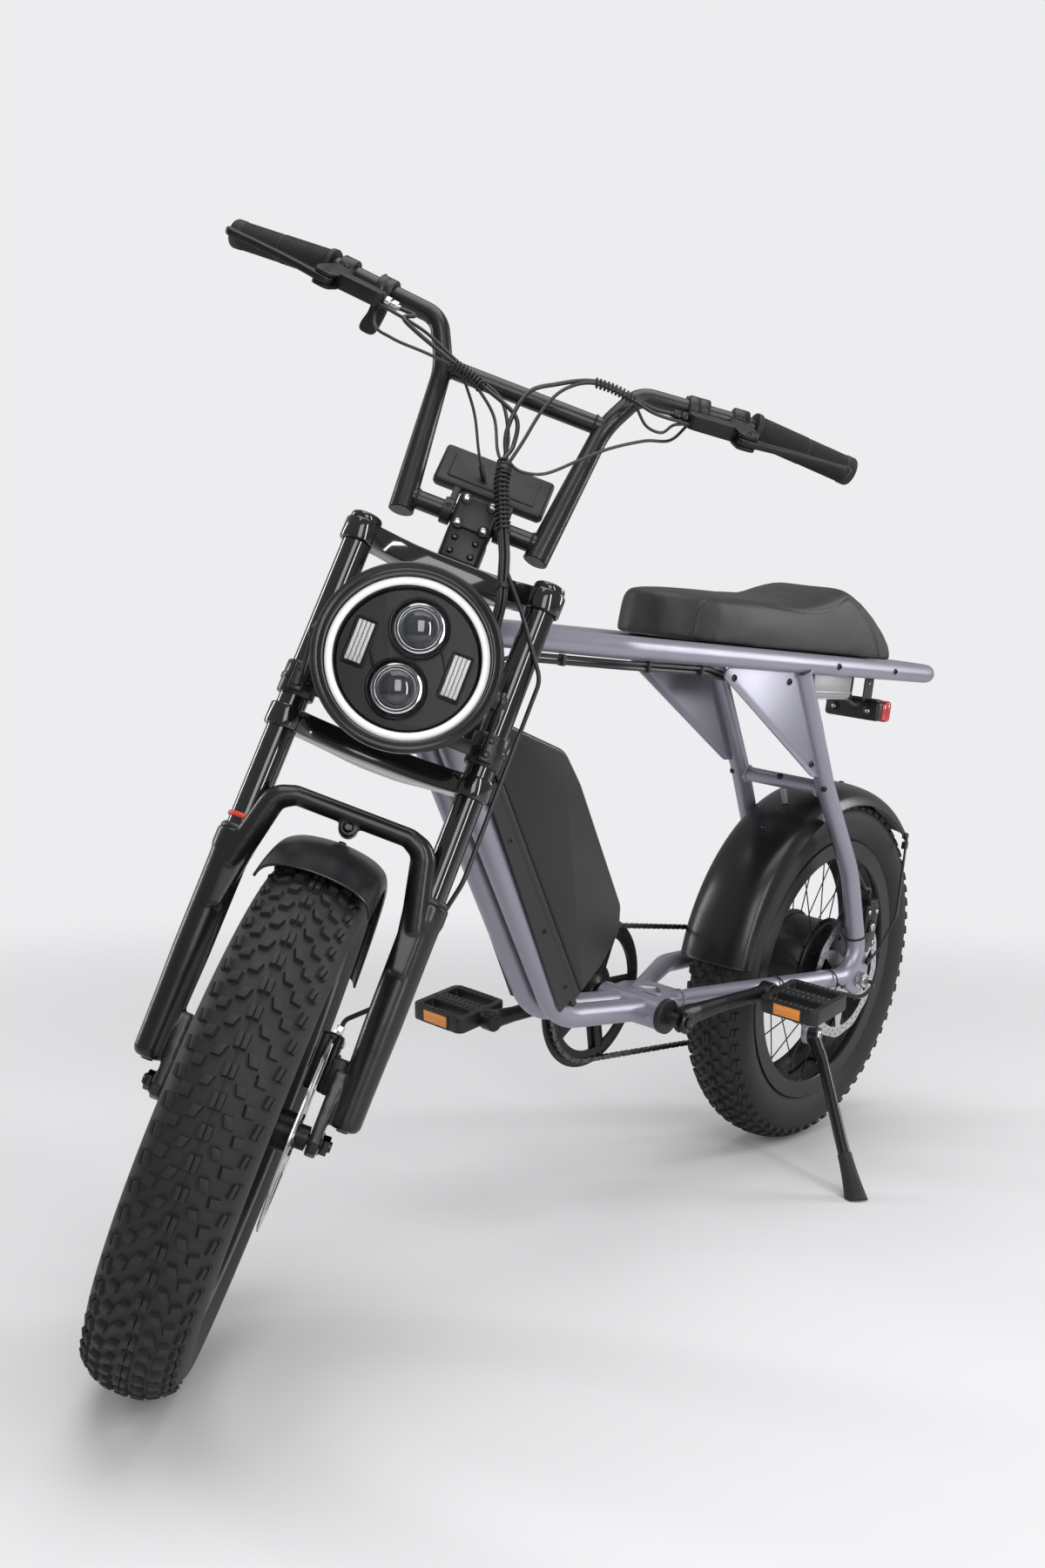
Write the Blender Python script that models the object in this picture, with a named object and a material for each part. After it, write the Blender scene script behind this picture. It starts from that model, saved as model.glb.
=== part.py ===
# A fat-tyre electric bicycle on its side stand, built as separate named pieces.
# Metres, X forward, Y to the rider's left, Z up.
import math

import bmesh
import bpy
import numpy as np
from mathutils import Matrix, Vector

for thing in list(bpy.data.objects):
    bpy.data.objects.remove(thing, do_unlink=True)

# Whole bicycle
WHEELBASE = 1.197
HEAD_ANGLE = math.radians(67.65)
STEER_AT_REST = math.radians(40.6)
LEAN = math.radians(7.54)
FIT = 0.0003
FRAME_GAP = 0.0006
FLAT = math.radians(0.2)

# Wheels and tyres
AXLE_HEIGHT = 0.282
TYRE_RADIUS = 0.282
TYRE_HALF = 0.052
AXLE_RADIUS = 0.0070
FRONT_AXLE_RADIUS = 0.006
WHEEL_STEPS = 24
BEAD_RADIUS = 0.2027
RIM_HALF = 0.042
RIM_LIP = 0.1825
RIM_FLANGE = 0.209
RIM_BAND = 0.193
RIM_WINDOWS = 12
SPOKES = 36
SPOKE_RADIUS = 0.0012
ROTOR_RADIUS = 0.1015
ROTOR_HALF = 0.0009
FRONT_ROTOR_PLANE = 0.0620
REAR_ROTOR_PLANE = 0.0750
ROTOR_SLOT_HALF = 0.0018
CALIPER_TOP = AXLE_HEIGHT + 0.1200

# Mudguards: how far their crest, lip and side stand off the tyre, and the turn they cover in degrees
REAR_GUARD_CREST_GAP = 0.0145
REAR_GUARD_LIP_DROP = 0.0130
REAR_GUARD_SIDE_GAP = 0.0090
REAR_GUARD_TURN = (7, 134)
FRONT_GUARD_CREST_GAP = 0.0097
FRONT_GUARD_LIP_DROP = 0.0170
FRONT_GUARD_SIDE_GAP = 0.0080
FRONT_GUARD_TURN = (40, 143)

# Fork, measured along and across the steering axis
RAKE = 0.039
STANCHION_HALF_SPACING = 0.1055
STANCHION_RADIUS = 0.016
STEERER_RADIUS = 0.0143
LOWER_CROWN_BOTTOM = 0.383
LOWER_CROWN_TOP = 0.408
UPPER_CROWN_BOTTOM = 0.600
UPPER_CROWN_TOP = 0.625
STEERER_TOP = UPPER_CROWN_TOP + 0.030
LEG_TOP = TYRE_RADIUS - 0.016
LEG_BOTTOM = 0.020
LEG_BORE_END = 0.100
FORK_TRAVEL = 0.050
LUG_INNER = 0.0765
LUG_OUTER = 0.0895

# Handlebar points as forward, left, up in the fork's own directions
BAR_RADIUS = 0.011
UPRIGHT_RADIUS = 0.0143
UPRIGHT_FOOT = 0.019
LOWER_BAR = (0.004, 0.081, 0.682)
CROSS_BAR = (-0.0106, 0.097, 0.844)
BAR_BEND = (-0.006, 0.1216, 0.894)
GRIP_START = (-0.021, 0.2524, 0.9136)
GRIP_END = (-0.0625, 0.3835, 0.9257)
GRIP_RADIUS = 0.0165
LEVER_PIVOT = (0.033, 0.2406, 0.8706)
LEVER_CLAMP_SHARE = 0.900
CONTROL_SHARE = 0.52

# Headlight
LAMP_FRONT = 0.1795
LAMP_HEIGHT = 0.478
LAMP_RADIUS = 0.095
LAMP_TILT = math.radians(4.0)
LAMP_PIVOT = 0.112
DISPLAY_LEAN = math.radians(-24)

# Frame tubes
RAIL_RADIUS = 0.0143
RAIL_HALF = 0.0755
RAIL_FLAT = RAIL_RADIUS * math.cos(math.pi / 10)
RAIL_END = (-0.174, 0.7605)
RAIL_BEND = (0.700, 0.7750)
RAIL_HEAD = (0.935, 0.7790)
DOWN_TUBE_RADIUS = 0.0159
DOWN_TUBE_HALF = 0.0202
DOWN_TUBE_LINE = (0.768, 0.440)
DOWN_TUBE_ANGLE = math.radians(54.2)
DOWN_TUBE_RISE = math.radians(5.1)
HEAD_TUBE_RADIUS = 0.0235
BB = (0.468, AXLE_HEIGHT - 0.0025)
BB_RADIUS = 0.0215
BB_HALF = 0.050
STAY_RADIUS = 0.014
STAY_HALF = 0.0735
DROPOUT_HALF = 0.097
DROPOUT_THICKNESS = 0.007

# Seat
SEAT_HALF = 0.0790

# Drive
CRANK_LENGTH = 0.170
CRANK_ANGLE = math.radians(171.2)
CHAIN_PLANE = -0.067
RING_TEETH = 48
COG_TEETH = (28, 24, 22, 20, 18, 16, 14)
CHAIN_COG = 3
COG_PITCH = 0.0048
CHAIN_PITCH = 0.0127
TOOTH_HALF = 0.0009
CHAIN_HALF_HEIGHT = 0.0041
PLATE_OUTER = 0.0034
PLATE_INNER = 0.0020
WEB_HALF = 0.0010
GUARD_RADIUS = 0.1085
SPINDLE_RADIUS = 0.0100
PEDAL_THREAD_RADIUS = 0.0061
PEDAL_LEAN = math.radians(9)

# Battery, along and behind the down tubes
BATTERY_HALF = 0.040
BATTERY_OUTLINE = (
    (-0.160, 0.0240), (-0.156, 0.082), (-0.140, 0.1335), (-0.109, 0.1512), (0.0917, 0.1518),
    (0.118, 0.1530), (0.148, 0.1448), (0.250, 0.0660), (0.262, 0.0560), (0.255, 0.0450), (0.215, 0.0240))
LOCK_PLACE = (0.2252, 0.0470)

# Side stand
STRUT_KNEE_HEIGHT = AXLE_HEIGHT + TYRE_RADIUS + 0.026
STAND_PIVOT = Vector((0.160, 0.120, AXLE_HEIGHT - 0.060))
STAND_FOOT = Vector((0.2316, 0.2564, AXLE_HEIGHT - TYRE_RADIUS + 0.034))
STAND_PIN_WAY = Vector((-0.149, 0.976, 0.157)).normalized()
STAND_PIN_RADIUS = 0.0050
STAND_LEG_RADIUS = 0.0085


# Collections, materials and empties

def new_collection(name, hidden):
    made = bpy.data.collections.new(name)
    bpy.context.scene.collection.children.link(made)
    made.hide_render = hidden
    return made


BICYCLE = new_collection("electric_bicycle", False)
CUTTERS = new_collection("cutters", True)


def material(name, colour, roughness, metallic=0.0):
    made = bpy.data.materials.new(name)
    made.use_nodes = True
    shader = made.node_tree.nodes["Principled BSDF"]
    shader.inputs["Base Color"].default_value = (*colour, 1.0)
    shader.inputs["Roughness"].default_value = roughness
    shader.inputs["Metallic"].default_value = metallic
    return made


def empty(name, parent, location=(0, 0, 0), matrix=None):
    made = bpy.data.objects.new(name, None)
    BICYCLE.objects.link(made)
    made.parent = parent
    made.empty_display_size = 0.05
    made.matrix_local = Matrix.Translation(location) @ (matrix or Matrix())
    return made


def node(name, mesh, parent, colour, roughness, metallic=0.0, sharp=35):
    """Places a finished mesh, given in its parent's coordinates, as one named piece."""
    mesh.name = name
    mesh.materials.clear()
    mesh.materials.append(material(name, colour, roughness, metallic))
    mesh.shade_smooth()
    mesh.set_sharp_from_angle(angle=math.radians(sharp))
    made = bpy.data.objects.new(name, mesh)
    BICYCLE.objects.link(made)
    made.parent = parent
    return made


# Shape helpers, each giving a closed mesh

def finished(bm):
    bmesh.ops.recalc_face_normals(bm, faces=bm.faces)
    mesh = bpy.data.meshes.new("shape")
    bm.to_mesh(mesh)
    bm.free()
    return mesh


def moved(mesh, matrix):
    mesh.transform(matrix)
    if matrix.determinant() < 0:
        mesh.flip_normals()
    return mesh


def mirrored(mesh):
    """The same shape on the other side of the bicycle."""
    return moved(mesh.copy(), Matrix.Scale(-1, 4, (0, 1, 0)))


def rounded_path(points, radii, step=20):
    """Replaces each inner corner with an arc of the given radius."""
    points = [Vector(p) for p in points]
    path = [points[0]]
    for before, corner, after, radius in zip(points, points[1:], points[2:], radii):
        arriving = (before - corner).normalized()
        leaving = (after - corner).normalized()
        half = arriving.angle(leaving) / 2
        turn = math.pi - 2 * half
        if radius <= 0 or turn < math.radians(2):
            path.append(corner)
            continue
        run = radius / math.tan(half)
        centre = corner + (arriving + leaving).normalized() * radius / math.sin(half)
        start = corner + arriving * run - centre
        end = corner + leaving * run - centre
        count = max(1, math.ceil(math.degrees(turn) / step - 0.01))
        for k in range(count + 1):
            path.append(centre + start.slerp(end, k / count).normalized() * radius)
    path.append(points[-1])
    return path


def tube(path, radius, resolution=3, scales=None):
    """A round rod or tube along a path, as a curve with a bevel."""
    curve = bpy.data.curves.new("path", "CURVE")
    curve.dimensions = "3D"
    curve.bevel_depth = radius
    curve.bevel_resolution = resolution
    curve.use_fill_caps = True
    spline = curve.splines.new("POLY")
    spline.points.add(len(path) - 1)
    for k, point in enumerate(path):
        spline.points[k].co = (*point, 1)
        spline.points[k].radius = scales[k] if scales else 1
    holder = bpy.data.objects.new("path", curve)
    bpy.context.scene.collection.objects.link(holder)
    bpy.context.view_layer.update()
    seen = holder.evaluated_get(bpy.context.evaluated_depsgraph_get())
    mesh = bpy.data.meshes.new_from_object(seen)
    bpy.data.objects.remove(holder)
    bm = bmesh.new()
    bm.from_mesh(mesh)
    bmesh.ops.remove_doubles(bm, verts=bm.verts, dist=1e-6)
    return finished(bm)


def turned(profile, steps, axis="Y"):
    """Turns a closed profile of (radius, distance along the axis) once round."""
    bm = bmesh.new()
    ring = [bm.verts.new((radius, 0, along)) for radius, along in profile]
    edges = [bm.edges.new((a, b)) for a, b in zip(ring, ring[1:] + ring[:1])
             if not (a.co.x < 1e-7 and b.co.x < 1e-7)]
    bmesh.ops.spin(bm, geom=ring + edges, cent=(0, 0, 0), axis=(0, 0, 1), angle=math.tau,
                   steps=steps, use_merge=True)
    bmesh.ops.remove_doubles(bm, verts=bm.verts, dist=1e-6)
    mesh = finished(bm)
    turn = {"Y": Matrix.Rotation(-math.pi / 2, 4, "X"), "X": Matrix.Rotation(math.pi / 2, 4, "Y"),
            "Z": Matrix()}[axis]
    return moved(mesh, turn)


def block(low, high, bevel=0.0, segments=1):
    """A box between two corners, with its edges eased."""
    bm = bmesh.new()
    bmesh.ops.create_cube(bm, size=1)
    low, high = Vector(low), Vector(high)
    for vert in bm.verts:
        vert.co = Vector(a + (0.5 + c) * (b - a) for a, b, c in zip(low, high, vert.co))
    if bevel:
        bmesh.ops.bevel(bm, geom=bm.edges[:], offset=bevel, segments=segments, profile=0.5,
                        affect="EDGES", clamp_overlap=True, material=-1)
    return finished(bm)


def rod(start, end, radius, sides=12, end_radius=None):
    """A round bar, or a cone, between two points."""
    start, end = Vector(start), Vector(end)
    bm = bmesh.new()
    bmesh.ops.create_cone(bm, cap_ends=True, segments=sides, radius1=radius,
                          radius2=radius if end_radius is None else end_radius,
                          depth=(end - start).length)
    turn = (end - start).to_track_quat("Z", "Y").to_matrix().to_4x4()
    mesh = finished(bm)
    return moved(mesh, Matrix.Translation((start + end) / 2) @ turn)


def slab(outline, low, high, plane="XZ", holes=()):
    """A flat plate with this outline, reaching from low to high across its plane."""
    middle = (high + low) / 2
    axes = {"XZ": ((1, 0, 0), (0, 0, 1), (0, 1, 0)), "YZ": ((0, 1, 0), (0, 0, 1), (1, 0, 0)),
            "XY": ((1, 0, 0), (0, 1, 0), (0, 0, 1))}[plane]
    turn = Matrix([(*(axis[k] for axis in axes), middle * axes[2][k]) for k in range(3)] + [(0, 0, 0, 1)])
    if not holes:
        bm = bmesh.new()
        face = bm.faces.new([bm.verts.new((a, b, (low - high) / 2)) for a, b in outline])
        grown = bmesh.ops.extrude_face_region(bm, geom=[face], use_keep_orig=True)
        tops = [item for item in grown["geom"] if isinstance(item, bmesh.types.BMVert)]
        bmesh.ops.translate(bm, verts=tops, vec=(0, 0, high - low))
        bmesh.ops.triangulate(bm, faces=bm.faces)
        return moved(finished(bm), turn)
    curve = bpy.data.curves.new("outline", "CURVE")
    curve.dimensions = "2D"
    curve.fill_mode = "BOTH"
    curve.extrude = (high - low) / 2
    for loop in (outline, *holes):
        spline = curve.splines.new("POLY")
        spline.points.add(len(loop) - 1)
        spline.use_cyclic_u = True
        for k, (a, b) in enumerate(loop):
            spline.points[k].co = (a, b, 0, 1)
    holder = bpy.data.objects.new("outline", curve)
    bpy.context.scene.collection.objects.link(holder)
    bpy.context.view_layer.update()
    seen = holder.evaluated_get(bpy.context.evaluated_depsgraph_get())
    mesh = bpy.data.meshes.new_from_object(seen)
    bpy.data.objects.remove(holder)
    bm = bmesh.new()
    bm.from_mesh(mesh)
    bmesh.ops.remove_doubles(bm, verts=bm.verts, dist=1e-6)
    return moved(finished(bm), turn)


def circle(centre, radius, count, start=0.0):
    return [(centre[0] + radius * math.cos(start + math.tau * k / count),
             centre[1] + radius * math.sin(start + math.tau * k / count)) for k in range(count)]


def bore_radius(radius, sides):
    """Corner radius of a many-sided bore whose flats clear a round piece of this radius."""
    return (radius + FIT) / math.cos(math.pi / sides)


def combined(first, others, operation):
    """Joins, cuts or keeps the common part of meshes with the exact Boolean."""
    target = bpy.data.objects.new("target", first)
    bpy.context.scene.collection.objects.link(target)
    helpers = []
    for k, mesh in enumerate(others):
        helper = bpy.data.objects.new(f"cutter_{k}", mesh)
        CUTTERS.objects.link(helper)
        helper.display_type = "WIRE"
        helpers.append(helper)
        modifier = target.modifiers.new(f"step_{k}", "BOOLEAN")
        modifier.operation = operation
        modifier.solver = "EXACT"
        modifier.object = helper
    bpy.context.view_layer.update()
    seen = target.evaluated_get(bpy.context.evaluated_depsgraph_get())
    mesh = bpy.data.meshes.new_from_object(seen)
    for thing in (target, *helpers):
        bpy.data.objects.remove(thing)
    bm = bmesh.new()
    bm.from_mesh(mesh)
    bmesh.ops.remove_doubles(bm, verts=bm.verts, dist=2e-6)
    bmesh.ops.dissolve_degenerate(bm, edges=bm.edges, dist=1e-6)
    bmesh.ops.dissolve_limit(bm, angle_limit=FLAT, verts=bm.verts, edges=bm.edges)
    bmesh.ops.triangulate(bm, faces=bm.faces)
    mesh = bpy.data.meshes.new("shape")
    bm.to_mesh(mesh)
    bm.free()
    return mesh


def union(first, *others):
    return combined(first, others, "UNION")


def cut(first, *others):
    return combined(first, others, "DIFFERENCE")


# Colours read from the photograph
LAVENDER = (0.46, 0.44, 0.50)
SATIN_BLACK = (0.018, 0.018, 0.019)
GLOSS_BLACK = (0.010, 0.010, 0.011)
RUBBER = (0.022, 0.022, 0.022)
STEEL = (0.55, 0.55, 0.56)


# Empties that hold the moving groups
bicycle = empty("bicycle", None)
head_foot = Vector((WHEELBASE - RAKE * math.sin(HEAD_ANGLE), 0, AXLE_HEIGHT - RAKE * math.cos(HEAD_ANGLE)))
head_axis = empty("head_axis", bicycle, head_foot, Matrix.Rotation(HEAD_ANGLE - math.pi / 2, 4, "Y"))
steering = empty("steering", head_axis, matrix=Matrix.Rotation(STEER_AT_REST, 4, "Z"))
suspension = empty("suspension", steering, (RAKE, 0, 0))
front_wheel = empty("front_wheel", suspension)
rear_wheel = empty("rear_wheel", bicycle, (0, 0, AXLE_HEIGHT))
freewheel_axis = empty("freewheel_axis", bicycle, (0, 0, AXLE_HEIGHT))
crank_axis = empty("crank_axis", bicycle, (BB[0], 0, BB[1]))


def along_head(s, out=0.0):
    """Point on the steering axis of the frame, moved forward by out."""
    return head_foot + Vector((-math.cos(HEAD_ANGLE), 0, math.sin(HEAD_ANGLE))) * s + Vector(
        (math.sin(HEAD_ANGLE), 0, math.cos(HEAD_ANGLE))) * out


def rail_height(x):
    share = (x - RAIL_END[0]) / (RAIL_BEND[0] - RAIL_END[0])
    return RAIL_END[1] + share * (RAIL_BEND[1] - RAIL_END[1])


# Head tube with its two bearing cups
head_bottom = LOWER_CROWN_TOP + FIT
head_top = UPPER_CROWN_BOTTOM - FIT
cup = 0.0275
head_bore = STEERER_RADIUS + 0.002
node("head_tube", turned([
    (head_bore, head_bottom), (cup, head_bottom), (cup, head_bottom + 0.013),
    (HEAD_TUBE_RADIUS, head_bottom + 0.016), (HEAD_TUBE_RADIUS, head_top - 0.016),
    (cup, head_top - 0.013), (cup, head_top), (head_bore, head_top)], 20, "Z"),
    head_axis, LAVENDER, 0.42, 0.35)

head_clearance = rod(along_head(head_bottom - 0.02), along_head(head_top + 0.02), HEAD_TUBE_RADIUS + FIT, 20)

# Seat rails: one tube bent into a long loop, ends welded to the head tube
half_loop = [(RAIL_HEAD[0], 0.021, RAIL_HEAD[1]), (RAIL_BEND[0], RAIL_HALF, RAIL_BEND[1]),
             (RAIL_END[0], RAIL_HALF, RAIL_END[1])]
loop = half_loop + [(x, -y, z) for x, y, z in reversed(half_loop)]
rail = tube(rounded_path(loop, (0.16, 0.066, 0.066, 0.16), 18), RAIL_RADIUS, 3)
node("seat_rail", cut(rail, head_clearance.copy()), bicycle, LAVENDER, 0.42, 0.35)

# Twin down tubes from the head tube round to the bottom bracket
down = Vector((math.cos(DOWN_TUBE_ANGLE), 0, math.sin(DOWN_TUBE_ANGLE)))
behind = Vector((-math.sin(DOWN_TUBE_ANGLE), 0, math.cos(DOWN_TUBE_ANGLE)))
line_start = Vector((DOWN_TUBE_LINE[0], 0, DOWN_TUBE_LINE[1]))
side_step = Vector((0, DOWN_TUBE_HALF, 0))
bb_clearance = rod((BB[0], -0.08, BB[1]), (BB[0], 0.08, BB[1]), BB_RADIUS + FIT, 20)
bb_end = Vector((BB[0] + 0.004, 0, BB[1] + 0.0015))
foot_way = Vector((math.cos(DOWN_TUBE_RISE), 0, math.sin(DOWN_TUBE_RISE)))
foot_length = (line_start - bb_end).cross(down).y / foot_way.cross(down).y
down_path = rounded_path([line_start + down * 0.352 + side_step, bb_end + foot_way * foot_length + side_step,
                          bb_end + side_step], (0.085,), 18)
down_left = cut(tube(down_path, DOWN_TUBE_RADIUS, 3), head_clearance.copy(), bb_clearance.copy())
node("down_tube_left", down_left, bicycle, LAVENDER, 0.42, 0.35)
node("down_tube_right", mirrored(down_left), bicycle, LAVENDER, 0.42, 0.35)

# Bottom bracket shell with the yoke that carries the chain stays
shell = turned([(0.0170, -BB_HALF), (BB_RADIUS, -BB_HALF), (BB_RADIUS, BB_HALF), (0.0170, BB_HALF)], 20)
shell.transform(Matrix.Translation((BB[0], 0, BB[1])))
yoke_holes = ([(0.432, 0.018), (0.414, 0.000), (0.432, -0.018)],)
yoke = slab([(0.456, 0.044), (0.430, 0.047), (0.405, 0.030), (0.392, 0.024), (0.392, -0.024),
             (0.405, -0.030), (0.430, -0.047), (0.456, -0.044)],
            BB[1] - 0.0035, BB[1] + 0.0195, "XY", yoke_holes)
node("bottom_bracket", cut(union(shell, yoke), rod((BB[0], -0.06, BB[1]), (BB[0], 0.06, BB[1]), 0.0170, 20)),
     bicycle, LAVENDER, 0.42, 0.35)

# Rear stays: strut, bend, chain stay and dropout plate on each side
strut_top = Vector((0.2645, STAY_HALF, rail_height(0.2645)))
strut_knee = Vector((0.150, STAY_HALF, STRUT_KNEE_HEIGHT))
strut_bend = Vector((0.052, 0.0845, AXLE_HEIGHT + 0.170))
heel = Vector((0.000, 0.0985, AXLE_HEIGHT + 0.0065))
chain_stay = Vector((0.285, 0.0765, AXLE_HEIGHT + 0.0155))
stay_points = [strut_top, strut_knee, strut_bend, heel, chain_stay, (0.398, 0.0350, AXLE_HEIGHT + 0.0085)]
stay_path = rounded_path(stay_points, (0.25, 0.15, 0.045, 0.10), 22)
rail_clearance = rod((0.15, RAIL_HALF, rail_height(0.15)), (0.38, RAIL_HALF, rail_height(0.38)),
                     RAIL_RADIUS + FRAME_GAP, 20)
dropout_inner = DROPOUT_HALF - DROPOUT_THICKNESS / 2
dropout_outer = DROPOUT_HALF + DROPOUT_THICKNESS / 2


def above_axle(outline):
    """An outline that is drawn from the rear axle, at its height on the bicycle."""
    return [(x, AXLE_HEIGHT + z) for x, z in outline]


dropout_outline = above_axle([
    (-0.022, -0.012), (-0.024, 0.016), (-0.012, 0.036), (0.012, 0.062), (0.026, 0.048),
    (0.048, 0.010), (0.040, -0.010), (0.012, -0.0235), (-0.010, -0.0230)])
dropout = slab(dropout_outline, dropout_inner, dropout_outer, "XZ",
               (circle((0, AXLE_HEIGHT), AXLE_RADIUS + FIT, 16),))
hanger = slab(above_axle([
    (0.004, -0.020), (0.020, -0.016), (0.022, -0.042), (0.014, -0.050), (0.004, -0.044)]),
    dropout_inner, dropout_outer)
yoke_clearance = slab([(0.47, 0.0443), (0.430, 0.0473), (0.4047, 0.0303), (0.3917, 0.0243),
                       (0.3917, -0.0243), (0.4047, -0.0303), (0.430, -0.0473), (0.47, -0.0443)],
                      AXLE_HEIGHT - 0.032, AXLE_HEIGHT + 0.048, "XY")
stay_tube = tube(stay_path, STAY_RADIUS, 3)
stay = cut(union(stay_tube, dropout), rail_clearance, yoke_clearance.copy())
brace_place = strut_knee + Vector((-0.0035, 0, -0.006))
brace = rod((brace_place.x, -0.0665, brace_place.z), (brace_place.x, 0.070, brace_place.z), 0.011, 16)
strut_line = (strut_top - strut_knee).normalized()
right_strut = rod(strut_knee * Vector((1, -1, 1)) - strut_line * Vector((1, 1, 1)) * 0.03,
                  strut_knee * Vector((1, -1, 1)) + strut_line * 0.06, STAY_RADIUS + FIT, 16)
outward = Vector((brace_place.x, 0, brace_place.z - AXLE_HEIGHT)).normalized()
rear_crest = TYRE_RADIUS + REAR_GUARD_CREST_GAP
tab_foot = Vector((0, 0, AXLE_HEIGHT)) + outward * (rear_crest + FIT + 0.0005)
tab_length = (Vector((brace_place.x, 0, brace_place.z)) - tab_foot).length
tab = block((-0.007, -0.0015, 0), (0.007, 0.0015, tab_length))
tab_turn = outward.to_track_quat("Z", "Y").to_matrix().to_4x4()
tab = moved(tab, Matrix.Translation(tab_foot) @ tab_turn)
stand_plate = slab(above_axle([
    (0.134, -0.042), (0.190, -0.042), (0.262, -0.010), (0.262, 0.018), (0.134, 0.012)]), 0.1000, 0.1060)
stand_hinge = union(
    rod(STAND_PIVOT - STAND_PIN_WAY * 0.0165, STAND_PIVOT - STAND_PIN_WAY * 0.0073, 0.014, 16),
    rod(STAND_PIVOT - STAND_PIN_WAY * 0.0110, STAND_PIVOT + STAND_PIN_WAY * 0.0100, STAND_PIN_RADIUS, 12))
stand_arm = slab(above_axle([(0.148, -0.067), (0.172, -0.067), (0.176, -0.032), (0.144, -0.032)]),
                 0.1035, 0.1095)
stay_left = union(stay, brace, tab, stand_plate, stand_arm, stand_hinge)
node("rear_stay_left", cut(stay_left, right_strut), bicycle, LAVENDER, 0.42, 0.35)
right_tube = mirrored(union(tube(stay_path, STAY_RADIUS, 3), dropout.copy(), hanger))
node("rear_stay_right", cut(right_tube, mirrored(rail_clearance), yoke_clearance),
     bicycle, LAVENDER, 0.42, 0.35)

# Triangular side plates between rail and strut, with their button-head bolts
front_edge = Vector((strut_line.z, 0, -strut_line.x)) * (STAY_RADIUS + FRAME_GAP)
low_edge = strut_knee + strut_line * 0.026 + front_edge
plate_top = RAIL_FLAT + FIT
high_edge = strut_top + front_edge
high_edge -= strut_line * (high_edge.z - rail_height(high_edge.x) + plate_top) / strut_line.z
plate_outline = [
    (0.448, rail_height(0.448) - plate_top), (0.462, rail_height(0.462) - plate_top - 0.002),
    (0.466, 0.748), (0.461, 0.741), (0.200, STRUT_KNEE_HEIGHT + 0.0155), (0.190, STRUT_KNEE_HEIGHT + 0.0135),
    (low_edge.x + 0.004, low_edge.z - 0.001),
    (low_edge.x, low_edge.z), (high_edge.x, high_edge.z)]
plate = slab(plate_outline, RAIL_HALF - 0.0015, RAIL_HALF + 0.0015)
bolts = []
for x, z in ((0.444, 0.7435), (0.300, 0.7410), (0.2065, STRUT_KNEE_HEIGHT + 0.0330)):
    bolts.append(rod((x, RAIL_HALF - 0.006, z), (x, RAIL_HALF + 0.0045, z), 0.0048, 8, 0.0034))
gusset = union(plate, *bolts)
node("gusset_left", gusset, bicycle, LAVENDER, 0.42, 0.35)
node("gusset_right", mirrored(gusset), bicycle, LAVENDER, 0.42, 0.35)

# Controller case between the rails
node("controller_case", block((0.070, -0.055, 0.716), (0.196, 0.055, 0.764), 0.006),
     bicycle, (0.50, 0.50, 0.52), 0.45, 0.2)

# Tail light housing on its bracket
housing = block((-0.078, -0.050, 0.678), (-0.036, 0.050, 0.713), 0.009, 2)
cross_top = RAIL_END[1] - 0.0043
hanger_left = block((-0.058, 0.020, 0.706), (-0.030, 0.0225, cross_top))
hanger_right = block((-0.058, -0.0225, 0.706), (-0.030, -0.020, cross_top))
cross_drop = rail_height(-0.058) - cross_top
cross_half = RAIL_HALF - math.sqrt(RAIL_RADIUS ** 2 - cross_drop ** 2) - FIT
cross = block((-0.058, -cross_half, cross_top - 0.0024), (-0.004, cross_half, cross_top))
node("tail_light", union(housing, hanger_left, hanger_right, cross), bicycle, SATIN_BLACK, 0.35)


# Mudguards: a curved section swept round the wheel
def mudguard(crest, lip, half, first, last, steps, skin=0.0025):
    drop = crest - lip
    outer = [(lip, -half), (crest - 0.46 * drop, -0.87 * half), (crest - 0.11 * drop, -0.5 * half), (crest, 0),
             (crest - 0.11 * drop, 0.5 * half), (crest - 0.46 * drop, 0.87 * half), (lip, half)]
    inner = [(radius - skin * 0.75, across * (1 - skin / half)) for radius, across in reversed(outer)]
    inner[0] = (lip, half - skin)
    inner[-1] = (lip, -half + skin)
    section = outer + inner
    bm = bmesh.new()
    rings = []
    for k in range(steps + 1):
        angle = math.radians(first + (last - first) * k / steps)
        rings.append([bm.verts.new((radius * math.cos(angle), across, radius * math.sin(angle)))
                      for radius, across in section])
    for low, high in zip(rings, rings[1:]):
        for k in range(len(section)):
            n = (k + 1) % len(section)
            bm.faces.new((low[k], low[n], high[n], high[k]))
    half_count = len(outer)
    for ring in (rings[0], rings[-1]):
        for k in range(half_count - 1):
            bm.faces.new((ring[k], ring[k + 1], ring[-2 - k], ring[-1 - k]))
    return finished(bm)


rear_lip = TYRE_RADIUS - REAR_GUARD_LIP_DROP
rear_side = TYRE_HALF + REAR_GUARD_SIDE_GAP
rear_guard = mudguard(rear_crest, rear_lip, rear_side, *REAR_GUARD_TURN, 13)
rear_guard.transform(Matrix.Translation((0, 0, AXLE_HEIGHT)))
lip_way = Vector((math.cos(math.radians(130)), 0, math.sin(math.radians(130))))
lip_point = Vector((0, rear_side - 0.0015, AXLE_HEIGHT)) + lip_way * (rear_lip + 0.0045)
rivet = rod(lip_point + Vector((0, -0.0050, 0)), lip_point + Vector((0, 0.0035, 0)), 0.0050, 6)
wire_path = rounded_path([(-0.014, dropout_outer + 0.0030, AXLE_HEIGHT + 0.028),
                          (-0.030, dropout_outer + 0.0090, AXLE_HEIGHT + 0.043),
                          (-0.085, 0.1065, AXLE_HEIGHT + 0.093), lip_point + Vector((0, 0.0010, 0))],
                         (0.012, 0.05), 30)
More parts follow.
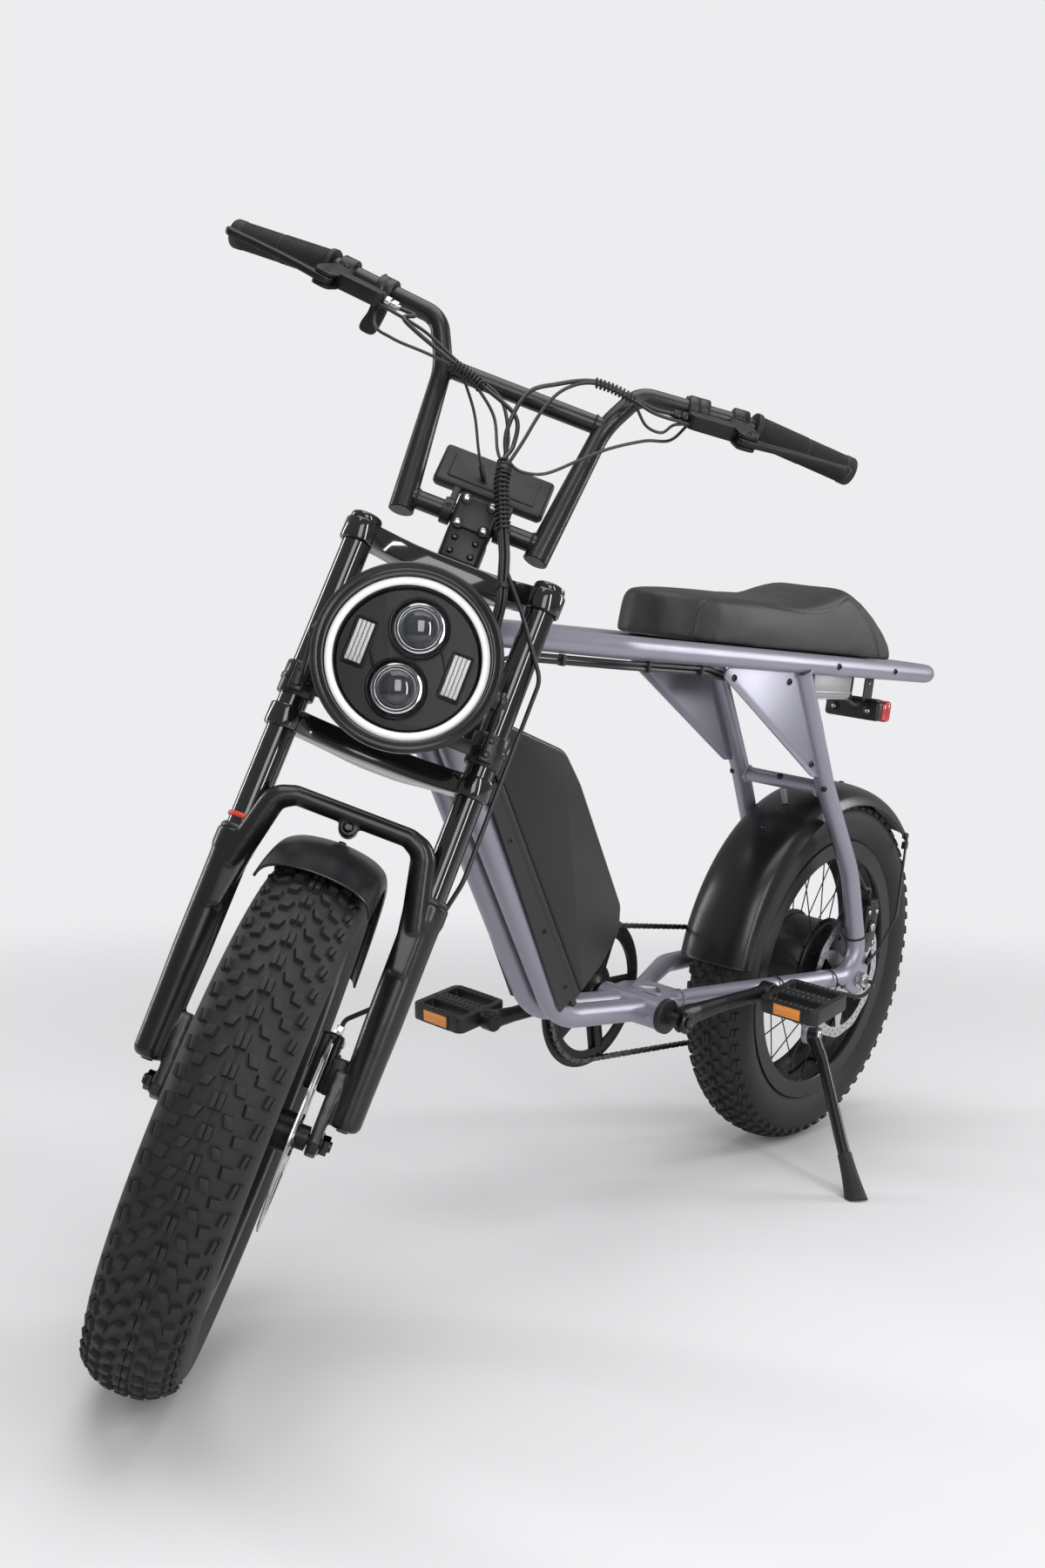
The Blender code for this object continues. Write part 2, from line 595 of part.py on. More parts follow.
eyelet = rod((-0.0135, dropout_outer + FIT, AXLE_HEIGHT + 0.0275),
             (-0.0135, dropout_outer + 0.006, AXLE_HEIGHT + 0.0275), 0.0055, 8)
wire = union(tube(wire_path, 0.0022, 1), eyelet, rivet)
node("rear_fender", union(rear_guard, wire, mirrored(wire)), bicycle, SATIN_BLACK, 0.45)


# Wheels
def tyre():
    outer = [(BEAD_RADIUS + FIT, TYRE_HALF - 0.0210), (BEAD_RADIUS + 0.0058, TYRE_HALF - 0.0140),
             (TYRE_RADIUS - 0.0450, TYRE_HALF), (TYRE_RADIUS - 0.0220, TYRE_HALF - 0.0040),
             (TYRE_RADIUS - 0.0065, TYRE_HALF - 0.0190)]
    crown = [(TYRE_RADIUS, TYRE_HALF - 0.0370)]
    inside = [(TYRE_RADIUS - 0.0070, TYRE_HALF - 0.0320), (TYRE_RADIUS - 0.0420, TYRE_HALF - 0.0065)]
    left = outer + crown
    profile = left + [(radius, -across) for radius, across in reversed(left)]
    profile += [(radius, -across) for radius, across in reversed(inside)] + inside
    return turned(profile, WHEEL_STEPS)


def rim(flange_radius, flange_half, sweep):
    """The rim with its cut-outs, joined to the spokes that reach in to the hub flanges."""
    side = [(RIM_FLANGE, RIM_HALF), (RIM_LIP, RIM_HALF - 0.004), (RIM_BAND, 0.026)]
    seat = [(0.1962, 0.026), (BEAD_RADIUS, 0.0385), (RIM_FLANGE, 0.0385)]
    profile = side + [(radius, -across) for radius, across in reversed(side)] + \
        [(radius, -across) for radius, across in reversed(seat)] + seat
    hoop = turned(profile, WHEEL_STEPS)
    windows = bmesh.new()
    for k in range(RIM_WINDOWS):
        turn = Matrix.Rotation(math.tau * (k + 0.5) / RIM_WINDOWS, 4, "Y")
        place = turn @ Matrix.Translation((0, 0, 0.196)) @ Matrix.Diagonal((1.7, 1.0, 1.0, 1.0))
        bmesh.ops.create_cone(windows, cap_ends=True, segments=6, radius1=0.011, radius2=0.011, depth=0.03,
                              matrix=place)
    hoop = cut(hoop, finished(windows))
    wires = bmesh.new()
    for k in range(SPOKES):
        left = k % 2 == 0
        angle = math.tau * (k + 0.36) / SPOKES
        lead = sweep if left else -sweep
        side_sign = 1 if left else -1
        outer_end = Vector((0.1945 * math.sin(angle), side_sign * 0.016, 0.1945 * math.cos(angle)))
        inner = flange_radius + 0.0012
        inner_end = Vector((inner * math.sin(angle + lead), side_sign * flange_half,
                            inner * math.cos(angle + lead)))
        aim = (outer_end - inner_end).to_track_quat("Z", "Y").to_matrix().to_4x4()
        bmesh.ops.create_cone(wires, cap_ends=True, segments=3, radius1=SPOKE_RADIUS * 1.3,
                              radius2=SPOKE_RADIUS * 1.3, depth=(outer_end - inner_end).length,
                              matrix=Matrix.Translation((outer_end + inner_end) / 2) @ aim)
    return union(hoop, finished(wires))


def rotor(plane, bore):
    """Brake disc with a waved edge, six arms and its bolt circle."""
    count = 24
    edge = []
    for k in range(count):
        radius = ROTOR_RADIUS - (0.0025 if k % 2 == 0 else 0.0)
        edge.append((radius * math.cos(math.tau * k / count), radius * math.sin(math.tau * k / count)))
    windows = []
    for k in range(6):
        a = math.tau * k / 6
        spread = ((0.0845, -0.40), (0.0860, 0.0), (0.0845, 0.40), (0.034, 0.20))
        windows.append([(r * math.cos(a + t), r * math.sin(a + t)) for r, t in spread])
    return slab(edge, plane - ROTOR_HALF, plane + ROTOR_HALF, "XZ",
                (circle((0, 0), bore_radius(bore, 16), 16), *windows))


black_metal = (SATIN_BLACK, 0.4, 0.6)
node("front_tyre", tyre(), front_wheel, RUBBER, 0.85)
node("rear_tyre", tyre(), rear_wheel, RUBBER, 0.85)
node("front_rim", rim(0.031, 0.0325, math.radians(30)), front_wheel, *black_metal)
node("rear_rim", rim(0.082, 0.0320, math.radians(14)), rear_wheel, *black_metal)
front_bore = FRONT_AXLE_RADIUS + FIT
front_half = LUG_INNER - FIT
front_boss = FRONT_ROTOR_PLANE - ROTOR_HALF - FIT
node("front_hub", turned([
    (front_bore, -front_half), (0.0110, -front_half), (0.0110, -0.060), (0.0170, -0.057), (0.0170, -0.037),
    (0.0310, -0.0345), (0.0310, -0.0305), (0.0170, -0.028), (0.0170, 0.028), (0.0310, 0.0305), (0.0310, 0.0345),
    (0.0210, 0.037), (0.0210, front_boss), (0.0130, front_boss), (0.0130, front_half),
    (front_bore, front_half)],
    16), front_wheel, *black_metal)
node("front_rotor", rotor(FRONT_ROTOR_PLANE, 0.0130), front_wheel, STEEL, 0.3, 1.0)
rear_boss = REAR_ROTOR_PLANE - ROTOR_HALF - FIT
hub_bore = AXLE_RADIUS + 0.0006
node("motor_hub", turned([
    (hub_bore, -0.0485), (0.030, -0.0485), (0.036, -0.043), (0.072, -0.039), (0.0760, -0.0350),
    (0.0820, -0.0336), (0.0820, -0.0304), (0.0760, -0.0290), (0.0760, 0.0290), (0.0820, 0.0304),
    (0.0820, 0.0336), (0.0760, 0.0350), (0.072, 0.039), (0.036, 0.046), (0.0210, 0.050), (0.0210, rear_boss),
    (0.0135, rear_boss), (0.0135, 0.0785), (hub_bore, 0.0785)], 16), rear_wheel, *black_metal)
node("rear_rotor", rotor(REAR_ROTOR_PLANE, 0.0135), rear_wheel, STEEL, 0.3, 1.0)


# Toothed discs for the freewheel and the chain ring
def pitch_radius(teeth):
    return CHAIN_PITCH / (2 * math.sin(math.pi / teeth))


def toothed(teeth):
    base = pitch_radius(teeth)
    outline = []
    for k in range(teeth):
        for share, depth in ((0.0, 0.0022), (0.5, 0.0046)):
            angle = math.tau * (k + share) / teeth
            outline.append(((base - depth) * math.cos(angle), (base - depth) * math.sin(angle)))
    return outline


stack_profile = [(0.0090, -0.0875), (0.0190, -0.0850), (0.0210, -0.0825)]
for k in reversed(range(len(COG_TEETH))):
    plane = CHAIN_PLANE - (k - CHAIN_COG) * COG_PITCH
    if k != CHAIN_COG:
        tip = pitch_radius(COG_TEETH[k]) - 0.0016
        stack_profile += [(0.0210, plane - TOOTH_HALF), (tip, plane - TOOTH_HALF), (tip, plane + TOOTH_HALF),
                          (0.0210, plane + TOOTH_HALF)]
stack_profile += [(0.0210, -0.0510), (0.0090, -0.0510)]
chain_cog = slab(toothed(COG_TEETH[CHAIN_COG]), CHAIN_PLANE - TOOTH_HALF, CHAIN_PLANE + TOOTH_HALF, "XZ",
                 (circle((0, 0), 0.0150, 8),))
node("freewheel", union(turned(stack_profile, 10), chain_cog), freewheel_axis, (0.30, 0.29, 0.28), 0.4, 1.0)

# Rear axle with spacers, nuts and the motor cable that leaves it on the left
spacer_left = rod((0, 0.0788, 0), (0, dropout_inner - FIT, 0), 0.0115, 12)
spacer_right = rod((0, -dropout_inner + FIT, 0), (0, -0.0880, 0), 0.0115, 12)
nuts = [rod((0, side * (dropout_outer + FIT), 0), (0, side * (dropout_outer + 0.0105), 0), 0.0125, 6)
        for side in (1, -1)]
shaft = rod((0, -0.1190, 0), (0, 0.1190, 0), AXLE_RADIUS, 16)
axle = union(shaft, spacer_left, spacer_right, *nuts)
axle.transform(Matrix.Translation((0, 0, AXLE_HEIGHT)))
stay_low = STAY_RADIUS + 0.0035
cable_path = rounded_path([
    (0, 0.1150, AXLE_HEIGHT), (0, 0.1290, AXLE_HEIGHT), (0.030, 0.1240, AXLE_HEIGHT - 0.0200),
    (0.075, 0.0980, AXLE_HEIGHT + 0.0065 - stay_low), (0.285, 0.0765, AXLE_HEIGHT + 0.0155 - stay_low),
    (0.385, 0.0390, AXLE_HEIGHT + 0.0095 - stay_low), (0.430, 0.030, AXLE_HEIGHT - 0.0200)],
    (0.010, 0.03, 0.04, 0.05, 0.03), 40)
node("rear_axle", union(axle, tube(cable_path, 0.0031, 1)), bicycle, (0.20, 0.20, 0.21), 0.4, 0.8)

# Rear calliper over the disc, bolted to the left dropout
caliper_body = block((-0.062, 0.0615, AXLE_HEIGHT + 0.040), (-0.022, 0.0895, AXLE_HEIGHT + 0.112), 0.004, 1)
caliper_slot = block((-0.08, REAR_ROTOR_PLANE - ROTOR_SLOT_HALF, AXLE_HEIGHT + 0.018),
                     (-0.010, REAR_ROTOR_PLANE + ROTOR_SLOT_HALF, AXLE_HEIGHT + 0.103))
caliper_foot = block((-0.034, 0.0885, AXLE_HEIGHT + 0.036),
                     (-0.004, dropout_inner - FIT, AXLE_HEIGHT + 0.070), 0.001)
caliper_neck = block((-0.058, 0.0640, AXLE_HEIGHT + 0.104), (-0.028, 0.0870, CALIPER_TOP), 0.003, 1)
slotted = cut(caliper_body, caliper_slot)
node("rear_caliper", union(slotted, caliper_foot, caliper_neck), bicycle, *black_metal)

# Battery, its rail on the down tubes and the key lock
def by_down_tube(t, n):
    place = line_start + down * t + behind * n
    return (place.x, place.z)


rail_front = DOWN_TUBE_RADIUS + FIT
rail_outline = [(-0.165, rail_front), (-0.165, 0.0237), (0.205, 0.0237), (0.212, rail_front)]
rail_plate = slab([by_down_tube(t, n) for t, n in rail_outline], -0.0395, 0.0395)
flank = slab([by_down_tube(t, n) for t, n in (
    (-0.150, 0.0225), (0.195, 0.0225), (0.190, 0.006), (-0.150, -0.008))], 0.0372, 0.0415)
tube_clearance = tube(down_path, DOWN_TUBE_RADIUS + FIT, 3)
node("battery_rail", cut(union(rail_plate, flank, mirrored(flank)), tube_clearance, mirrored(tube_clearance)),
     bicycle, SATIN_BLACK, 0.5)

battery_axis = empty("battery_axis", bicycle)
case = slab([by_down_tube(t, n) for t, n in BATTERY_OUTLINE], -BATTERY_HALF, BATTERY_HALF)
bm = bmesh.new()
bm.from_mesh(case)
bmesh.ops.dissolve_limit(bm, angle_limit=0.01, verts=bm.verts, edges=bm.edges)
rims = [edge for edge in bm.edges if abs(abs(edge.verts[0].co.y) - BATTERY_HALF) < 1e-5
        and abs(edge.verts[0].co.y - edge.verts[1].co.y) < 1e-5]
bmesh.ops.bevel(bm, geom=rims, offset=0.007, segments=2, profile=0.5, affect="EDGES", clamp_overlap=True,
                material=-1)
bmesh.ops.triangulate(bm, faces=bm.faces)
case = finished(bm)
lock_x, lock_z = by_down_tube(*LOCK_PLACE)
boss = rod((lock_x, 0.030, lock_z), (lock_x, 0.0460, lock_z), 0.0125, 16)
bore = rod((lock_x, 0.0385, lock_z), (lock_x, 0.06, lock_z), 0.0090 + FIT, 16)
node("battery_case", cut(union(case, boss), bore), battery_axis, SATIN_BLACK, 0.38)
key_axis = empty("key_axis", battery_axis, (lock_x, 0.0385 + FIT, lock_z))
barrel = rod((0, 0, 0), (0, 0.0095, 0), 0.0090, 16)
key_slot = block((-0.0012, 0.0070, -0.0050), (0.0012, 0.02, 0.0050))
node("key_lock", cut(barrel, key_slot), key_axis, STEEL, 0.25, 1.0)


# Seat: one long cushion on the rails, raised at the back
seat_base = RAIL_FLAT + FIT
seat_stations = (
    (-0.036, 0.62, 0.797), (-0.022, 0.80, 0.812), (0.002, 0.93, 0.832), (0.050, 1.0, 0.858),
    (0.105, 1.0, 0.8745), (0.165, 1.0, 0.8755), (0.215, 1.0, 0.862), (0.265, 1.0, 0.8525),
    (0.340, 1.0, 0.8510), (0.440, 0.99, 0.8505),
    (0.500, 0.93, 0.8490), (0.540, 0.74, 0.8470), (0.5620, 0.45, 0.8440), (0.5700, 0.22, 0.8400))
bm = bmesh.new()
rings = []
for x, share, top in seat_stations:
    low = rail_height(x) + seat_base
    half = SEAT_HALF * share
    deep = top - low
    ring = [(half * 0.97, low), (half, low + 0.20 * deep), (half, low + 0.62 * deep),
            (half * 0.93, low + 0.87 * deep), (half * 0.72, top - 0.02 * deep), (half * 0.30, top)]
    ring += [(-a, b) for a, b in reversed(ring)]
    slope = (0.006 if x < 0.3 else -0.006) / deep
    rings.append([bm.verts.new((x + slope * (b - low), a, b)) for a, b in ring])
for low, high in zip(rings, rings[1:]):
    for k in range(12):
        n = (k + 1) % 12
        bm.faces.new((low[k], low[n], high[n], high[k]))
bm.faces.new(rings[0])
bm.faces.new(rings[-1])
node("seat", finished(bm), bicycle, (0.045, 0.045, 0.048), 0.7)

# Brake hose and wiring loom under the left rail and down the strut
hose_radius = 0.0026
strut_behind = -front_edge * (STAY_RADIUS + 0.0035) / (STAY_RADIUS + FRAME_GAP)
hose_rail = RAIL_RADIUS + hose_radius + 0.0012
brake_hose = rounded_path([
    (0.898, 0.036, 0.745), (0.845, 0.0500, rail_height(0.845) - hose_rail),
    (0.690, 0.0745, rail_height(0.690) - hose_rail), (0.500, 0.0730, rail_height(0.500) - hose_rail),
    (0.440, 0.0600, 0.7470), (0.275, 0.0520, 0.7420), (0.240, 0.0515, 0.7350), (0.215, 0.0595, 0.7215),
    strut_knee + strut_behind + strut_line * 0.10, strut_knee + strut_behind,
    strut_bend + Vector((-0.0165, 0, 0.0060)), (0.0040, 0.0900, CALIPER_TOP + 0.0230),
    (-0.030, 0.0800, CALIPER_TOP + 0.0180), (-0.042, 0.0755, CALIPER_TOP + 0.0130),
    (-0.042, 0.0755, CALIPER_TOP + FIT)],
    (0.03, 0.1, 0.05, 0.03, 0.03, 0.02, 0.02, 0.02, 0.1, 0.1, 0.02, 0.012, 0.006), 40)
loom = rounded_path([
    (0.892, 0.033, 0.738), (0.840, 0.0500, rail_height(0.840) - hose_rail - 0.0062),
    (0.690, 0.0745, rail_height(0.690) - hose_rail - 0.0062),
    (0.500, 0.0690, rail_height(0.500) - hose_rail - 0.0062),
    (0.440, 0.0520, 0.7400), (0.240, 0.0380, 0.7360), (0.1963, 0.0380, 0.7360)],
    (0.03, 0.1, 0.05, 0.03, 0.02), 40)
clips = []
for x, y in ((0.790, 0.0587), (0.640, 0.0741), (0.520, 0.0726)):
    z = rail_height(x) - hose_rail
    clips.append(block((x - 0.004, y - 0.0045, z - 0.0100), (x + 0.004, y + 0.0045, z + 0.0032)))
node("rear_cables", union(tube(brake_hose, hose_radius, 1), tube(loom, 0.0030, 1), *clips),
     bicycle, RUBBER, 0.5)


# Chain: an open band the teeth run in, with side plates above and below its web
ring_radius = pitch_radius(RING_TEETH)
cog_radius = pitch_radius(COG_TEETH[CHAIN_COG])
jockey_radius = pitch_radius(11)
ring_place = Vector(BB)
cog_place = Vector((0, AXLE_HEIGHT))
guide_place = cog_place + Vector((0.012, -0.067))
tension_place = cog_place + Vector((0.048, -0.106))


def tangent(a, ra, b, rb):
    """Where a straight run leaves circle a and meets circle b.

    A positive radius keeps the circle on the right.
    """
    d = b - a
    angle = math.atan2(d.y, d.x)
    lean = math.asin((ra - rb) / d.length)
    normal = Vector((math.cos(angle + math.pi / 2 - lean), math.sin(angle + math.pi / 2 - lean)))
    return a + normal * ra, b + normal * rb


wraps = [(ring_place, ring_radius), (tension_place, jockey_radius), (guide_place, -jockey_radius),
         (cog_place, cog_radius)]
runs = [tangent(*wraps[k], *wraps[(k + 1) % 4]) for k in range(4)]
chain_path = []
for k, (place, radius) in enumerate(wraps):
    start = runs[k - 1][1] - place
    end = runs[k][0] - place
    sweep = math.atan2(end.y, end.x) - math.atan2(start.y, start.x)
    while radius > 0 and sweep > -0.05:
        sweep -= math.tau
    while radius < 0 and sweep < 0.05:
        sweep += math.tau
    begin = math.atan2(start.y, start.x)
    steps = max(2, math.ceil(abs(sweep) / math.radians(20 if abs(radius) > 0.05 else 36)))
    for j in range(steps + 1):
        angle = begin + sweep * j / steps
        spread = 1 if j in (0, steps) else 1 / math.cos(sweep / steps / 2)
        chain_path.append(place + Vector((math.cos(angle), math.sin(angle))) * abs(radius) * spread)
chain_section = [(CHAIN_HALF_HEIGHT, -PLATE_OUTER), (CHAIN_HALF_HEIGHT, -PLATE_INNER), (WEB_HALF, -PLATE_INNER),
                 (WEB_HALF, PLATE_INNER), (CHAIN_HALF_HEIGHT, PLATE_INNER), (CHAIN_HALF_HEIGHT, PLATE_OUTER)]
chain_section += [(-a, -b) for a, b in chain_section]
bm = bmesh.new()
rings = []
count = len(chain_path)
for k, place in enumerate(chain_path):
    ahead = (chain_path[(k + 1) % count] - place).normalized()
    run = (ahead + (place - chain_path[k - 1]).normalized()).normalized()
    normal = Vector((-run.y, run.x))
    rings.append([bm.verts.new((place.x + normal.x * a, CHAIN_PLANE + b, place.y + normal.y * a))
                  for a, b in chain_section])
for k in range(count):
    low, high = rings[k - 1], rings[k]
    for j in range(len(chain_section)):
        n = (j + 1) % len(chain_section)
        bm.faces.new((low[j], low[n], high[n], high[j]))
node("chain", finished(bm), bicycle, (0.16, 0.16, 0.16), 0.4, 1.0)

# Derailleur: hanger body, cage plates and two jockey wheels
cage_line = [(guide_place.x - 0.006, guide_place.y + 0.010), (guide_place.x + 0.009, guide_place.y + 0.004),
             (tension_place.x + 0.009, tension_place.y + 0.004),
             (tension_place.x + 0.002, tension_place.y - 0.010),
             (tension_place.x - 0.010, tension_place.y - 0.004), (guide_place.x - 0.011, guide_place.y - 0.006)]
cage_outer = slab(cage_line, CHAIN_PLANE - 0.0068, CHAIN_PLANE - 0.0050)
cage_inner = slab(cage_line, CHAIN_PLANE + 0.0050, CHAIN_PLANE + 0.0068)
jockeys = []
for place in (guide_place, tension_place):
    for half, radius, sides in ((0.0060, 0.0045, 8), (0.0010, jockey_radius - 0.0020, 16)):
        jockeys.append(rod((place.x, CHAIN_PLANE - half, place.y), (place.x, CHAIN_PLANE + half, place.y),
                           radius, sides))
mech_height = AXLE_HEIGHT - 0.0390
mech_body = union(
    rod((0.0130, -dropout_inner + FIT, mech_height), (0.0130, -0.0760, mech_height), 0.0085, 12),
    block((0.0045, -0.0870, mech_height - 0.0350), (0.0225, -0.0765, mech_height + 0.0030), 0.003),
    block((0.0060, -0.0860, mech_height - 0.0370), (0.0200, -0.0735, mech_height - 0.0230), 0.002))
node("rear_derailleur", union(cage_outer, cage_inner, *jockeys, mech_body), bicycle, *black_metal)

# Cranks, chain ring and pedals
arm_way = Vector((math.cos(CRANK_ANGLE), 0, math.sin(CRANK_ANGLE)))
left_eye = arm_way * CRANK_LENGTH
slant = tube([arm_way * 0.035 + Vector((0, 0.074, 0)), arm_way * 0.100 + Vector((0, 0.088, 0)),
              arm_way * 0.168 + Vector((0, 0.109, 0))], 0.0110, 2)
far_pad = rod(left_eye + Vector((0, 0.1000, 0)), left_eye + Vector((0, 0.1215, 0)), 0.0135, 12)
bolt_left = rod((0, 0.085, 0), (0, 0.0925, 0), 0.0090, 12)
root = rod((0, 0.0640, 0), (0, 0.0905, 0), 0.0175, 16, 0.0140)
left_crank = union(root, slant, far_pad, bolt_left, tube([
    Vector((0, 0.076, 0)), arm_way * 0.045 + Vector((0, 0.0765, 0))], 0.0115, 2))
spindle_hole = rod((0, 0.05, 0), (0, 0.0800, 0), SPINDLE_RADIUS + FIT, 16)
thread_bore = PEDAL_THREAD_RADIUS + FIT
pedal_thread_left = rod(left_eye + Vector((0, 0.09, 0)), left_eye + Vector((0, 0.13, 0)), thread_bore, 12)
node("crank_left", cut(left_crank, spindle_hole, pedal_thread_left), crank_axis, *black_metal)

right_way = -arm_way
right_eye = right_way * CRANK_LENGTH
spindle = rod((0, -0.0900, 0), (0, 0.0797, 0), SPINDLE_RADIUS, 16)
sensor_ring = turned([(0.0080, 0.0515), (0.0240, 0.0515), (0.0240, 0.0600), (0.0080, 0.0600)], 20)
right_root = rod((0, -0.0905, 0), (0, -0.0640, 0), 0.0140, 16, 0.0175)
right_slant = tube([right_way * 0.035 + Vector((0, -0.0800, 0)), right_way * 0.100 + Vector((0, -0.0920, 0)),
                    right_way * 0.168 + Vector((0, -0.109, 0))], 0.0110, 2)
right_near = tube([Vector((0, -0.080, 0)), right_way * 0.045 + Vector((0, -0.0820, 0))], 0.0115, 2)
right_pad = rod(right_eye + Vector((0, -0.1215, 0)), right_eye + Vector((0, -0.1000, 0)), 0.0135, 14)
ring_disc = slab(toothed(RING_TEETH), CHAIN_PLANE - TOOTH_HALF, CHAIN_PLANE + TOOTH_HALF, "XZ",
                 (circle((0, 0), 0.0800, 12),))
guard_windows = [[(r * math.cos(a + t), r * math.sin(a + t)) for r, t in
                  ((0.078, -0.42), (0.080, 0.0), (0.078, 0.42), (0.037, 0.28), (0.037, -0.28))]
                 for a in (math.tau * k / 5 for k in range(5))]
guard = slab(circle((0, 0), GUARD_RADIUS, 26), CHAIN_PLANE - 0.0066, CHAIN_PLANE - 0.0046, "XZ", guard_windows)
ring_arms = []
for k in range(5):
    turn = Matrix.Rotation(-math.tau * (k + 0.5) / 5, 4, "Y")
    ring_arm = block((0.020, CHAIN_PLANE - 0.0050, -0.007), (0.0900, CHAIN_PLANE + 0.0016, 0.007))
    ring_arms.append(moved(ring_arm, turn))
spider = rod((0, CHAIN_PLANE - 0.0090, 0), (0, CHAIN_PLANE + 0.0020, 0), 0.0290, 14)
right_crank = union(right_root, spindle, sensor_ring, right_slant, right_near, right_pad,
                    spider, ring_disc, guard,
                    *ring_arms)
pedal_thread_right = rod(right_eye + Vector((0, -0.13, 0)), right_eye + Vector((0, -0.09, 0)),
                         thread_bore, 12)
node("crank_right", cut(right_crank, pedal_thread_right), crank_axis, *black_metal)

for side, eye, name in ((1, left_eye, "left"), (-1, right_eye, "right")):
    holder = empty(f"pedal_{name}_axis", crank_axis, eye, Matrix.Rotation(PEDAL_LEAN, 4, "Y"))
    body = block((-0.046, 0.1235, -0.0125), (0.046, 0.2140, 0.0125), 0.004, 1)
    hollows = [block((x, 0.1330, -0.03), (x + 0.0205, 0.2045, 0.03)) for x in (-0.0340, 0.0135)]
    pedal = cut(body, *hollows)
    stub = rod((0, 0.1015, 0), (0, 0.1260, 0), PEDAL_THREAD_RADIUS, 12)
    collar = rod((0, 0.1220, 0), (0, 0.1300, 0), 0.0090, 12)
    pedal = union(pedal, stub, collar)
    node(f"pedal_{name}", pedal if side > 0 else mirrored(pedal), holder, SATIN_BLACK, 0.55)


# Fork: crowns, stanchions and steerer in the steering group
def crown_plate(low, high, holes):
    boss = [(RAKE + 0.0205 * math.cos(a), STANCHION_HALF_SPACING + 0.0205 * math.sin(a)) for a in
            (math.radians(d) for d in (-50, -10, 30, 70, 110, 150, 195))]
    other_boss = [(x, -y) for x, y in reversed(boss)]
    back = [(0.004, 0.062), (-0.024, 0.028), (-0.029, 0.000), (-0.024, -0.028), (0.004, -0.062)]
    outline = [(0.031, 0.0), (0.034, 0.040)] + boss + back + other_boss + [(0.034, -0.040)]
    return slab(outline, low, high, "XY", holes)


def bores(radius):
    return [circle((RAKE, side * STANCHION_HALF_SPACING), radius, 12) for side in (1, -1)]


clamp_bore = STANCHION_RADIUS + FIT
node("upper_crown", crown_plate(UPPER_CROWN_BOTTOM, UPPER_CROWN_TOP,
                                bores(clamp_bore) + [circle((0, 0), bore_radius(STEERER_RADIUS, 14), 14)]),
     steering, GLOSS_BLACK, 0.25, 0.5)
lower_plate = crown_plate(LOWER_CROWN_BOTTOM, LOWER_CROWN_TOP, bores(clamp_bore))
steerer = rod((0, 0, LOWER_CROWN_BOTTOM + 0.005), (0, 0, STEERER_TOP), STEERER_RADIUS, 14)
node("lower_crown", union(lower_plate, steerer), steering, GLOSS_BLACK, 0.25, 0.5)
for side, name in ((1, "left"), (-1, "right")):
    post_end = LEG_BORE_END + FORK_TRAVEL + 0.001
    post = turned([(0, post_end), (STANCHION_RADIUS, post_end), (STANCHION_RADIUS, UPPER_CROWN_TOP + 0.0005),
                   (0.0175, UPPER_CROWN_TOP + 0.0008), (0.0175, UPPER_CROWN_TOP + 0.0050),
                   (0.0150, UPPER_CROWN_TOP + 0.0080), (0, UPPER_CROWN_TOP + 0.0085)], 12, "Z")
    post.transform(Matrix.Translation((RAKE, side * STANCHION_HALF_SPACING, 0)))
    node(f"stanchion_{name}", post, steering, GLOSS_BLACK, 0.12, 0.7)

# Stem: block on the steerer that clamps the lower bar
clamp_height = LOWER_BAR[2]
stem_base = block((-0.024, -0.0235, UPPER_CROWN_TOP + FIT), (0.022, 0.0235, clamp_height - 0.0140), 0.004, 1)
stem_clamp = block((-0.0155, -0.0235, clamp_height - 0.0220),
                   (0.0235, 0.0235, clamp_height + 0.0215), 0.006, 1)
stem_bolts = [rod((0.022, y, clamp_height + 0.0005), (0.0285, y, clamp_height + 0.0005), 0.0045, 6)
              for y in (-0.0145, 0.0125)]
steerer_bore = bore_radius(STEERER_RADIUS, 14)
stem_holes = [rod((0, 0, UPPER_CROWN_BOTTOM), (0, 0, STEERER_TOP + 0.0015), steerer_bore, 14),
              rod((LOWER_BAR[0], -0.05, LOWER_BAR[2]), (LOWER_BAR[0], 0.05, LOWER_BAR[2]),
                  bore_radius(BAR_RADIUS, 14), 14)]
node("stem", cut(union(stem_base, stem_clamp, *stem_bolts), *stem_holes), steering, *black_metal)

# Handlebar: two uprights with a lower bar and a cross bar, swept out to the grips
upright_foot = Vector(LOWER_BAR) - (Vector(CROSS_BAR) - Vector(LOWER_BAR)).normalized() * UPRIGHT_FOOT
bar_points = rounded_path([upright_foot, Vector(CROSS_BAR), Vector(BAR_BEND), Vector(GRIP_START),
                           Vector(GRIP_END)], (0.10, 0.03, 0.02), 20)
scales = []
for point in bar_points:
    share = min(max((point.z - LOWER_BAR[2]) / (CROSS_BAR[2] - 0.02 - LOWER_BAR[2]), 0), 1)
    scales.append((UPRIGHT_RADIUS + (BAR_RADIUS - UPRIGHT_RADIUS) * share) / BAR_RADIUS)
bar_left = tube(bar_points, BAR_RADIUS, 3, scales)
up_way = (Vector(CROSS_BAR) - upright_foot).normalized()
open_end = rod(upright_foot - Vector((0, 0, 0.01)), upright_foot + up_way * 0.006, UPRIGHT_RADIUS - 0.002, 10)
bar_left = cut(bar_left, open_end)
other_side = Vector((1, -1, 1))
lower_bar = rod(Vector(LOWER_BAR) * other_side, LOWER_BAR, BAR_RADIUS, 14)
cross_bar = rod(Vector(CROSS_BAR) * other_side, CROSS_BAR, BAR_RADIUS - FIT, 14)
node("handlebar", union(bar_left, mirrored(bar_left), lower_bar, cross_bar), steering, SATIN_BLACK, 0.35, 0.4)


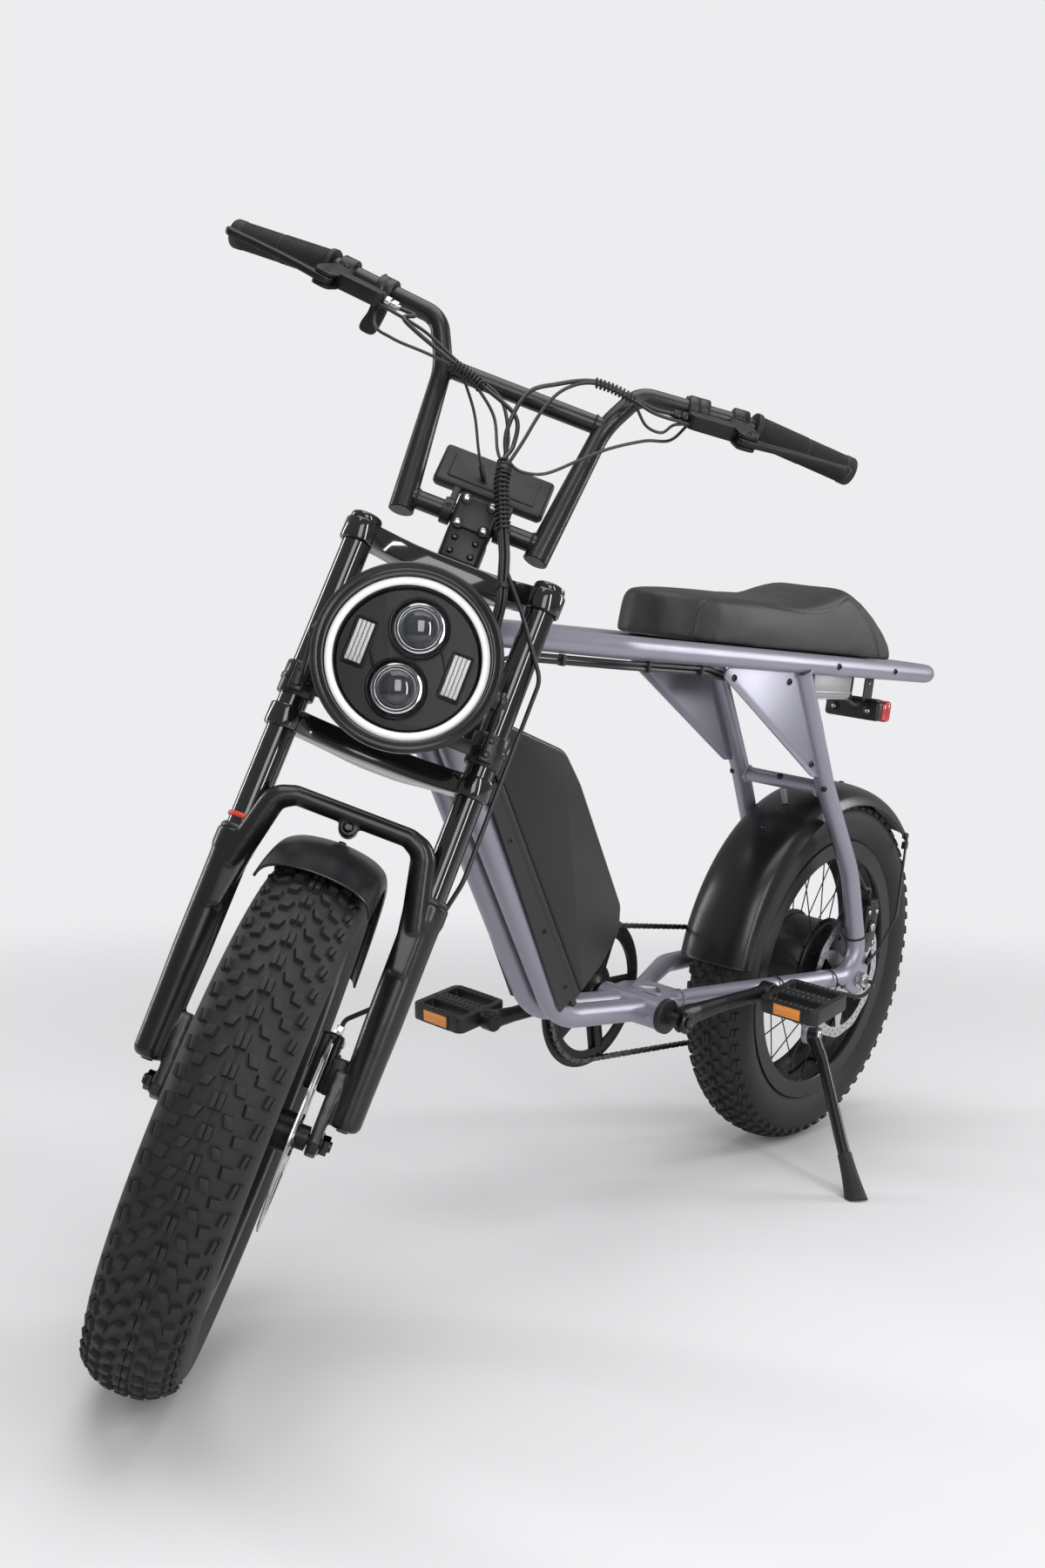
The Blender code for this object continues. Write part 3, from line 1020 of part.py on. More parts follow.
# Directions along the bar at the grips and at the controls
def frame_matrix(origin, x_way, y_way):
    x_way = Vector(x_way).normalized()
    z_way = x_way.cross(Vector(y_way)).normalized()
    y_way = z_way.cross(x_way)
    return Matrix([(x_way[k], y_way[k], z_way[k], origin[k]) for k in range(3)] + [(0, 0, 0, 1)])


grip_way = (Vector(GRIP_END) - Vector(GRIP_START)).normalized()
grip_length = (Vector(GRIP_END) - Vector(GRIP_START)).length
bar_way = (Vector(GRIP_START) - Vector(BAR_BEND)).normalized()
grip_ribs = []
for k in range(4):
    start = 0.012 + k * 0.0285
    grip_ribs += [(GRIP_RADIUS, start), (GRIP_RADIUS, start + 0.0230), (GRIP_RADIUS - 0.0018, start + 0.0257)]
grip_bore = bore_radius(BAR_RADIUS, 10)
grip_profile = [(grip_bore, 0.004), (GRIP_RADIUS + 0.0020, 0.004), (GRIP_RADIUS + 0.0020, 0.010)]
grip_profile += grip_ribs + [
    (GRIP_RADIUS + 0.0006, grip_length - 0.008), (GRIP_RADIUS + 0.0006, grip_length + 0.003),
    (0, grip_length + 0.005), (0, grip_length + FIT), (grip_bore, grip_length + FIT)]
for side, name in ((1, "left"), (-1, "right")):
    place = Matrix.Translation(GRIP_START) @ grip_way.to_track_quat("Z", "X").to_matrix().to_4x4()
    grip = moved(turned(grip_profile, 10, "Z"), place)
    node(f"grip_{name}", grip if side > 0 else mirrored(grip), steering, (0.030, 0.030, 0.031), 0.75)


# Brake levers on their perches; local X runs out along the bar, local Y from the pivot to the bar
clamp_place = Vector(BAR_BEND).lerp(Vector(GRIP_START), LEVER_CLAMP_SHARE)
to_bar = clamp_place - Vector(LEVER_PIVOT)
to_bar -= bar_way * to_bar.dot(bar_way)
bar_distance = to_bar.length
pivot_place = clamp_place - to_bar
lever_frame = frame_matrix(pivot_place, bar_way, to_bar)
lever_outline = [(-0.010, -0.004), (-0.006, -0.0095), (0.004, -0.0100), (0.020, -0.0075), (0.045, -0.0050),
                 (0.095, -0.0060), (0.108, -0.0080), (0.118, -0.0085), (0.1245, -0.0040), (0.1235, 0.0030),
                 (0.116, 0.0045), (0.106, 0.0025), (0.095, 0.0035), (0.045, 0.0050), (0.020, 0.0030),
                 (0.010, 0.0085),
                 (-0.002, 0.0105), (-0.010, 0.0060)]
lever_shape = slab(lever_outline, -0.0042, 0.0042, "XY", (circle((0, 0), bore_radius(0.0030, 8), 8),))
perch_body = slab([(-0.066, 0.022), (-0.062, 0.015), (-0.010, 0.0135), (0.012, 0.0130), (0.014, 0.026),
                   (0.010, bar_distance - 0.004), (-0.012, bar_distance - 0.004),
                   (-0.016, 0.036), (-0.066, 0.032)],
                  -0.0090, 0.0090, "XY")
ear_outline = [(-0.013, 0.0150), (-0.011, -0.008), (0.011, -0.008), (0.013, 0.0150), (0.013, 0.020),
               (-0.013, 0.020)]
ears = [slab(ear_outline, low, high, "XY") for low, high in ((0.0046, 0.0090), (-0.0090, -0.0046))]
pin = rod((0, 0, -0.0080), (0, 0, 0.0080), 0.0030, 8)
ring = rod((-0.009, bar_distance, 0), (0.009, bar_distance, 0), 0.0165, 12)
bar_hole = rod((-0.09, bar_distance, 0), (0.05, bar_distance, 0), bore_radius(BAR_RADIUS, 12), 12)
perch = cut(union(perch_body, *ears, pin, ring), bar_hole)
perch = moved(perch, lever_frame)
node("lever_perch_left", perch, steering, *black_metal)
node("lever_perch_right", mirrored(perch), steering, *black_metal)
flip = Matrix.Scale(-1, 4, (0, 1, 0))
turn_over = Matrix.Scale(-1, 4, (0, 0, 1))
for name, place in (("left", lever_frame), ("right", flip @ lever_frame @ turn_over)):
    holder = empty(f"lever_{name}_axis", steering, matrix=place)
    node(f"brake_lever_{name}", lever_shape.copy(), holder, (0.05, 0.05, 0.052), 0.35, 0.7)

# Thumb throttle on the right and switch pod with its button on the left
control_place = Vector(BAR_BEND).lerp(Vector(GRIP_START), CONTROL_SHARE)
control_frame = frame_matrix(control_place, bar_way, (-0.35, 0, -0.94))
sleeve = rod((-0.010, 0, 0), (0.010, 0, 0), 0.0160, 12)
paddle = slab([(-0.009, 0.010), (0.009, 0.010), (0.010, 0.034), (0.013, 0.046), (0.008, 0.052), (-0.006, 0.050),
               (-0.010, 0.036)], -0.0030, 0.0030, "XY")
throttle = cut(union(sleeve, paddle), rod((-0.05, 0, 0), (0.05, 0, 0), bore_radius(BAR_RADIUS, 12), 12))
throttle_axis = empty("throttle_axis", steering, matrix=flip @ control_frame @ turn_over)
node("thumb_throttle", throttle, throttle_axis, SATIN_BLACK, 0.5)

pod_frame = frame_matrix(control_place, bar_way, (-0.75, 0, 0.66))
pod_ring = rod((-0.012, 0, 0), (0.012, 0, 0), 0.0165, 12)
pod_box = block((-0.014, 0.004, -0.020), (0.014, 0.0260, 0.009), 0.003, 1)
pod_hole = rod((-0.05, 0, 0), (0.05, 0, 0), bore_radius(BAR_RADIUS, 12), 12)
button_bore = rod((0, 0.0190, -0.006), (0, 0.04, -0.006), 0.0062, 16)
pod = moved(cut(union(pod_ring, pod_box), pod_hole, button_bore), pod_frame)
node("switch_pod", pod, steering, SATIN_BLACK, 0.5)
button_axis = empty("button_axis", steering, matrix=pod_frame)
node("switch_button", rod((0, 0.0215, -0.006), (0, 0.0280, -0.006), 0.0058, 14), button_axis,
     (0.35, 0.02, 0.02), 0.4)

# Display between the uprights, hung from two rings on the lower bar
display_axis = empty("display_axis", steering, (LOWER_BAR[0], 0, LOWER_BAR[2]))
screen = block((-0.010, -0.0655, -0.029), (0.008, 0.0655, 0.029), 0.006)
screen = moved(screen, Matrix.Translation((-0.030, 0.0035, 0.0600)) @ Matrix.Rotation(DISPLAY_LEAN, 4, "Y"))
hangers = []
for y in (-0.0315, 0.0315):
    hangers.append(rod((0, y - 0.0055, 0), (0, y + 0.0055, 0), 0.0150, 12))
    hangers.append(slab([(-0.0145, 0.002), (-0.006, 0.011), (-0.020, 0.050), (-0.030, 0.046)],
                        y - 0.0040, y + 0.0040))
bar_slot = rod((0, -0.06, 0), (0, 0.06, 0), bore_radius(BAR_RADIUS, 14), 14)
node("display", cut(union(screen, *hangers), bar_slot), display_axis, SATIN_BLACK, 0.3)

# Headlight: bucket, reflector plate and front glass, on a bracket clamped to both stanchions
lamp_axis = empty("lamp_axis", steering, (LAMP_PIVOT, 0, LAMP_HEIGHT), Matrix.Rotation(LAMP_TILT, 4, "Y"))
lamp_rim = LAMP_FRONT - LAMP_PIVOT
hollow_radius = LAMP_RADIUS - 0.0122
hollow = [(0, lamp_rim - 0.0860), (0.0545, lamp_rim - 0.0710), (0.0740, lamp_rim - 0.0500),
          (hollow_radius, lamp_rim - 0.0230)]
bucket = turned([
    (0, lamp_rim - 0.0900), (0.030, lamp_rim - 0.0885), (0.060, lamp_rim - 0.0745), (0.0815, lamp_rim - 0.0470),
    (0.0900, lamp_rim - 0.0140), (LAMP_RADIUS, lamp_rim - 0.0080), (LAMP_RADIUS - 0.0010, lamp_rim - 0.0005),
    (0.0850, lamp_rim), (hollow_radius, lamp_rim - 0.0040), *reversed(hollow)], 24, "X")
pads = [rod((0, side * 0.0600, 0), (0, side * 0.0990, 0), 0.0110, 14) for side in (1, -1)]
inside = turned(hollow + [(hollow_radius, lamp_rim + 0.01), (0, lamp_rim + 0.01)], 24, "X")
node("headlight_shell", cut(union(bucket, *pads), inside), lamp_axis, SATIN_BLACK, 0.4, 0.2)
plate_back = lamp_rim - 0.0215
plate_radius = hollow_radius - 2 * FIT
reflector = turned([(0, plate_back), (plate_radius, plate_back), (plate_radius, plate_back + 0.0065),
                    (0.0720, plate_back + 0.0065), (0.0710, plate_back + 0.0030), (0, plate_back + 0.0030)],
                   24, "X")
eyes = [rod((plate_back + 0.001, 0, z), (plate_back + 0.0110, 0, z), 0.0260, 14, 0.0240)
        for z in (0.0330, -0.0310)]
bars = [block((plate_back + 0.001, y - 0.0040, -0.026), (plate_back + 0.0070, y + 0.0040, 0.026), 0.0015)
        for y in (0.0505, -0.0505)]
node("headlight_reflector", union(reflector, *eyes, *bars), lamp_axis, (0.03, 0.03, 0.033), 0.25, 0.3)
glass_back = lamp_rim - 0.0085
glass = [(0, glass_back + 0.0012), (0.0500, glass_back + 0.0002), (plate_radius, glass_back - 0.0020),
         (plate_radius, glass_back + 0.0010), (0.0500, glass_back + 0.0032), (0, glass_back + 0.0042)]
node("headlight_lens", turned(glass, 24, "X"), lamp_axis, (0.80, 0.82, 0.85), 0.05)

bracket_parts = []
for side in (1, -1):
    x, y = RAKE, side * STANCHION_HALF_SPACING
    low_clamp = block((x - 0.012, y - 0.0200, 0.4200), (x + 0.0220, y + 0.0200, 0.4550), 0.004, 1)
    low_arm, high_arm = sorted((side * 0.0995, side * 0.1040))
    arm = slab([(x + 0.010, 0.4260), (x + 0.030, 0.4260), (LAMP_PIVOT + 0.009, LAMP_HEIGHT - 0.008),
                (LAMP_PIVOT + 0.006, LAMP_HEIGHT + 0.010), (LAMP_PIVOT - 0.009, LAMP_HEIGHT + 0.009),
                (x + 0.010, 0.4500)], low_arm, high_arm)
    head = rod((LAMP_PIVOT, side * 0.1035, LAMP_HEIGHT), (LAMP_PIVOT, side * 0.1085, LAMP_HEIGHT), 0.0065, 8)
    bracket_parts += [low_clamp, arm, head]
cross_plate = block((RAKE + 0.0175, -0.0900, 0.4250), (RAKE + 0.0205, 0.0900, 0.4400))
clamp_holes = [rod((RAKE, y, 0.40), (RAKE, y, 0.48), clamp_bore, 16)
               for y in (STANCHION_HALF_SPACING, -STANCHION_HALF_SPACING)]
node("lamp_bracket", cut(union(cross_plate, *bracket_parts), *clamp_holes), steering, *black_metal)

# Fork lowers: both legs, dropout lugs and the arch, cast in one
legs_parts = []
for side in (1, -1):
    leg = turned([(0, LEG_BOTTOM), (0.0130, LEG_BOTTOM), (0.0175, LEG_BOTTOM + 0.006), (0.0178, 0.060),
                  (0.0195, 0.130), (0.0200, LEG_TOP - 0.022), (0.0222, LEG_TOP - 0.018),
                  (0.0222, LEG_TOP - 0.002), (0.0205, LEG_TOP),
                  (STANCHION_RADIUS + FIT, LEG_TOP), (STANCHION_RADIUS + FIT, LEG_BORE_END), (0, LEG_BORE_END)],
                 12, "Z")
    leg.transform(Matrix.Translation((0, side * STANCHION_HALF_SPACING, 0)))
    lug = slab([(-0.017, 0.000), (-0.012, -0.012), (0, -0.017), (0.012, -0.012), (0.017, 0.000),
                (0.0140, 0.040),
                (0.0100, 0.075), (-0.0100, 0.075), (-0.0140, 0.040)], LUG_INNER, LUG_OUTER)
    pad = block((-0.011, 0.0800, 0.0215), (0.011, 0.1000, 0.070), 0.002)
    legs_parts += [leg, lug, pad] if side > 0 else [leg, mirrored(lug), mirrored(pad)]
arch_foot = LEG_TOP - 0.0360
arch_under = TYRE_RADIUS + 0.0170
arch_top = TYRE_RADIUS + 0.0450
half_arch = [(0.1060, arch_foot), (0.0850, arch_top - 0.0110), (0.0700, arch_top)]
half_under = [(0.0110, arch_under - 0.0075), (0.0120, arch_under), (0.0640, arch_under),
              (0.0900, arch_foot - 0.0040)]
arch_outline = half_arch + [(-y, z) for y, z in reversed(half_arch)] + \
    [(-y, z) for y, z in reversed(half_under)] + half_under
arch = slab(arch_outline, 0.0168, 0.0290, "YZ")
arch_bolt = rod((0.0280, -0.006, arch_top - 0.0150), (0.0330, -0.006, arch_top - 0.0150), 0.0055, 10)
caliper_post = block((-0.0300, 0.0830, 0.0420), (-0.0100, 0.0960, 0.0880), 0.002)
lowers = union(*legs_parts[:3], arch, *legs_parts[3:], arch_bolt, caliper_post)
axle_bores = rod((0, -0.12, 0), (0, 0.12, 0), FRONT_AXLE_RADIUS + FIT, 16)
node("fork_lowers", cut(lowers, axle_bores), suspension, SATIN_BLACK, 0.32, 0.3)

front_guard = mudguard(TYRE_RADIUS + FRONT_GUARD_CREST_GAP, TYRE_RADIUS - FRONT_GUARD_LIP_DROP,
                       TYRE_HALF + FRONT_GUARD_SIDE_GAP, *FRONT_GUARD_TURN, 11)
node("front_fender", front_guard, suspension, SATIN_BLACK, 0.45)

front_shaft = rod((0, -0.1015, 0), (0, 0.1015, 0), FRONT_AXLE_RADIUS, 16)
front_nuts = [rod((0, side * (LUG_OUTER + FIT), 0), (0, side * 0.0985, 0), 0.0105, 6) for side in (1, -1)]
node("front_axle", union(front_shaft, *front_nuts), suspension, (0.25, 0.25, 0.26), 0.35, 0.9)

front_body = block((-0.0760, 0.0480, 0.0440), (-0.0390, 0.0740, 0.1070), 0.004, 1)
front_slot = block((-0.10, FRONT_ROTOR_PLANE - ROTOR_SLOT_HALF, 0.0),
                   (0.0, FRONT_ROTOR_PLANE + ROTOR_SLOT_HALF, 0.0965))
front_foot = block((-0.0560, 0.0700, 0.0440), (-0.0303, 0.0900, 0.0860), 0.002)
low_hose = rounded_path([(-0.060, 0.0600, 0.1040), (-0.060, 0.0640, 0.1240), (-0.030, 0.1050, 0.160),
                         (-0.024, 0.1180, 0.240), (-0.012, 0.1345, 0.300), (-0.006, 0.1345, 0.430)],
                        (0.01, 0.03, 0.04, 0.05), 30)
node("front_caliper", union(cut(front_body, front_slot), front_foot, tube(low_hose, 0.0025, 1)), suspension,
     *black_metal)

# Hoses and cables of the handlebar, gathered in a wrapped bundle
bundle = rounded_path([(0.012, 0.0080, 0.8300), (0.030, 0.0120, 0.7700), (0.0480, 0.0240, 0.7100),
                       (0.0570, 0.0440, 0.6550), (0.0570, 0.0620, 0.5950), (0.0250, 0.0700, 0.5300)],
                      (0.04, 0.06, 0.06, 0.04), 30)
perch_end = lever_frame @ Vector((-0.0660 - FIT, 0.0270, 0))
hose_left = rounded_path([perch_end, perch_end - bar_way * 0.045, (0.030, 0.0700, 0.850),
                          (0.020, 0.0150, 0.8250),
                          (0.024, 0.0100, 0.7900)], (0.02, 0.04, 0.02), 30)
right_end = flip @ perch_end
hose_right = rounded_path([right_end, right_end - (flip @ bar_way) * 0.045, (0.030, -0.0600, 0.8450),
                           (0.022, -0.0040, 0.8200), (0.027, 0.0080, 0.7850)], (0.02, 0.04, 0.02), 30)
front_hose = rounded_path([(0.0570, 0.0520, 0.6300), (0.0690, 0.0850, 0.5900), (0.0570, 0.1330, 0.5300),
                           (0.0330, 0.1410, 0.4500)], (0.03, 0.04), 30)
node("front_cables", union(tube(bundle, 0.0070, 2), tube(hose_left, 0.0026, 1), tube(hose_right, 0.0026, 1),
                           tube(front_hose, 0.0025, 1)), steering, RUBBER, 0.5)

# Side stand: a leg that hangs from its pin and reaches the floor
stand_axis = empty("stand_axis", bicycle, STAND_PIVOT)
leg_end = STAND_FOOT - STAND_PIVOT
leg_way = leg_end.normalized()
leg_head = rod(STAND_PIN_WAY * -0.0070, STAND_PIN_WAY * 0.0080, 0.0125, 16)
leg_start = STAND_PIN_WAY * 0.0010 + leg_way * 0.004
leg_path = rounded_path([leg_start, leg_way * 0.030 + STAND_PIN_WAY * 0.003, leg_end - leg_way * 0.004],
                        (0.03,), 20)
foot = rod(leg_end + Vector((-0.004, 0.004, 0.000)), leg_end - leg_way * 0.045, 0.0170, 14, STAND_LEG_RADIUS)
pin_bore = rod(STAND_PIN_WAY * -0.03, STAND_PIN_WAY * 0.03, bore_radius(STAND_PIN_RADIUS, 12), 12)
stand_leg = cut(union(leg_head, tube(leg_path, STAND_LEG_RADIUS, 2), foot), pin_bore)
stand = node("kickstand_leg", stand_leg, stand_axis, SATIN_BLACK, 0.45, 0.4)


# Stand the bicycle on the floor: lean it, level both tyres, then trim the foot to the floor
def world_points(name):
    made = bpy.data.objects[name]
    bpy.context.view_layer.update()
    points = np.empty(len(made.data.vertices) * 3)
    made.data.vertices.foreach_get("co", points)
    matrix = np.array(made.matrix_world)
    return points.reshape(-1, 3) @ matrix[:3, :3].T + matrix[:3, 3]


pitch = 0.0
for _ in range(6):
    bicycle.matrix_local = Matrix.Rotation(pitch, 4, "Y") @ Matrix.Rotation(-LEAN, 4, "X")
    rear_low = world_points("rear_tyre")
    front_low = world_points("front_tyre")
    rear_point = rear_low[rear_low[:, 2].argmin()]
    front_point = front_low[front_low[:, 2].argmin()]
    pitch += math.atan2(front_point[2] - rear_point[2], front_point[0] - rear_point[0])
floor_height = float(world_points("rear_tyre")[:, 2].min())
stand_inverse = stand_axis.matrix_world.inverted() @ Matrix.Translation((0, 0, floor_height))
floor_box = moved(block((-3, -3, -1), (3, 3, 0)), stand_inverse)
trimmed = combined(stand.data, [floor_box], "DIFFERENCE")
trimmed.materials.clear()
trimmed.materials.append(bpy.data.materials["kickstand_leg"])
trimmed.shade_smooth()
trimmed.set_sharp_from_angle(angle=math.radians(35))
stand.data = trimmed

lows = []
highs = []
for made in BICYCLE.objects:
    if made.type == "MESH":
        points = world_points(made.name)
        lows.append(points.min(axis=0))
        highs.append(points.max(axis=0))
low = np.min(lows, axis=0)
high = np.max(highs, axis=0)
shift = Vector((-(low[0] + high[0]) / 2, -(low[1] + high[1]) / 2, -low[2]))
bicycle.matrix_local = Matrix.Translation(shift) @ bicycle.matrix_local
bpy.context.view_layer.update()
print("pitch", round(math.degrees(pitch), 3), "floor", round(floor_height, 5), "foot low",
      round(float(world_points("kickstand_leg")[:, 2].min()), 5))
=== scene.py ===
# %% [markdown]
# # A fat-tyre electric bicycle
#
# The bicycle stands on its side stand with the front wheel turned. Its solids come from the CAD model,
# which loads as a fixed frame: every object there already stands in its place, in metres. This lesson
# dresses that frame with the shapes and finishes that one sees on the real machine.

# %% Load the CAD frame
import math

import bmesh
import bpy
from mathutils import Matrix, Vector
from mathutils.bvhtree import BVHTree
from mathutils.kdtree import KDTree


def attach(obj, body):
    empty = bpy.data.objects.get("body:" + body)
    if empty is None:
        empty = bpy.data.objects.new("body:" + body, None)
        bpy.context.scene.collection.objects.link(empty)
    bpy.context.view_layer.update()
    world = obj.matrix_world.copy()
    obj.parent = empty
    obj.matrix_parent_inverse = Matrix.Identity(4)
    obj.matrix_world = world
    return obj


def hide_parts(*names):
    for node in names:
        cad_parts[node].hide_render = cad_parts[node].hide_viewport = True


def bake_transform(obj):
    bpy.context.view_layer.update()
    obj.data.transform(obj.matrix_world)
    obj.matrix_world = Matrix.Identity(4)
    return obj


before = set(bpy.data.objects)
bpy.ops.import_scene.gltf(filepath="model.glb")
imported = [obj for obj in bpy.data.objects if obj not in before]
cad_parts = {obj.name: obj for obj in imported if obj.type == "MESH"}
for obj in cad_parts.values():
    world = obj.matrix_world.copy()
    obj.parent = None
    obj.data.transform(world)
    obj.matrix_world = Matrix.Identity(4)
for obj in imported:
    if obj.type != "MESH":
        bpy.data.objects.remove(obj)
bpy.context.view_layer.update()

# %% [markdown]
# ## Places on the bicycle
#
# A leaning, turned machine is hard to model in world coordinates. The trick is a few matrices, one for
# each part that has its own directions: the frame, the fork, each wheel, the lamp. A piece is modelled
# upright and straight, and its matrix then carries it to its place. X points forward, Y to the rider's
# left, Z up.

# %% Matrices of the frame, the fork and the wheels
LEAN = math.radians(7.54)
PITCH = math.radians(0.2331)
HEAD_ANGLE = math.radians(67.65)
STEERING = math.radians(40.6)
WHEELBASE = 1.197
TYRE_RADIUS = 0.282
RAKE = 0.039
LAMP_PIVOT = 0.112
LAMP_HEIGHT = 0.478
LAMP_TILT = math.radians(4.0)
LEG_SPACING = 0.1055
DOWN_TUBE_ANGLE = math.radians(54.2)
CRANK_ANGLE = math.radians(171.2)
PEDAL_REACH = 0.170
SIDES = ((1, "left"), (-1, "right"))


def shifted(*place):
    return Matrix.Translation(Vector(place))


def turned(degrees, axis):
    return Matrix.Rotation(math.radians(degrees), 4, axis)


def facing(way):
    """Turns the Z axis to a direction."""
    return Vector(way).to_track_quat("Z", "Y").to_matrix().to_4x4()


STANDING_AT = (-0.574032, -0.12319, 0.001968)
BIKE = shifted(*STANDING_AT) @ Matrix.Rotation(PITCH, 4, "Y") @ Matrix.Rotation(-LEAN, 4, "X")
HEAD_FOOT = Vector((WHEELBASE - RAKE * math.sin(HEAD_ANGLE), 0, TYRE_RADIUS - RAKE * math.cos(HEAD_ANGLE)))
HEAD = BIKE @ shifted(*HEAD_FOOT) @ Matrix.Rotation(HEAD_ANGLE - math.pi / 2, 4, "Y")
FORK = HEAD @ Matrix.Rotation(STEERING, 4, "Z")
LOWERS = FORK @ shifted(RAKE, 0, 0)
REAR_HUB = BIKE @ shifted(0, 0, TYRE_RADIUS)
LAMP = FORK @ shifted(LAMP_PIVOT, 0, LAMP_HEIGHT) @ Matrix.Rotation(LAMP_TILT, 4, "Y")
Z_TO_Y = Matrix.Rotation(-math.pi / 2, 4, "X")
Z_TO_X = Matrix.Rotation(math.pi / 2, 4, "Y")
OTHER_SIDE = Matrix.Scale(-1, 4, (0, 1, 0))
ON_SIDE = {1: Matrix(), -1: OTHER_SIDE}
SIDE_PLANE = Matrix(((1, 0, 0, 0), (0, 0, 1, 0), (0, 1, 0, 0), (0, 0, 0, 1)))
FRONT_PLANE = Matrix(((0, 0, 1, 0), (1, 0, 0, 0), (0, 1, 0, 0), (0, 0, 0, 1)))
print("front hub at", tuple(round(v, 3) for v in LOWERS.translation))

# %% [markdown]
# ## Small modelling helpers
#
# Most of the bicycle is turned on a lathe, bent from tube, cut from plate or cast. So there is one helper
# for each way of making: `lathe` spins a profile, `pipe` sweeps a circle along a bent path, `plate` thickens
# an outline, `block` and `rod` start from the plain solids and ease their edges, as a cutter or a mould does.
# Eased edges matter, because they catch the light, and a sharp edge never does.

# %% Lathe, pipe, plate, block and rod
SCENE = bpy.context.scene


def tidied(bm, gap=1e-6):
    bmesh.ops.remove_doubles(bm, verts=bm.verts, dist=gap)
    bmesh.ops.recalc_face_normals(bm, faces=bm.faces)
    return bm


def moved(bm, *matrices):
    """Carries a shape through matrices, last one first, and turns its faces out again if it was mirrored."""
    whole = Matrix()
    for matrix in matrices:
        whole = whole @ matrix
    bmesh.ops.transform(bm, matrix=whole, verts=bm.verts)
    if whole.determinant() < 0:
        bmesh.ops.reverse_faces(bm, faces=bm.faces)
    return bm


def together(*shapes):
    """Puts several shapes into one mesh, side by side."""
    whole = bmesh.new()
    for shape in shapes:
        mesh = bpy.data.meshes.new("part")
        shape.to_mesh(mesh)
        shape.free()
        whole.from_mesh(mesh)
        bpy.data.meshes.remove(mesh)
    return whole


def as_bmesh(holder):
    """The shape of an object with its curve or its modifiers worked out; the object goes."""
    mesh = bpy.data.meshes.new_from_object(holder.evaluated_get(bpy.context.evaluated_depsgraph_get()))
    bpy.data.objects.remove(holder)
    bm = bmesh.new()
    bm.from_mesh(mesh)
    bpy.data.meshes.remove(mesh)
    return bm


def ease_edges(bm, edges, width, segments):
    bmesh.ops.bevel(bm, geom=edges, offset=width, segments=segments, profile=0.5, affect="EDGES",
                    clamp_overlap=True, material=-1)


def level_edges(bm):
    return [edge for edge in bm.edges if abs(edge.verts[0].co.z - edge.verts[1].co.z) < 1e-7]


def lathe(profile, steps=64):
    """Spins points of (radius, distance along the axis) once round Z."""
    bm = bmesh.new()
    points = [bm.verts.new((radius, 0, along)) for radius, along in profile]
    edges = [bm.edges.new(pair) for pair in zip(points, points[1:])]
    bmesh.ops.spin(bm, geom=points + edges, cent=(0, 0, 0), axis=(0, 0, 1), angle=math.tau, steps=steps,
                   use_merge=True)
    return tidied(bm)


def closed_lathe(profile, steps=40):
    """Spins a profile that comes back to its first point."""
    return lathe([*profile, profile[0]], steps)


def rounded(points, radii, step=6):
    """Replaces the inner corners of a path with arcs."""
    points = [Vector(p) for p in points]
    path = [points[0]]
    for before, corner, after, radius in zip(points, points[1:], points[2:], radii):
        arriving = (before - corner).normalized()
        leaving = (after - corner).normalized()
        half = arriving.angle(leaving) / 2
        turn = math.pi - 2 * half
        if radius <= 0 or turn < math.radians(1):
            path.append(corner)
            continue
        centre = corner + (arriving + leaving).normalized() * radius / math.sin(half)
        start = corner + arriving * radius / math.tan(half) - centre
        end = corner + leaving * radius / math.tan(half) - centre
        count = max(2, math.ceil(math.degrees(turn) / step))
        for k in range(count + 1):
            path.append(centre + start.slerp(end, k / count).normalized() * radius)
    path.append(points[-1])
    return path


def swept(curve):
    """Makes a mesh of a curve; the curve goes."""
    holder = bpy.data.objects.new("path", curve)
    SCENE.collection.objects.link(holder)
    bpy.context.view_layer.update()
    bm = as_bmesh(holder)
    bpy.data.curves.remove(curve)
    return tidied(bm)


def pipe(path, radius, sides=24, scales=None, closed=False):
    """A round tube along a path, swept by a bevelled curve and then made a mesh."""
    curve = bpy.data.curves.new("path", "CURVE")
    curve.dimensions = "3D"
    curve.bevel_depth = radius
    curve.bevel_resolution = (sides - 4) // 2
    curve.use_fill_caps = not closed
    spline = curve.splines.new("POLY")
    spline.points.add(len(path) - 1)
    spline.use_cyclic_u = closed
    for k, point in enumerate(path):
        spline.points[k].co = (*point, 1)
        spline.points[k].radius = scales[k] if scales else 1
    return swept(curve)


def plate(outline, low, high, ease=0.0, segments=2):
    """Thickens a flat outline in X and Y from low to high along Z, and eases both rims."""
    bm = bmesh.new()
    face = bm.faces.new([bm.verts.new((a, b, low)) for a, b in outline])
    grown = bmesh.ops.extrude_face_region(bm, geom=[face], use_keep_orig=True)
    lifted = [item for item in grown["geom"] if isinstance(item, bmesh.types.BMVert)]
    bmesh.ops.translate(bm, verts=lifted, vec=(0, 0, high - low))
    bmesh.ops.recalc_face_normals(bm, faces=bm.faces)
    if ease:
        ease_edges(bm, level_edges(bm), ease, segments)
    return bm


def block(low, high, ease=0.0, segments=3):
    low, high = Vector(low), Vector(high)
    bm = bmesh.new()
    size = Matrix.Diagonal((*(high - low), 1))
    bmesh.ops.create_cube(bm, size=1, matrix=Matrix.Translation((low + high) / 2) @ size)
    if ease:
        ease_edges(bm, bm.edges[:], ease, segments)
    return bm


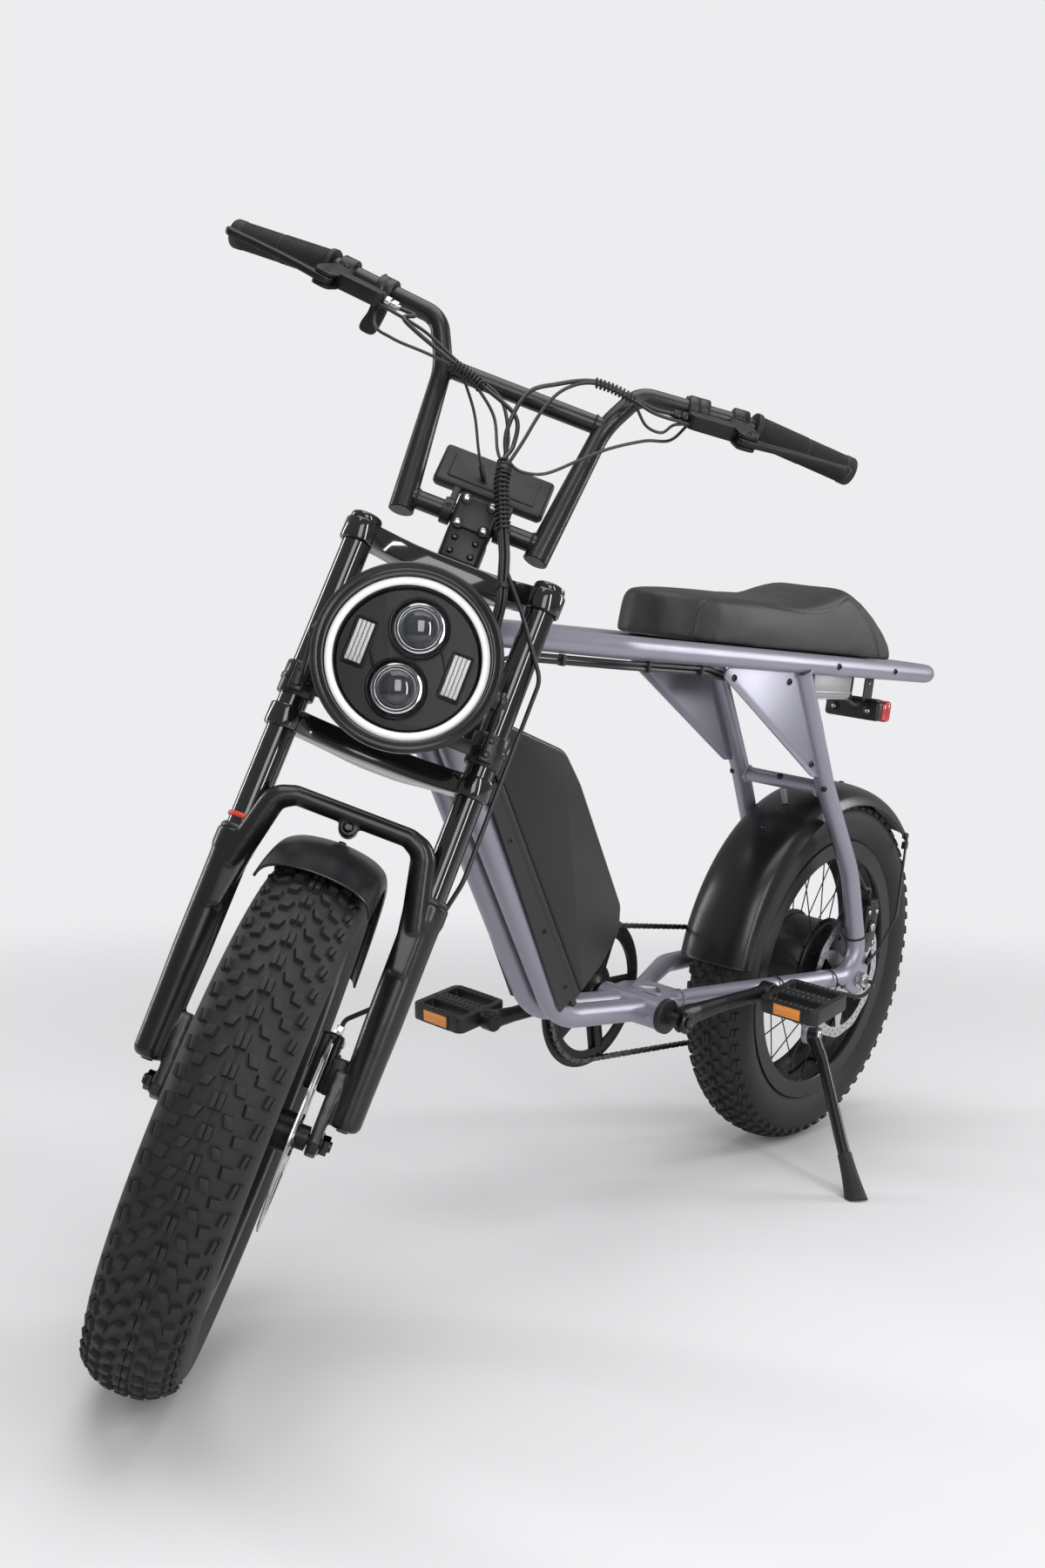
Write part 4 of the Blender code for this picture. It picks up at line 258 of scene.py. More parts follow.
def rod(start, end, radius, sides=24, end_radius=None, ease=0.0):
    start, end = Vector(start), Vector(end)
    bm = bmesh.new()
    bmesh.ops.create_cone(bm, cap_ends=True, segments=sides, radius1=radius,
                          radius2=radius if end_radius is None else end_radius, depth=(end - start).length)
    if ease:
        ease_edges(bm, level_edges(bm), ease, 2)
    return moved(bm, Matrix.Translation((start + end) / 2), facing(end - start))


def clamped(share):
    return min(max(share, 0), 1)


def polar(radius, angle):
    return (radius * math.cos(angle), radius * math.sin(angle))


def ring_of(count, radius, start=0.0):
    """Points evenly round a circle."""
    return [polar(radius, start + math.tau * k / count) for k in range(count)]


def sheet(outline, holes, low, high, ease=0.0):
    """A flat plate with holes: the loops fill as one flat curve, which is then given its thickness."""
    curve = bpy.data.curves.new("outline", "CURVE")
    curve.dimensions = "2D"
    curve.fill_mode = "BOTH"
    curve.extrude = (high - low) / 2 - ease
    curve.bevel_depth = ease
    curve.bevel_resolution = 1
    curve.offset = -ease
    for loop in (outline, *holes):
        spline = curve.splines.new("POLY")
        spline.points.add(len(loop) - 1)
        spline.use_cyclic_u = True
        for k, (a, b) in enumerate(loop):
            spline.points[k].co = (a, b, 0, 1)
    return moved(swept(curve), shifted(0, 0, (low + high) / 2))


print("helpers ready")

# %% [markdown]
# A finished shape becomes an object at the origin, with its place in its mesh. It rides on one of the CAD
# bodies, so that it moves with the joint there, and it may stand for a CAD piece, which is then hidden.

# %% Turn a shape into a piece of the bicycle
PIECES = []


def piece(name, shape, finish, body, place=None, smooth=35, stands_for=(), part=None):
    if place is not None:
        moved(shape, place)
    mesh = bpy.data.meshes.new(name)
    shape.to_mesh(mesh)
    shape.free()
    mesh.materials.append(finish)
    mesh.shade_smooth()
    mesh.set_sharp_from_angle(angle=math.radians(smooth))
    made = bpy.data.objects.new(name, mesh)
    SCENE.collection.objects.link(made)
    if body is not None:
        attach(made, body)
    if stands_for:
        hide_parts(*stands_for)
    PIECES.append(made)
    return made


# %% [markdown]
# ## Camera
#
# The photograph looks down at the bicycle from its front left, close to it, so that the front wheel looms.
# The camera's place was found by matching the wheels, the seat rail and the headlight with the picture. It
# is given beside the upright bicycle, and the bicycle's own matrix leans it with everything else.

# %% Camera at the photograph's viewing angle
yaw, dip, roll = math.radians(219.04), math.radians(-7.78), math.radians(-6.63)
FOCAL_PIXELS = 1804.4
PICTURE_HEIGHT = 1800
SENSOR = 36
ahead = Vector((math.cos(yaw) * math.cos(dip), math.sin(yaw) * math.cos(dip), math.sin(dip)))
right = Vector((math.sin(yaw), -math.cos(yaw), 0))
below = ahead.cross(right)
right, below = (right * math.cos(roll) + below * math.sin(roll),
                below * math.cos(roll) - right * math.sin(roll))
view = Matrix([(right[k], -below[k], -ahead[k]) for k in range(3)]).to_4x4()
camera_data = bpy.data.cameras.new("camera")
camera_data.sensor_width = SENSOR
camera_data.lens = FOCAL_PIXELS * SENSOR / PICTURE_HEIGHT
camera = bpy.data.objects.new("camera", camera_data)
SCENE.collection.objects.link(camera)
camera.matrix_world = BIKE @ shifted(2.2178, 1.1798, 0.8543) @ view
SCENE.camera = camera
SCENE.view_settings.view_transform = "Standard"
print("camera at", tuple(round(v, 3) for v in camera.matrix_world.translation), "lens",
      round(camera_data.lens, 2))

# %% [markdown]
# ## Writing materials as sums
#
# A procedural material is a small calculation that runs at every point of the surface. Drawing it as a web
# of nodes in code is hard to read. So a small class wraps a socket, and plus, minus and times on it add the
# Math nodes. `Finish` starts from the Principled shader and has one method that makes any node.

# %% Sockets that can be added and multiplied
class Number:
    """A number at each point of the surface."""

    def __init__(self, finish, socket):
        self.finish = finish
        self.socket = socket

    def math(self, operation, first, second):
        return self.finish.node("ShaderNodeMath", {"operation": operation}, {0: first, 1: second})

    def __add__(self, other):
        return self.math("ADD", self, other)

    def __radd__(self, other):
        return self.math("ADD", other, self)

    def __sub__(self, other):
        return self.math("SUBTRACT", self, other)

    def __rsub__(self, other):
        return self.math("SUBTRACT", other, self)

    def __mul__(self, other):
        return self.math("MULTIPLY", self, other)

    def __rmul__(self, other):
        return self.math("MULTIPLY", other, self)


class Finish:
    """One procedural material, started from the Principled shader."""

    def __init__(self, name, roughness, metallic=0.0, **fixed):
        self.material = bpy.data.materials.new(name)
        self.material.use_nodes = True
        self.nodes = self.material.node_tree.nodes
        self.links = self.material.node_tree.links
        self.shader = self.nodes["Principled BSDF"]
        self.shader.inputs["Roughness"].default_value = roughness
        self.shader.inputs["Metallic"].default_value = metallic
        for name, value in fixed.items():
            self.shader.inputs[name.replace("_", " ")].default_value = value

    def node(self, kind, settings=None, sockets=None, output=0):
        made = self.nodes.new(kind)
        for key, value in (settings or {}).items():
            if key == "stops":
                ramp = made.color_ramp.elements
                while len(ramp) < len(value):
                    ramp.new(0.5)
                for element, (place, colour) in zip(ramp, value):
                    element.position = place
                    element.color = (*colour, 1)
            else:
                setattr(made, key, value)
        for key, value in (sockets or {}).items():
            if isinstance(value, Number):
                self.links.new(value.socket, made.inputs[key])
            else:
                made.inputs[key].default_value = value
        return Number(self, made.outputs[output])

    def feed(self, name, value):
        self.links.new(value.socket, self.shader.inputs[name])

    def place(self, scale=(1, 1, 1)):
        """Object coordinates, stretched where a pattern runs one way."""
        at = self.node("ShaderNodeTexCoord", output="Object")
        return self.node("ShaderNodeMapping", sockets={"Vector": at, "Scale": scale})

    def noise(self, scale, detail=3.0, place=None, roughness=0.5):
        return self.node("ShaderNodeTexNoise", sockets={
            "Vector": place or self.place(), "Scale": scale, "Detail": detail, "Roughness": roughness})

    def between(self, low, high, share):
        """A colour that goes from low to high with a share from 0 to 1."""
        return self.node("ShaderNodeMix", {"data_type": "RGBA"}, {
            0: share, 6: (*low, 1), 7: (*high, 1)}, output=2)

    def bump(self, height, depth, strength=1.0):
        self.feed("Normal", self.node("ShaderNodeBump", sockets={
            "Height": height, "Distance": depth, "Strength": strength}))


print("material helpers ready")

# %% [markdown]
# ## Floor and studio light
#
# A pale, plain room shows a black machine best. The floor is one large sheet, and the world is a soft
# white all round. What the camera sees of the world, directly or through clear surfaces, is a little
# brighter than what lights the object, so the background stays pale while the colours stay as they were
# written. A studio's paper curves up behind the object, so far out the floor fades into the same plain
# light. Five lamps give direction: a broad one above, one from the front left, and narrow ones beside and
# behind, whose long reflections draw the edges of black tubes.

# %% Floor, world and lamps
floor_finish = Finish("studio_floor", 0.85)
floor_grain = floor_finish.noise(0.9, 2.0)
floor_finish.feed("Base Color", floor_finish.between((0.70, 0.70, 0.71), (0.76, 0.76, 0.77), floor_grain))
apart = floor_finish.node("ShaderNodeVectorMath", {"operation": "LENGTH"}, {0: floor_finish.place()},
                          output=1)
far = floor_finish.node("ShaderNodeMapRange", {"interpolation_type": "SMOOTHSTEP"},
                        {"Value": apart, "From Min": 0.9, "From Max": 3.4})
direct = floor_finish.node("ShaderNodeLightPath", output="Is Camera Ray")
distance_light = floor_finish.node("ShaderNodeEmission", sockets={"Color": (0.843, 0.847, 0.86, 1)})
faded = floor_finish.node("ShaderNodeMixShader", sockets={0: far * direct, 2: distance_light})
floor_finish.links.new(floor_finish.shader.outputs["BSDF"], faded.socket.node.inputs[1])
floor_finish.links.new(faded.socket, floor_finish.nodes["Material Output"].inputs["Surface"])
floor_shape = bmesh.new()
bmesh.ops.create_circle(floor_shape, cap_ends=True, segments=96, radius=45)
floor_mesh = bpy.data.meshes.new("floor")
moved(floor_shape, shifted(0, 0, -0.0005)).to_mesh(floor_mesh)
floor_mesh.materials.append(floor_finish.material)
floor = bpy.data.objects.new("floor", floor_mesh)
SCENE.collection.objects.link(floor)

world = bpy.data.worlds.new("studio")
world.use_nodes = True
SCENE.world = world
sky = world.node_tree.nodes
wires = world.node_tree.links
seen = sky.new("ShaderNodeLightPath")
either = sky.new("ShaderNodeMath")
either.operation = "MAXIMUM"
wires.new(seen.outputs["Is Camera Ray"], either.inputs[0])
wires.new(seen.outputs["Is Transmission Ray"], either.inputs[1])
shown = sky.new("ShaderNodeMix")
shown.data_type = "FLOAT"
shown.inputs[2].default_value = 0.36
shown.inputs[3].default_value = 0.86
wires.new(either.outputs[0], shown.inputs[0])
sky["Background"].inputs["Color"].default_value = (0.98, 0.985, 1.0, 1)
wires.new(shown.outputs[0], sky["Background"].inputs["Strength"])


def lamp(name, place, aim, size, power):
    data = bpy.data.lights.new(name, "AREA")
    data.shape = "RECTANGLE"
    data.size, data.size_y = size
    data.energy = power
    made = bpy.data.objects.new(name, data)
    SCENE.collection.objects.link(made)
    place, aim = Vector(place), Vector(aim)
    look = (aim - place).to_track_quat("-Z", "Y")
    made.matrix_world = Matrix.Translation(place) @ look.to_matrix().to_4x4()


lamp("lamp_above", (0.3, 0.4, 3.2), (0, 0, 0.5), (2.6, 2.6), 62)
lamp("lamp_front_left", (2.6, 2.4, 1.9), (0, 0, 0.5), (1.2, 2.2), 34)
lamp("lamp_behind", (-2.6, 1.6, 1.4), (0, 0, 0.6), (0.35, 1.8), 30)
lamp("lamp_strip_left", (0.9, 2.7, 1.2), (0.1, 0, 0.5), (0.22, 2.2), 26)
lamp("lamp_right", (1.2, -2.9, 1.6), (0.1, 0, 0.5), (0.3, 2.0), 26)

# %% [markdown]
# ## Paint and metal
#
# The frame wears a matte lavender grey with fine metal flakes: a noise far smaller than a millimetre
# lightens some points, and a slower one moves the tone and the gloss a little, as sprayed paint does. The
# fork and bars are satin or gloss black. A black surface shows only by its reflections, so its roughness is
# where the work goes.

# %% Frame paint and the blacks
def painted(name, colour, light, roughness, metallic, flakes=0.0, peel=0.00004, **fixed):
    """Sprayed paint: slow drift in tone and gloss, fine flakes and a faint orange peel."""
    finish = Finish(name, roughness, metallic, **fixed)
    drift = finish.noise(9.0, 2.0)
    fine = finish.noise(2600.0, 1.0)
    share = drift * 0.5 + fine * flakes - 0.25 * flakes
    finish.feed("Base Color", finish.between(colour, light, share))
    finish.feed("Roughness", roughness - 0.03 + 0.06 * finish.noise(24.0, 3.0))
    finish.bump(finish.noise(420.0, 2.0), peel, 0.5)
    return finish.material


frame_paint = painted("frame_paint", (0.235, 0.232, 0.285), (0.360, 0.356, 0.420), 0.36, 0.55, flakes=0.9)
satin_black = painted("satin_black", (0.008, 0.008, 0.009), (0.014, 0.014, 0.015), 0.27, 0.10, peel=0.000006)
gloss_black = painted("gloss_black", (0.006, 0.006, 0.007), (0.012, 0.012, 0.013), 0.11, 0.2, peel=0.000002,
                      Coat_Weight=0.8, Coat_Roughness=0.04)
black_alloy = painted("black_alloy", (0.010, 0.010, 0.011), (0.022, 0.022, 0.024), 0.34, 0.50, peel=0.00001)
silver_alloy = painted("silver_alloy", (0.36, 0.36, 0.37), (0.46, 0.46, 0.47), 0.38, 0.8)


def metal(name, dark, light, roughness, scale=60.0, stretch=(1, 1, 1), grain=0.00002):
    """Bare metal: fine scratches in the gloss and a stain that comes and goes."""
    finish = Finish(name, roughness, 1.0)
    along = finish.place(stretch)
    scratches = finish.noise(900.0, 3.0, along)
    finish.feed("Base Color", finish.between(dark, light, finish.noise(scale, 4.0)))
    finish.feed("Roughness", roughness - 0.08 + 0.16 * scratches)
    finish.bump(scratches, grain, 0.4)
    return finish.material


bright_steel = metal("bright_steel", (0.50, 0.50, 0.51), (0.66, 0.66, 0.67), 0.20)
brake_steel = metal("brake_steel", (0.40, 0.40, 0.41), (0.58, 0.58, 0.59), 0.28)
chain_steel = metal("chain_steel", (0.075, 0.072, 0.070), (0.21, 0.205, 0.20), 0.34, 140.0)
dark_bolts = metal("dark_bolts", (0.020, 0.020, 0.022), (0.060, 0.060, 0.064), 0.26)
chrome = metal("chrome", (0.62, 0.62, 0.64), (0.80, 0.80, 0.82), 0.10)
print("paint and metal ready")

# %% [markdown]
# ## Rubber, plastic and vinyl
#
# Rubber scatters light and goes grey where it is rubbed. Moulded plastic has a fine spark-eroded grain from
# its mould. The seat's vinyl is embossed with small cells like leather: a Voronoi texture gives the cells,
# and their edges are the creases, whose colour is painted darker as shade.

# %% Rubber, plastic, vinyl and lamp plastics
def moulded(name, dark, light, roughness, grain, depth, spread=0.08, **fixed):
    """Moulded rubber or plastic with a fine even grain."""
    finish = Finish(name, roughness, **fixed)
    worn = finish.noise(14.0, 4.0)
    fine = finish.noise(grain, 2.0)
    finish.feed("Base Color", finish.between(dark, light, worn * 0.7 + fine * 0.3))
    finish.feed("Roughness", roughness - spread / 2 + spread * finish.noise(45.0, 3.0))
    finish.bump(fine, depth, 0.8)
    return finish.material


tyre_rubber = moulded("tyre_rubber", (0.010, 0.010, 0.010), (0.030, 0.029, 0.028), 0.60, 500.0, 0.00012,
                      Specular_IOR_Level=0.30)
grip_rubber = moulded("grip_rubber", (0.009, 0.009, 0.009), (0.022, 0.022, 0.023), 0.60, 900.0, 0.00008,
                      Specular_IOR_Level=0.34)
hose_rubber = moulded("hose_rubber", (0.008, 0.008, 0.008), (0.018, 0.018, 0.018), 0.36, 700.0, 0.00003)
black_plastic = moulded("black_plastic", (0.009, 0.009, 0.010), (0.020, 0.020, 0.021), 0.42, 1400.0, 0.00006,
                        Specular_IOR_Level=0.38)
battery_shell = moulded("battery_shell", (0.007, 0.007, 0.008), (0.015, 0.015, 0.016), 0.30, 1800.0, 0.00003,
                        Specular_IOR_Level=0.36)
screen_glass = moulded("screen_glass", (0.004, 0.004, 0.005), (0.008, 0.008, 0.010), 0.10, 300.0, 0.000002,
                       0.02, Coat_Weight=1.0, Coat_Roughness=0.03)
red_rubber = moulded("red_rubber", (0.52, 0.035, 0.012), (0.72, 0.060, 0.020), 0.45, 600.0, 0.00003)
yellow_plug = moulded("yellow_plug", (0.42, 0.46, 0.05), (0.55, 0.60, 0.09), 0.45, 600.0, 0.00003)


def vinyl(name, dark, light):
    finish = Finish(name, 0.46, Specular_IOR_Level=0.34)
    warp = finish.noise(30.0, 2.0)
    cells = finish.node("ShaderNodeTexVoronoi", {"feature": "DISTANCE_TO_EDGE"}, {
        "Vector": finish.place(), "Scale": 420.0, "Randomness": 0.9})
    crease_and_painted_shade = finish.node("ShaderNodeClamp", sockets={"Value": cells * 9.0})
    # The cell-edge mask also darkens the colour there: painted shade in the creases. In the roughness and the
    # bump it stands for the real creases.
    finish.feed("Base Color", finish.between(dark, light, crease_and_painted_shade * 0.45 + warp * 0.55))
    finish.feed("Roughness", 0.56 - 0.10 * crease_and_painted_shade - 0.06 * warp)
    finish.bump(crease_and_painted_shade + finish.noise(120.0, 3.0) * 0.6, 0.00012, 0.7)
    return finish.material


seat_thread = moulded("seat_thread", (0.030, 0.029, 0.028), (0.070, 0.068, 0.066), 0.6, 900.0, 0.00002)
seat_vinyl = vinyl("seat_vinyl", (0.012, 0.0115, 0.0115), (0.030, 0.028, 0.027))


def prism_plastic(name, dark, light, **fixed):
    """Reflector or lamp plastic with a field of small prisms behind a smooth face."""
    finish = Finish(name, 0.16, **fixed)
    prisms = finish.node("ShaderNodeTexVoronoi", {"feature": "F1", "distance": "CHEBYCHEV"}, {
        "Vector": finish.place(), "Scale": 330.0, "Randomness": 0.0})
    finish.feed("Base Color", finish.between(dark, light, prisms * 1.4))
    finish.bump(prisms, 0.0006, 0.5)
    return finish.material


orange_reflector = prism_plastic("orange_reflector", (0.50, 0.12, 0.006), (0.95, 0.36, 0.04), Coat_Weight=0.6)
red_lens = prism_plastic("red_lens", (0.30, 0.006, 0.004), (0.72, 0.03, 0.02), Coat_Weight=0.8)
led_lens = prism_plastic("led_lens", (0.42, 0.43, 0.44), (0.80, 0.81, 0.82), Coat_Weight=0.6)


def clear_glass(name, tint, edge):
    """Clear cover: seen through straight on, mirror-like at its edges."""
    finish = Finish(name, 0.03)
    grazing = finish.node("ShaderNodeFresnel", sockets={"IOR": edge})
    haze = finish.noise(35.0, 2.0)
    finish.feed("Base Color", finish.between(tint, (0.030, 0.032, 0.035), haze))
    finish.feed("Alpha", 0.012 + grazing * 0.50)
    return finish.material


lamp_glass = clear_glass("lamp_glass", (0.012, 0.013, 0.015), 1.45)


def glowing(name, colour, strength):
    """A light guide: white plastic with its own soft light, weaker in the mould marks."""
    finish = Finish(name, 0.25, Coat_Weight=0.4)
    marks = finish.noise(160.0, 2.0)
    finish.feed("Base Color", finish.between((0.80, 0.81, 0.82), (0.95, 0.96, 0.97), marks))
    dimmer = tuple(share * 0.9 for share in colour)
    finish.feed("Emission Color", finish.between(dimmer, colour, marks))
    finish.shader.inputs["Emission Strength"].default_value = strength
    return finish.material


halo_light = glowing("halo_light", (1.0, 1.0, 1.0), 0.42)
print(len(bpy.data.materials), "finishes so far")

# %% [markdown]
# The CAD pieces whose shape is already right stay as they are and only get their finish. The others get it
# too, in case they show, and are replaced further down.

# %% Finishes for every CAD piece
WEARS = {
    frame_paint: "head_tube seat_rail down_tube_left down_tube_right bottom_bracket rear_stay_left "
                 "rear_stay_right gusset_left gusset_right",
    satin_black: "handlebar fork_lowers lamp_bracket headlight_shell front_fender rear_fender kickstand_leg",
    gloss_black: "upper_crown lower_crown stanchion_left stanchion_right headlight_reflector",
    black_alloy: "stem lever_perch_left lever_perch_right brake_lever_left brake_lever_right front_rim "
                 "rear_rim front_hub motor_hub front_caliper rear_caliper crank_left crank_right "
                 "rear_derailleur",
    silver_alloy: "controller_case",
    bright_steel: "key_lock rear_axle front_axle",
    brake_steel: "front_rotor rear_rotor",
    chain_steel: "chain freewheel",
    tyre_rubber: "front_tyre rear_tyre",
    grip_rubber: "grip_left grip_right",
    hose_rubber: "front_cables rear_cables",
    black_plastic: "tail_light switch_pod thumb_throttle display pedal_left pedal_right battery_rail",
    battery_shell: "battery_case",
    red_rubber: "switch_button",
    seat_vinyl: "seat",
    lamp_glass: "headlight_lens",
}
dressed = 0
for finish, names in WEARS.items():
    for name in names.split():
        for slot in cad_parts[name].material_slots:
            slot.material = finish
        dressed += 1
print(dressed, "CAD pieces dressed of", len(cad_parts))

# %% [markdown]
# ## Tyres
#
# A fat tyre is a balloon about a hundred millimetres wide. Its carcass is a smooth spun profile with a
# thin mould line round the middle. On it stand hundreds of separate rubber blocks in seven staggered
# columns: short chamfered lumps that lean with the curve of the carcass, some of them split by a thin slot,
# a sipe, that lets the block flex. One block is shaped once and copied to each place, so it must be light:
# a cube whose top is drawn in and whose upper edges are eased. A skew matrix slants it on its way.

# %% Carcass and tread blocks
def repeated(shape, places):
    """Copies one shape to each of the given matrices."""
    mesh = bpy.data.meshes.new("one")
    shape.to_mesh(mesh)
    shape.free()
    whole = bmesh.new()
    for place in places:
        copy = mesh.copy()
        copy.transform(place)
        whole.from_mesh(copy)
        bpy.data.meshes.remove(copy)
    bpy.data.meshes.remove(mesh)
    return whole


CARCASS = [(0.2032, 0.0300), (0.2072, 0.0368), (0.2150, 0.0432), (0.2250, 0.0486), (0.2360, 0.0508),
           (0.2460, 0.0503), (0.2545, 0.0472), (0.2620, 0.0420), (0.2680, 0.0350), (0.2720, 0.0270),
           (0.2743, 0.0188), (0.2755, 0.0100), (0.2759, 0.0012), (0.2767, 0.0006)]
INNER_WALL = [(0.2736, 0.0100), (0.2688, 0.0280), (0.2560, 0.0440), (0.2400, 0.0485), (0.2240, 0.0460),
              (0.2085, 0.0350)]
TREAD_ROWS = 64
# Each column: its distance from the middle, its phase, each block's length, width, height and slant, and
# whether a sipe splits it.
TREAD_COLUMNS = ((0.0, 0.00, 0.0140, 0.0118, 0.0058, 0.00, True),
                 (0.0150, 0.50, 0.0104, 0.0092, 0.0064, 0.35, False),
                 (0.0280, 0.00, 0.0100, 0.0108, 0.0055, 0.12, False),
                 (0.0402, 0.50, 0.0124, 0.0112, 0.0050, -0.20, True))
BLOCK_ROOT = 0.0010


def mirrored_profile(half):
    return half + [(radius, -along) for radius, along in reversed(half)]


def carcass_point(along):
    """Radius and outward slope of the carcass at a distance from the middle."""
    outer = sorted(((a, r) for r, a in CARCASS if r > 0.245), key=lambda pair: pair[0])
    for (a, ra), (b, rb) in zip(outer, outer[1:]):
        if a <= along <= b:
            share = (along - a) / (b - a)
            return ra + share * (rb - ra), math.atan2(ra - rb, b - a)
    return outer[0][1], 0.0


def tread_block(split):
    """One rubber lump of unit size, or two halves with a sipe between them."""
    halves = []
    for low, high in ((-0.5, -0.075), (0.075, 0.5)) if split else ((-0.5, 0.5),):
        bm = bmesh.new()
        size = Matrix.Diagonal((1, high - low, 1, 1))
        bmesh.ops.create_cube(bm, size=1, matrix=shifted(0, (low + high) / 2, 0) @ size)
        top = [v for v in bm.verts if v.co.z > 0]
        bmesh.ops.scale(bm, vec=(0.84, 0.88, 1), verts=top)
        upper = [edge for edge in bm.edges if edge.verts[0].co.z > 0 and edge.verts[1].co.z > 0]
        ease_edges(bm, upper, 0.07, 1)
        halves.append(bm)
    return together(*halves)


def tyre():
    shell = mirrored_profile(CARCASS)
    whole = [moved(closed_lathe(shell + mirrored_profile(INNER_WALL)[::-1], 108), Z_TO_Y)]
    for along, phase, length, width, height, slant, split in TREAD_COLUMNS:
        places = []
        radius, slope = carcass_point(along)
        for k in range(TREAD_ROWS):
            grown = 1.14 if k % 2 else 1.0
            for side in (1, -1) if along else (1,):
                angle = 360 * (k + phase) / TREAD_ROWS
                lean = turned(-side * math.degrees(slope), "X")
                skew = Matrix(((1, 0, 0, 0), (side * slant, 1, 0, 0), (0, 0, 1, 0), (0, 0, 0, 1)))
                size = Matrix.Diagonal((length * grown, width, height, 1))
                places.append(turned(angle, "Y") @ shifted(0, side * along, radius) @ lean @ skew @
                              shifted(0, 0, height / 2 - BLOCK_ROOT) @ size)
        whole.append(repeated(tread_block(split), places))
    return together(*whole)


for name, place, body in (("front_tyre", LOWERS, "front_wheel"), ("rear_tyre", REAR_HUB, "rear_wheel")):
    made = piece(name + "_tread", tyre(), tyre_rubber, body, place, 40, (name,))
    low = min(v.co.z for v in made.data.vertices)
    print(name, len(made.data.polygons), "faces, lowest point", round(low * 1000, 2), "mm")

# %% [markdown]
# ## Rims, spokes and hubs
#
# The rims are single-walled and pierced by twelve windows to save weight, with a cloth strip behind them.
# The band is spun as an open sheet, the faces of each window are deleted, and Solidify gives the sheet its
# thickness. The two flanges that hold the tyre are spun as closed rings. Thirty-six spokes
# cross from each rim to flanges on the hub, and each ends in a nipple at the rim and a small head at the hub.

# %% Rims with windows
RIM_WINDOWS = 12
WINDOW_HALF = 0.0105
RIM_RADIUS = 0.1925
SPOKES = 36


def rim_band():
    bm = lathe([(0.1922, along) for along in (0.0262, 0.0170, 0.0105, 0.0, -0.0105, -0.0170, -0.0262)], 144)
    doomed = []
    for face in bm.faces:
        middle = face.calc_center_median()
        share = (math.atan2(middle.y, middle.x) / math.tau * RIM_WINDOWS) % 1
        if abs(middle.z) < WINDOW_HALF and 0.20 < share < 0.80:
            doomed.append(face)
    bmesh.ops.delete(bm, geom=doomed, context="FACES")
    corners = [v for v in bm.verts if v.is_boundary and abs(v.co.z) < 0.0200]
    bmesh.ops.smooth_vert(bm, verts=corners, factor=0.5, use_axis_x=True, use_axis_y=True, use_axis_z=True)
    bmesh.ops.solidify(bm, geom=bm.faces[:], thickness=0.0018)
    return bm


def flange_ring():
    return closed_lathe([(0.1930, 0.0248), (0.1830, 0.0368), (0.1818, 0.0392), (0.1835, 0.0408),
                         (0.1960, 0.0415), (0.2082, 0.0418), (0.2092, 0.0400), (0.2080, 0.0386),
                         (0.2030, 0.0382), (0.1965, 0.0270)], 108)


def spokes(hub_radius, hub_half, sweep):
    wires, nipples = [], []
    for k in range(SPOKES):
        side = 1 if k % 2 == 0 else -1
        angle = math.tau * (k + 0.36) / SPOKES
        lead = math.radians(sweep) * side
        outer = Vector((RIM_RADIUS * math.sin(angle), side * 0.016, RIM_RADIUS * math.cos(angle)))
        z, x = polar(hub_radius, angle + lead)
        inner = Vector((x, side * hub_half, z))
        way = (inner - outer).normalized()
        wires.append(rod(inner, outer, 0.0010, 8))
        wires.append(rod(inner - Vector((0, 0.0022 * side, 0)), inner + Vector((0, 0.0028 * side, 0)),
                         0.0019, 8))
        nipples.append(rod(outer - way * 0.003, outer + way * 0.011, 0.0024, 8, 0.0017))
    return together(*wires), together(*nipples)


for end, place, body, hub_radius, hub_half, sweep in (
        ("front", LOWERS, "front_wheel", 0.0290, 0.0325, 30),
        ("rear", REAR_HUB, "rear_wheel", 0.0800, 0.0320, 14)):
    hoop = together(moved(rim_band(), Z_TO_Y), moved(flange_ring(), Z_TO_Y),
                    moved(flange_ring(), OTHER_SIDE, Z_TO_Y))
    piece(end + "_rim_hoop", hoop, black_alloy, body, place, 30, (end + "_rim",))
    tape = closed_lathe([(0.1948, 0.0262), (0.1948, -0.0262), (0.1955, -0.0262), (0.1955, 0.0262)], 96)
    piece(end + "_rim_tape", moved(tape, Z_TO_Y), hose_rubber, body, place, 30, (end + "_rim",))
    wires, nipples = spokes(hub_radius, hub_half, sweep)
    piece(end + "_spokes", wires, dark_bolts, body, place, 50, (end + "_rim",))
    piece(end + "_nipples", nipples, bright_steel, body, place, 50, (end + "_rim",))
print("rims with", RIM_WINDOWS, "windows and", SPOKES, "spokes each")

# %% [markdown]
# The front hub is a plain turned barrel. The rear hub is a geared motor: a broad drum with a screwed-on
# side cover. Both carry a brake disc on the left. A disc is punched from sheet steel: a waved rim with
# rows of small slots that wipe the pads, six slanted arms, and a ring of screws. It is filled as one flat
# curve with holes, because the fill finds the faces between dozens of holes by itself.

# %% Hubs and brake discs
def screws(count, radius, along, size, start=0.0, height=0.0022):
    """A ring of button-head screws, facing along Z."""
    head = lathe([(0, height), (size * 0.28, height), (size * 0.30, height * 0.45),
                  (size * 0.55, height * 0.45), (size * 0.60, height * 0.95), (size * 0.85, height * 0.75),
                  (size, height * 0.2), (size, 0)], 14)
    return repeated(head, [shifted(x, y, along) for x, y in ring_of(count, radius, start)])


DISC_HALF = 0.0009


def window(a, points):
    return [polar(radius, a + turn) for radius, turn in points]


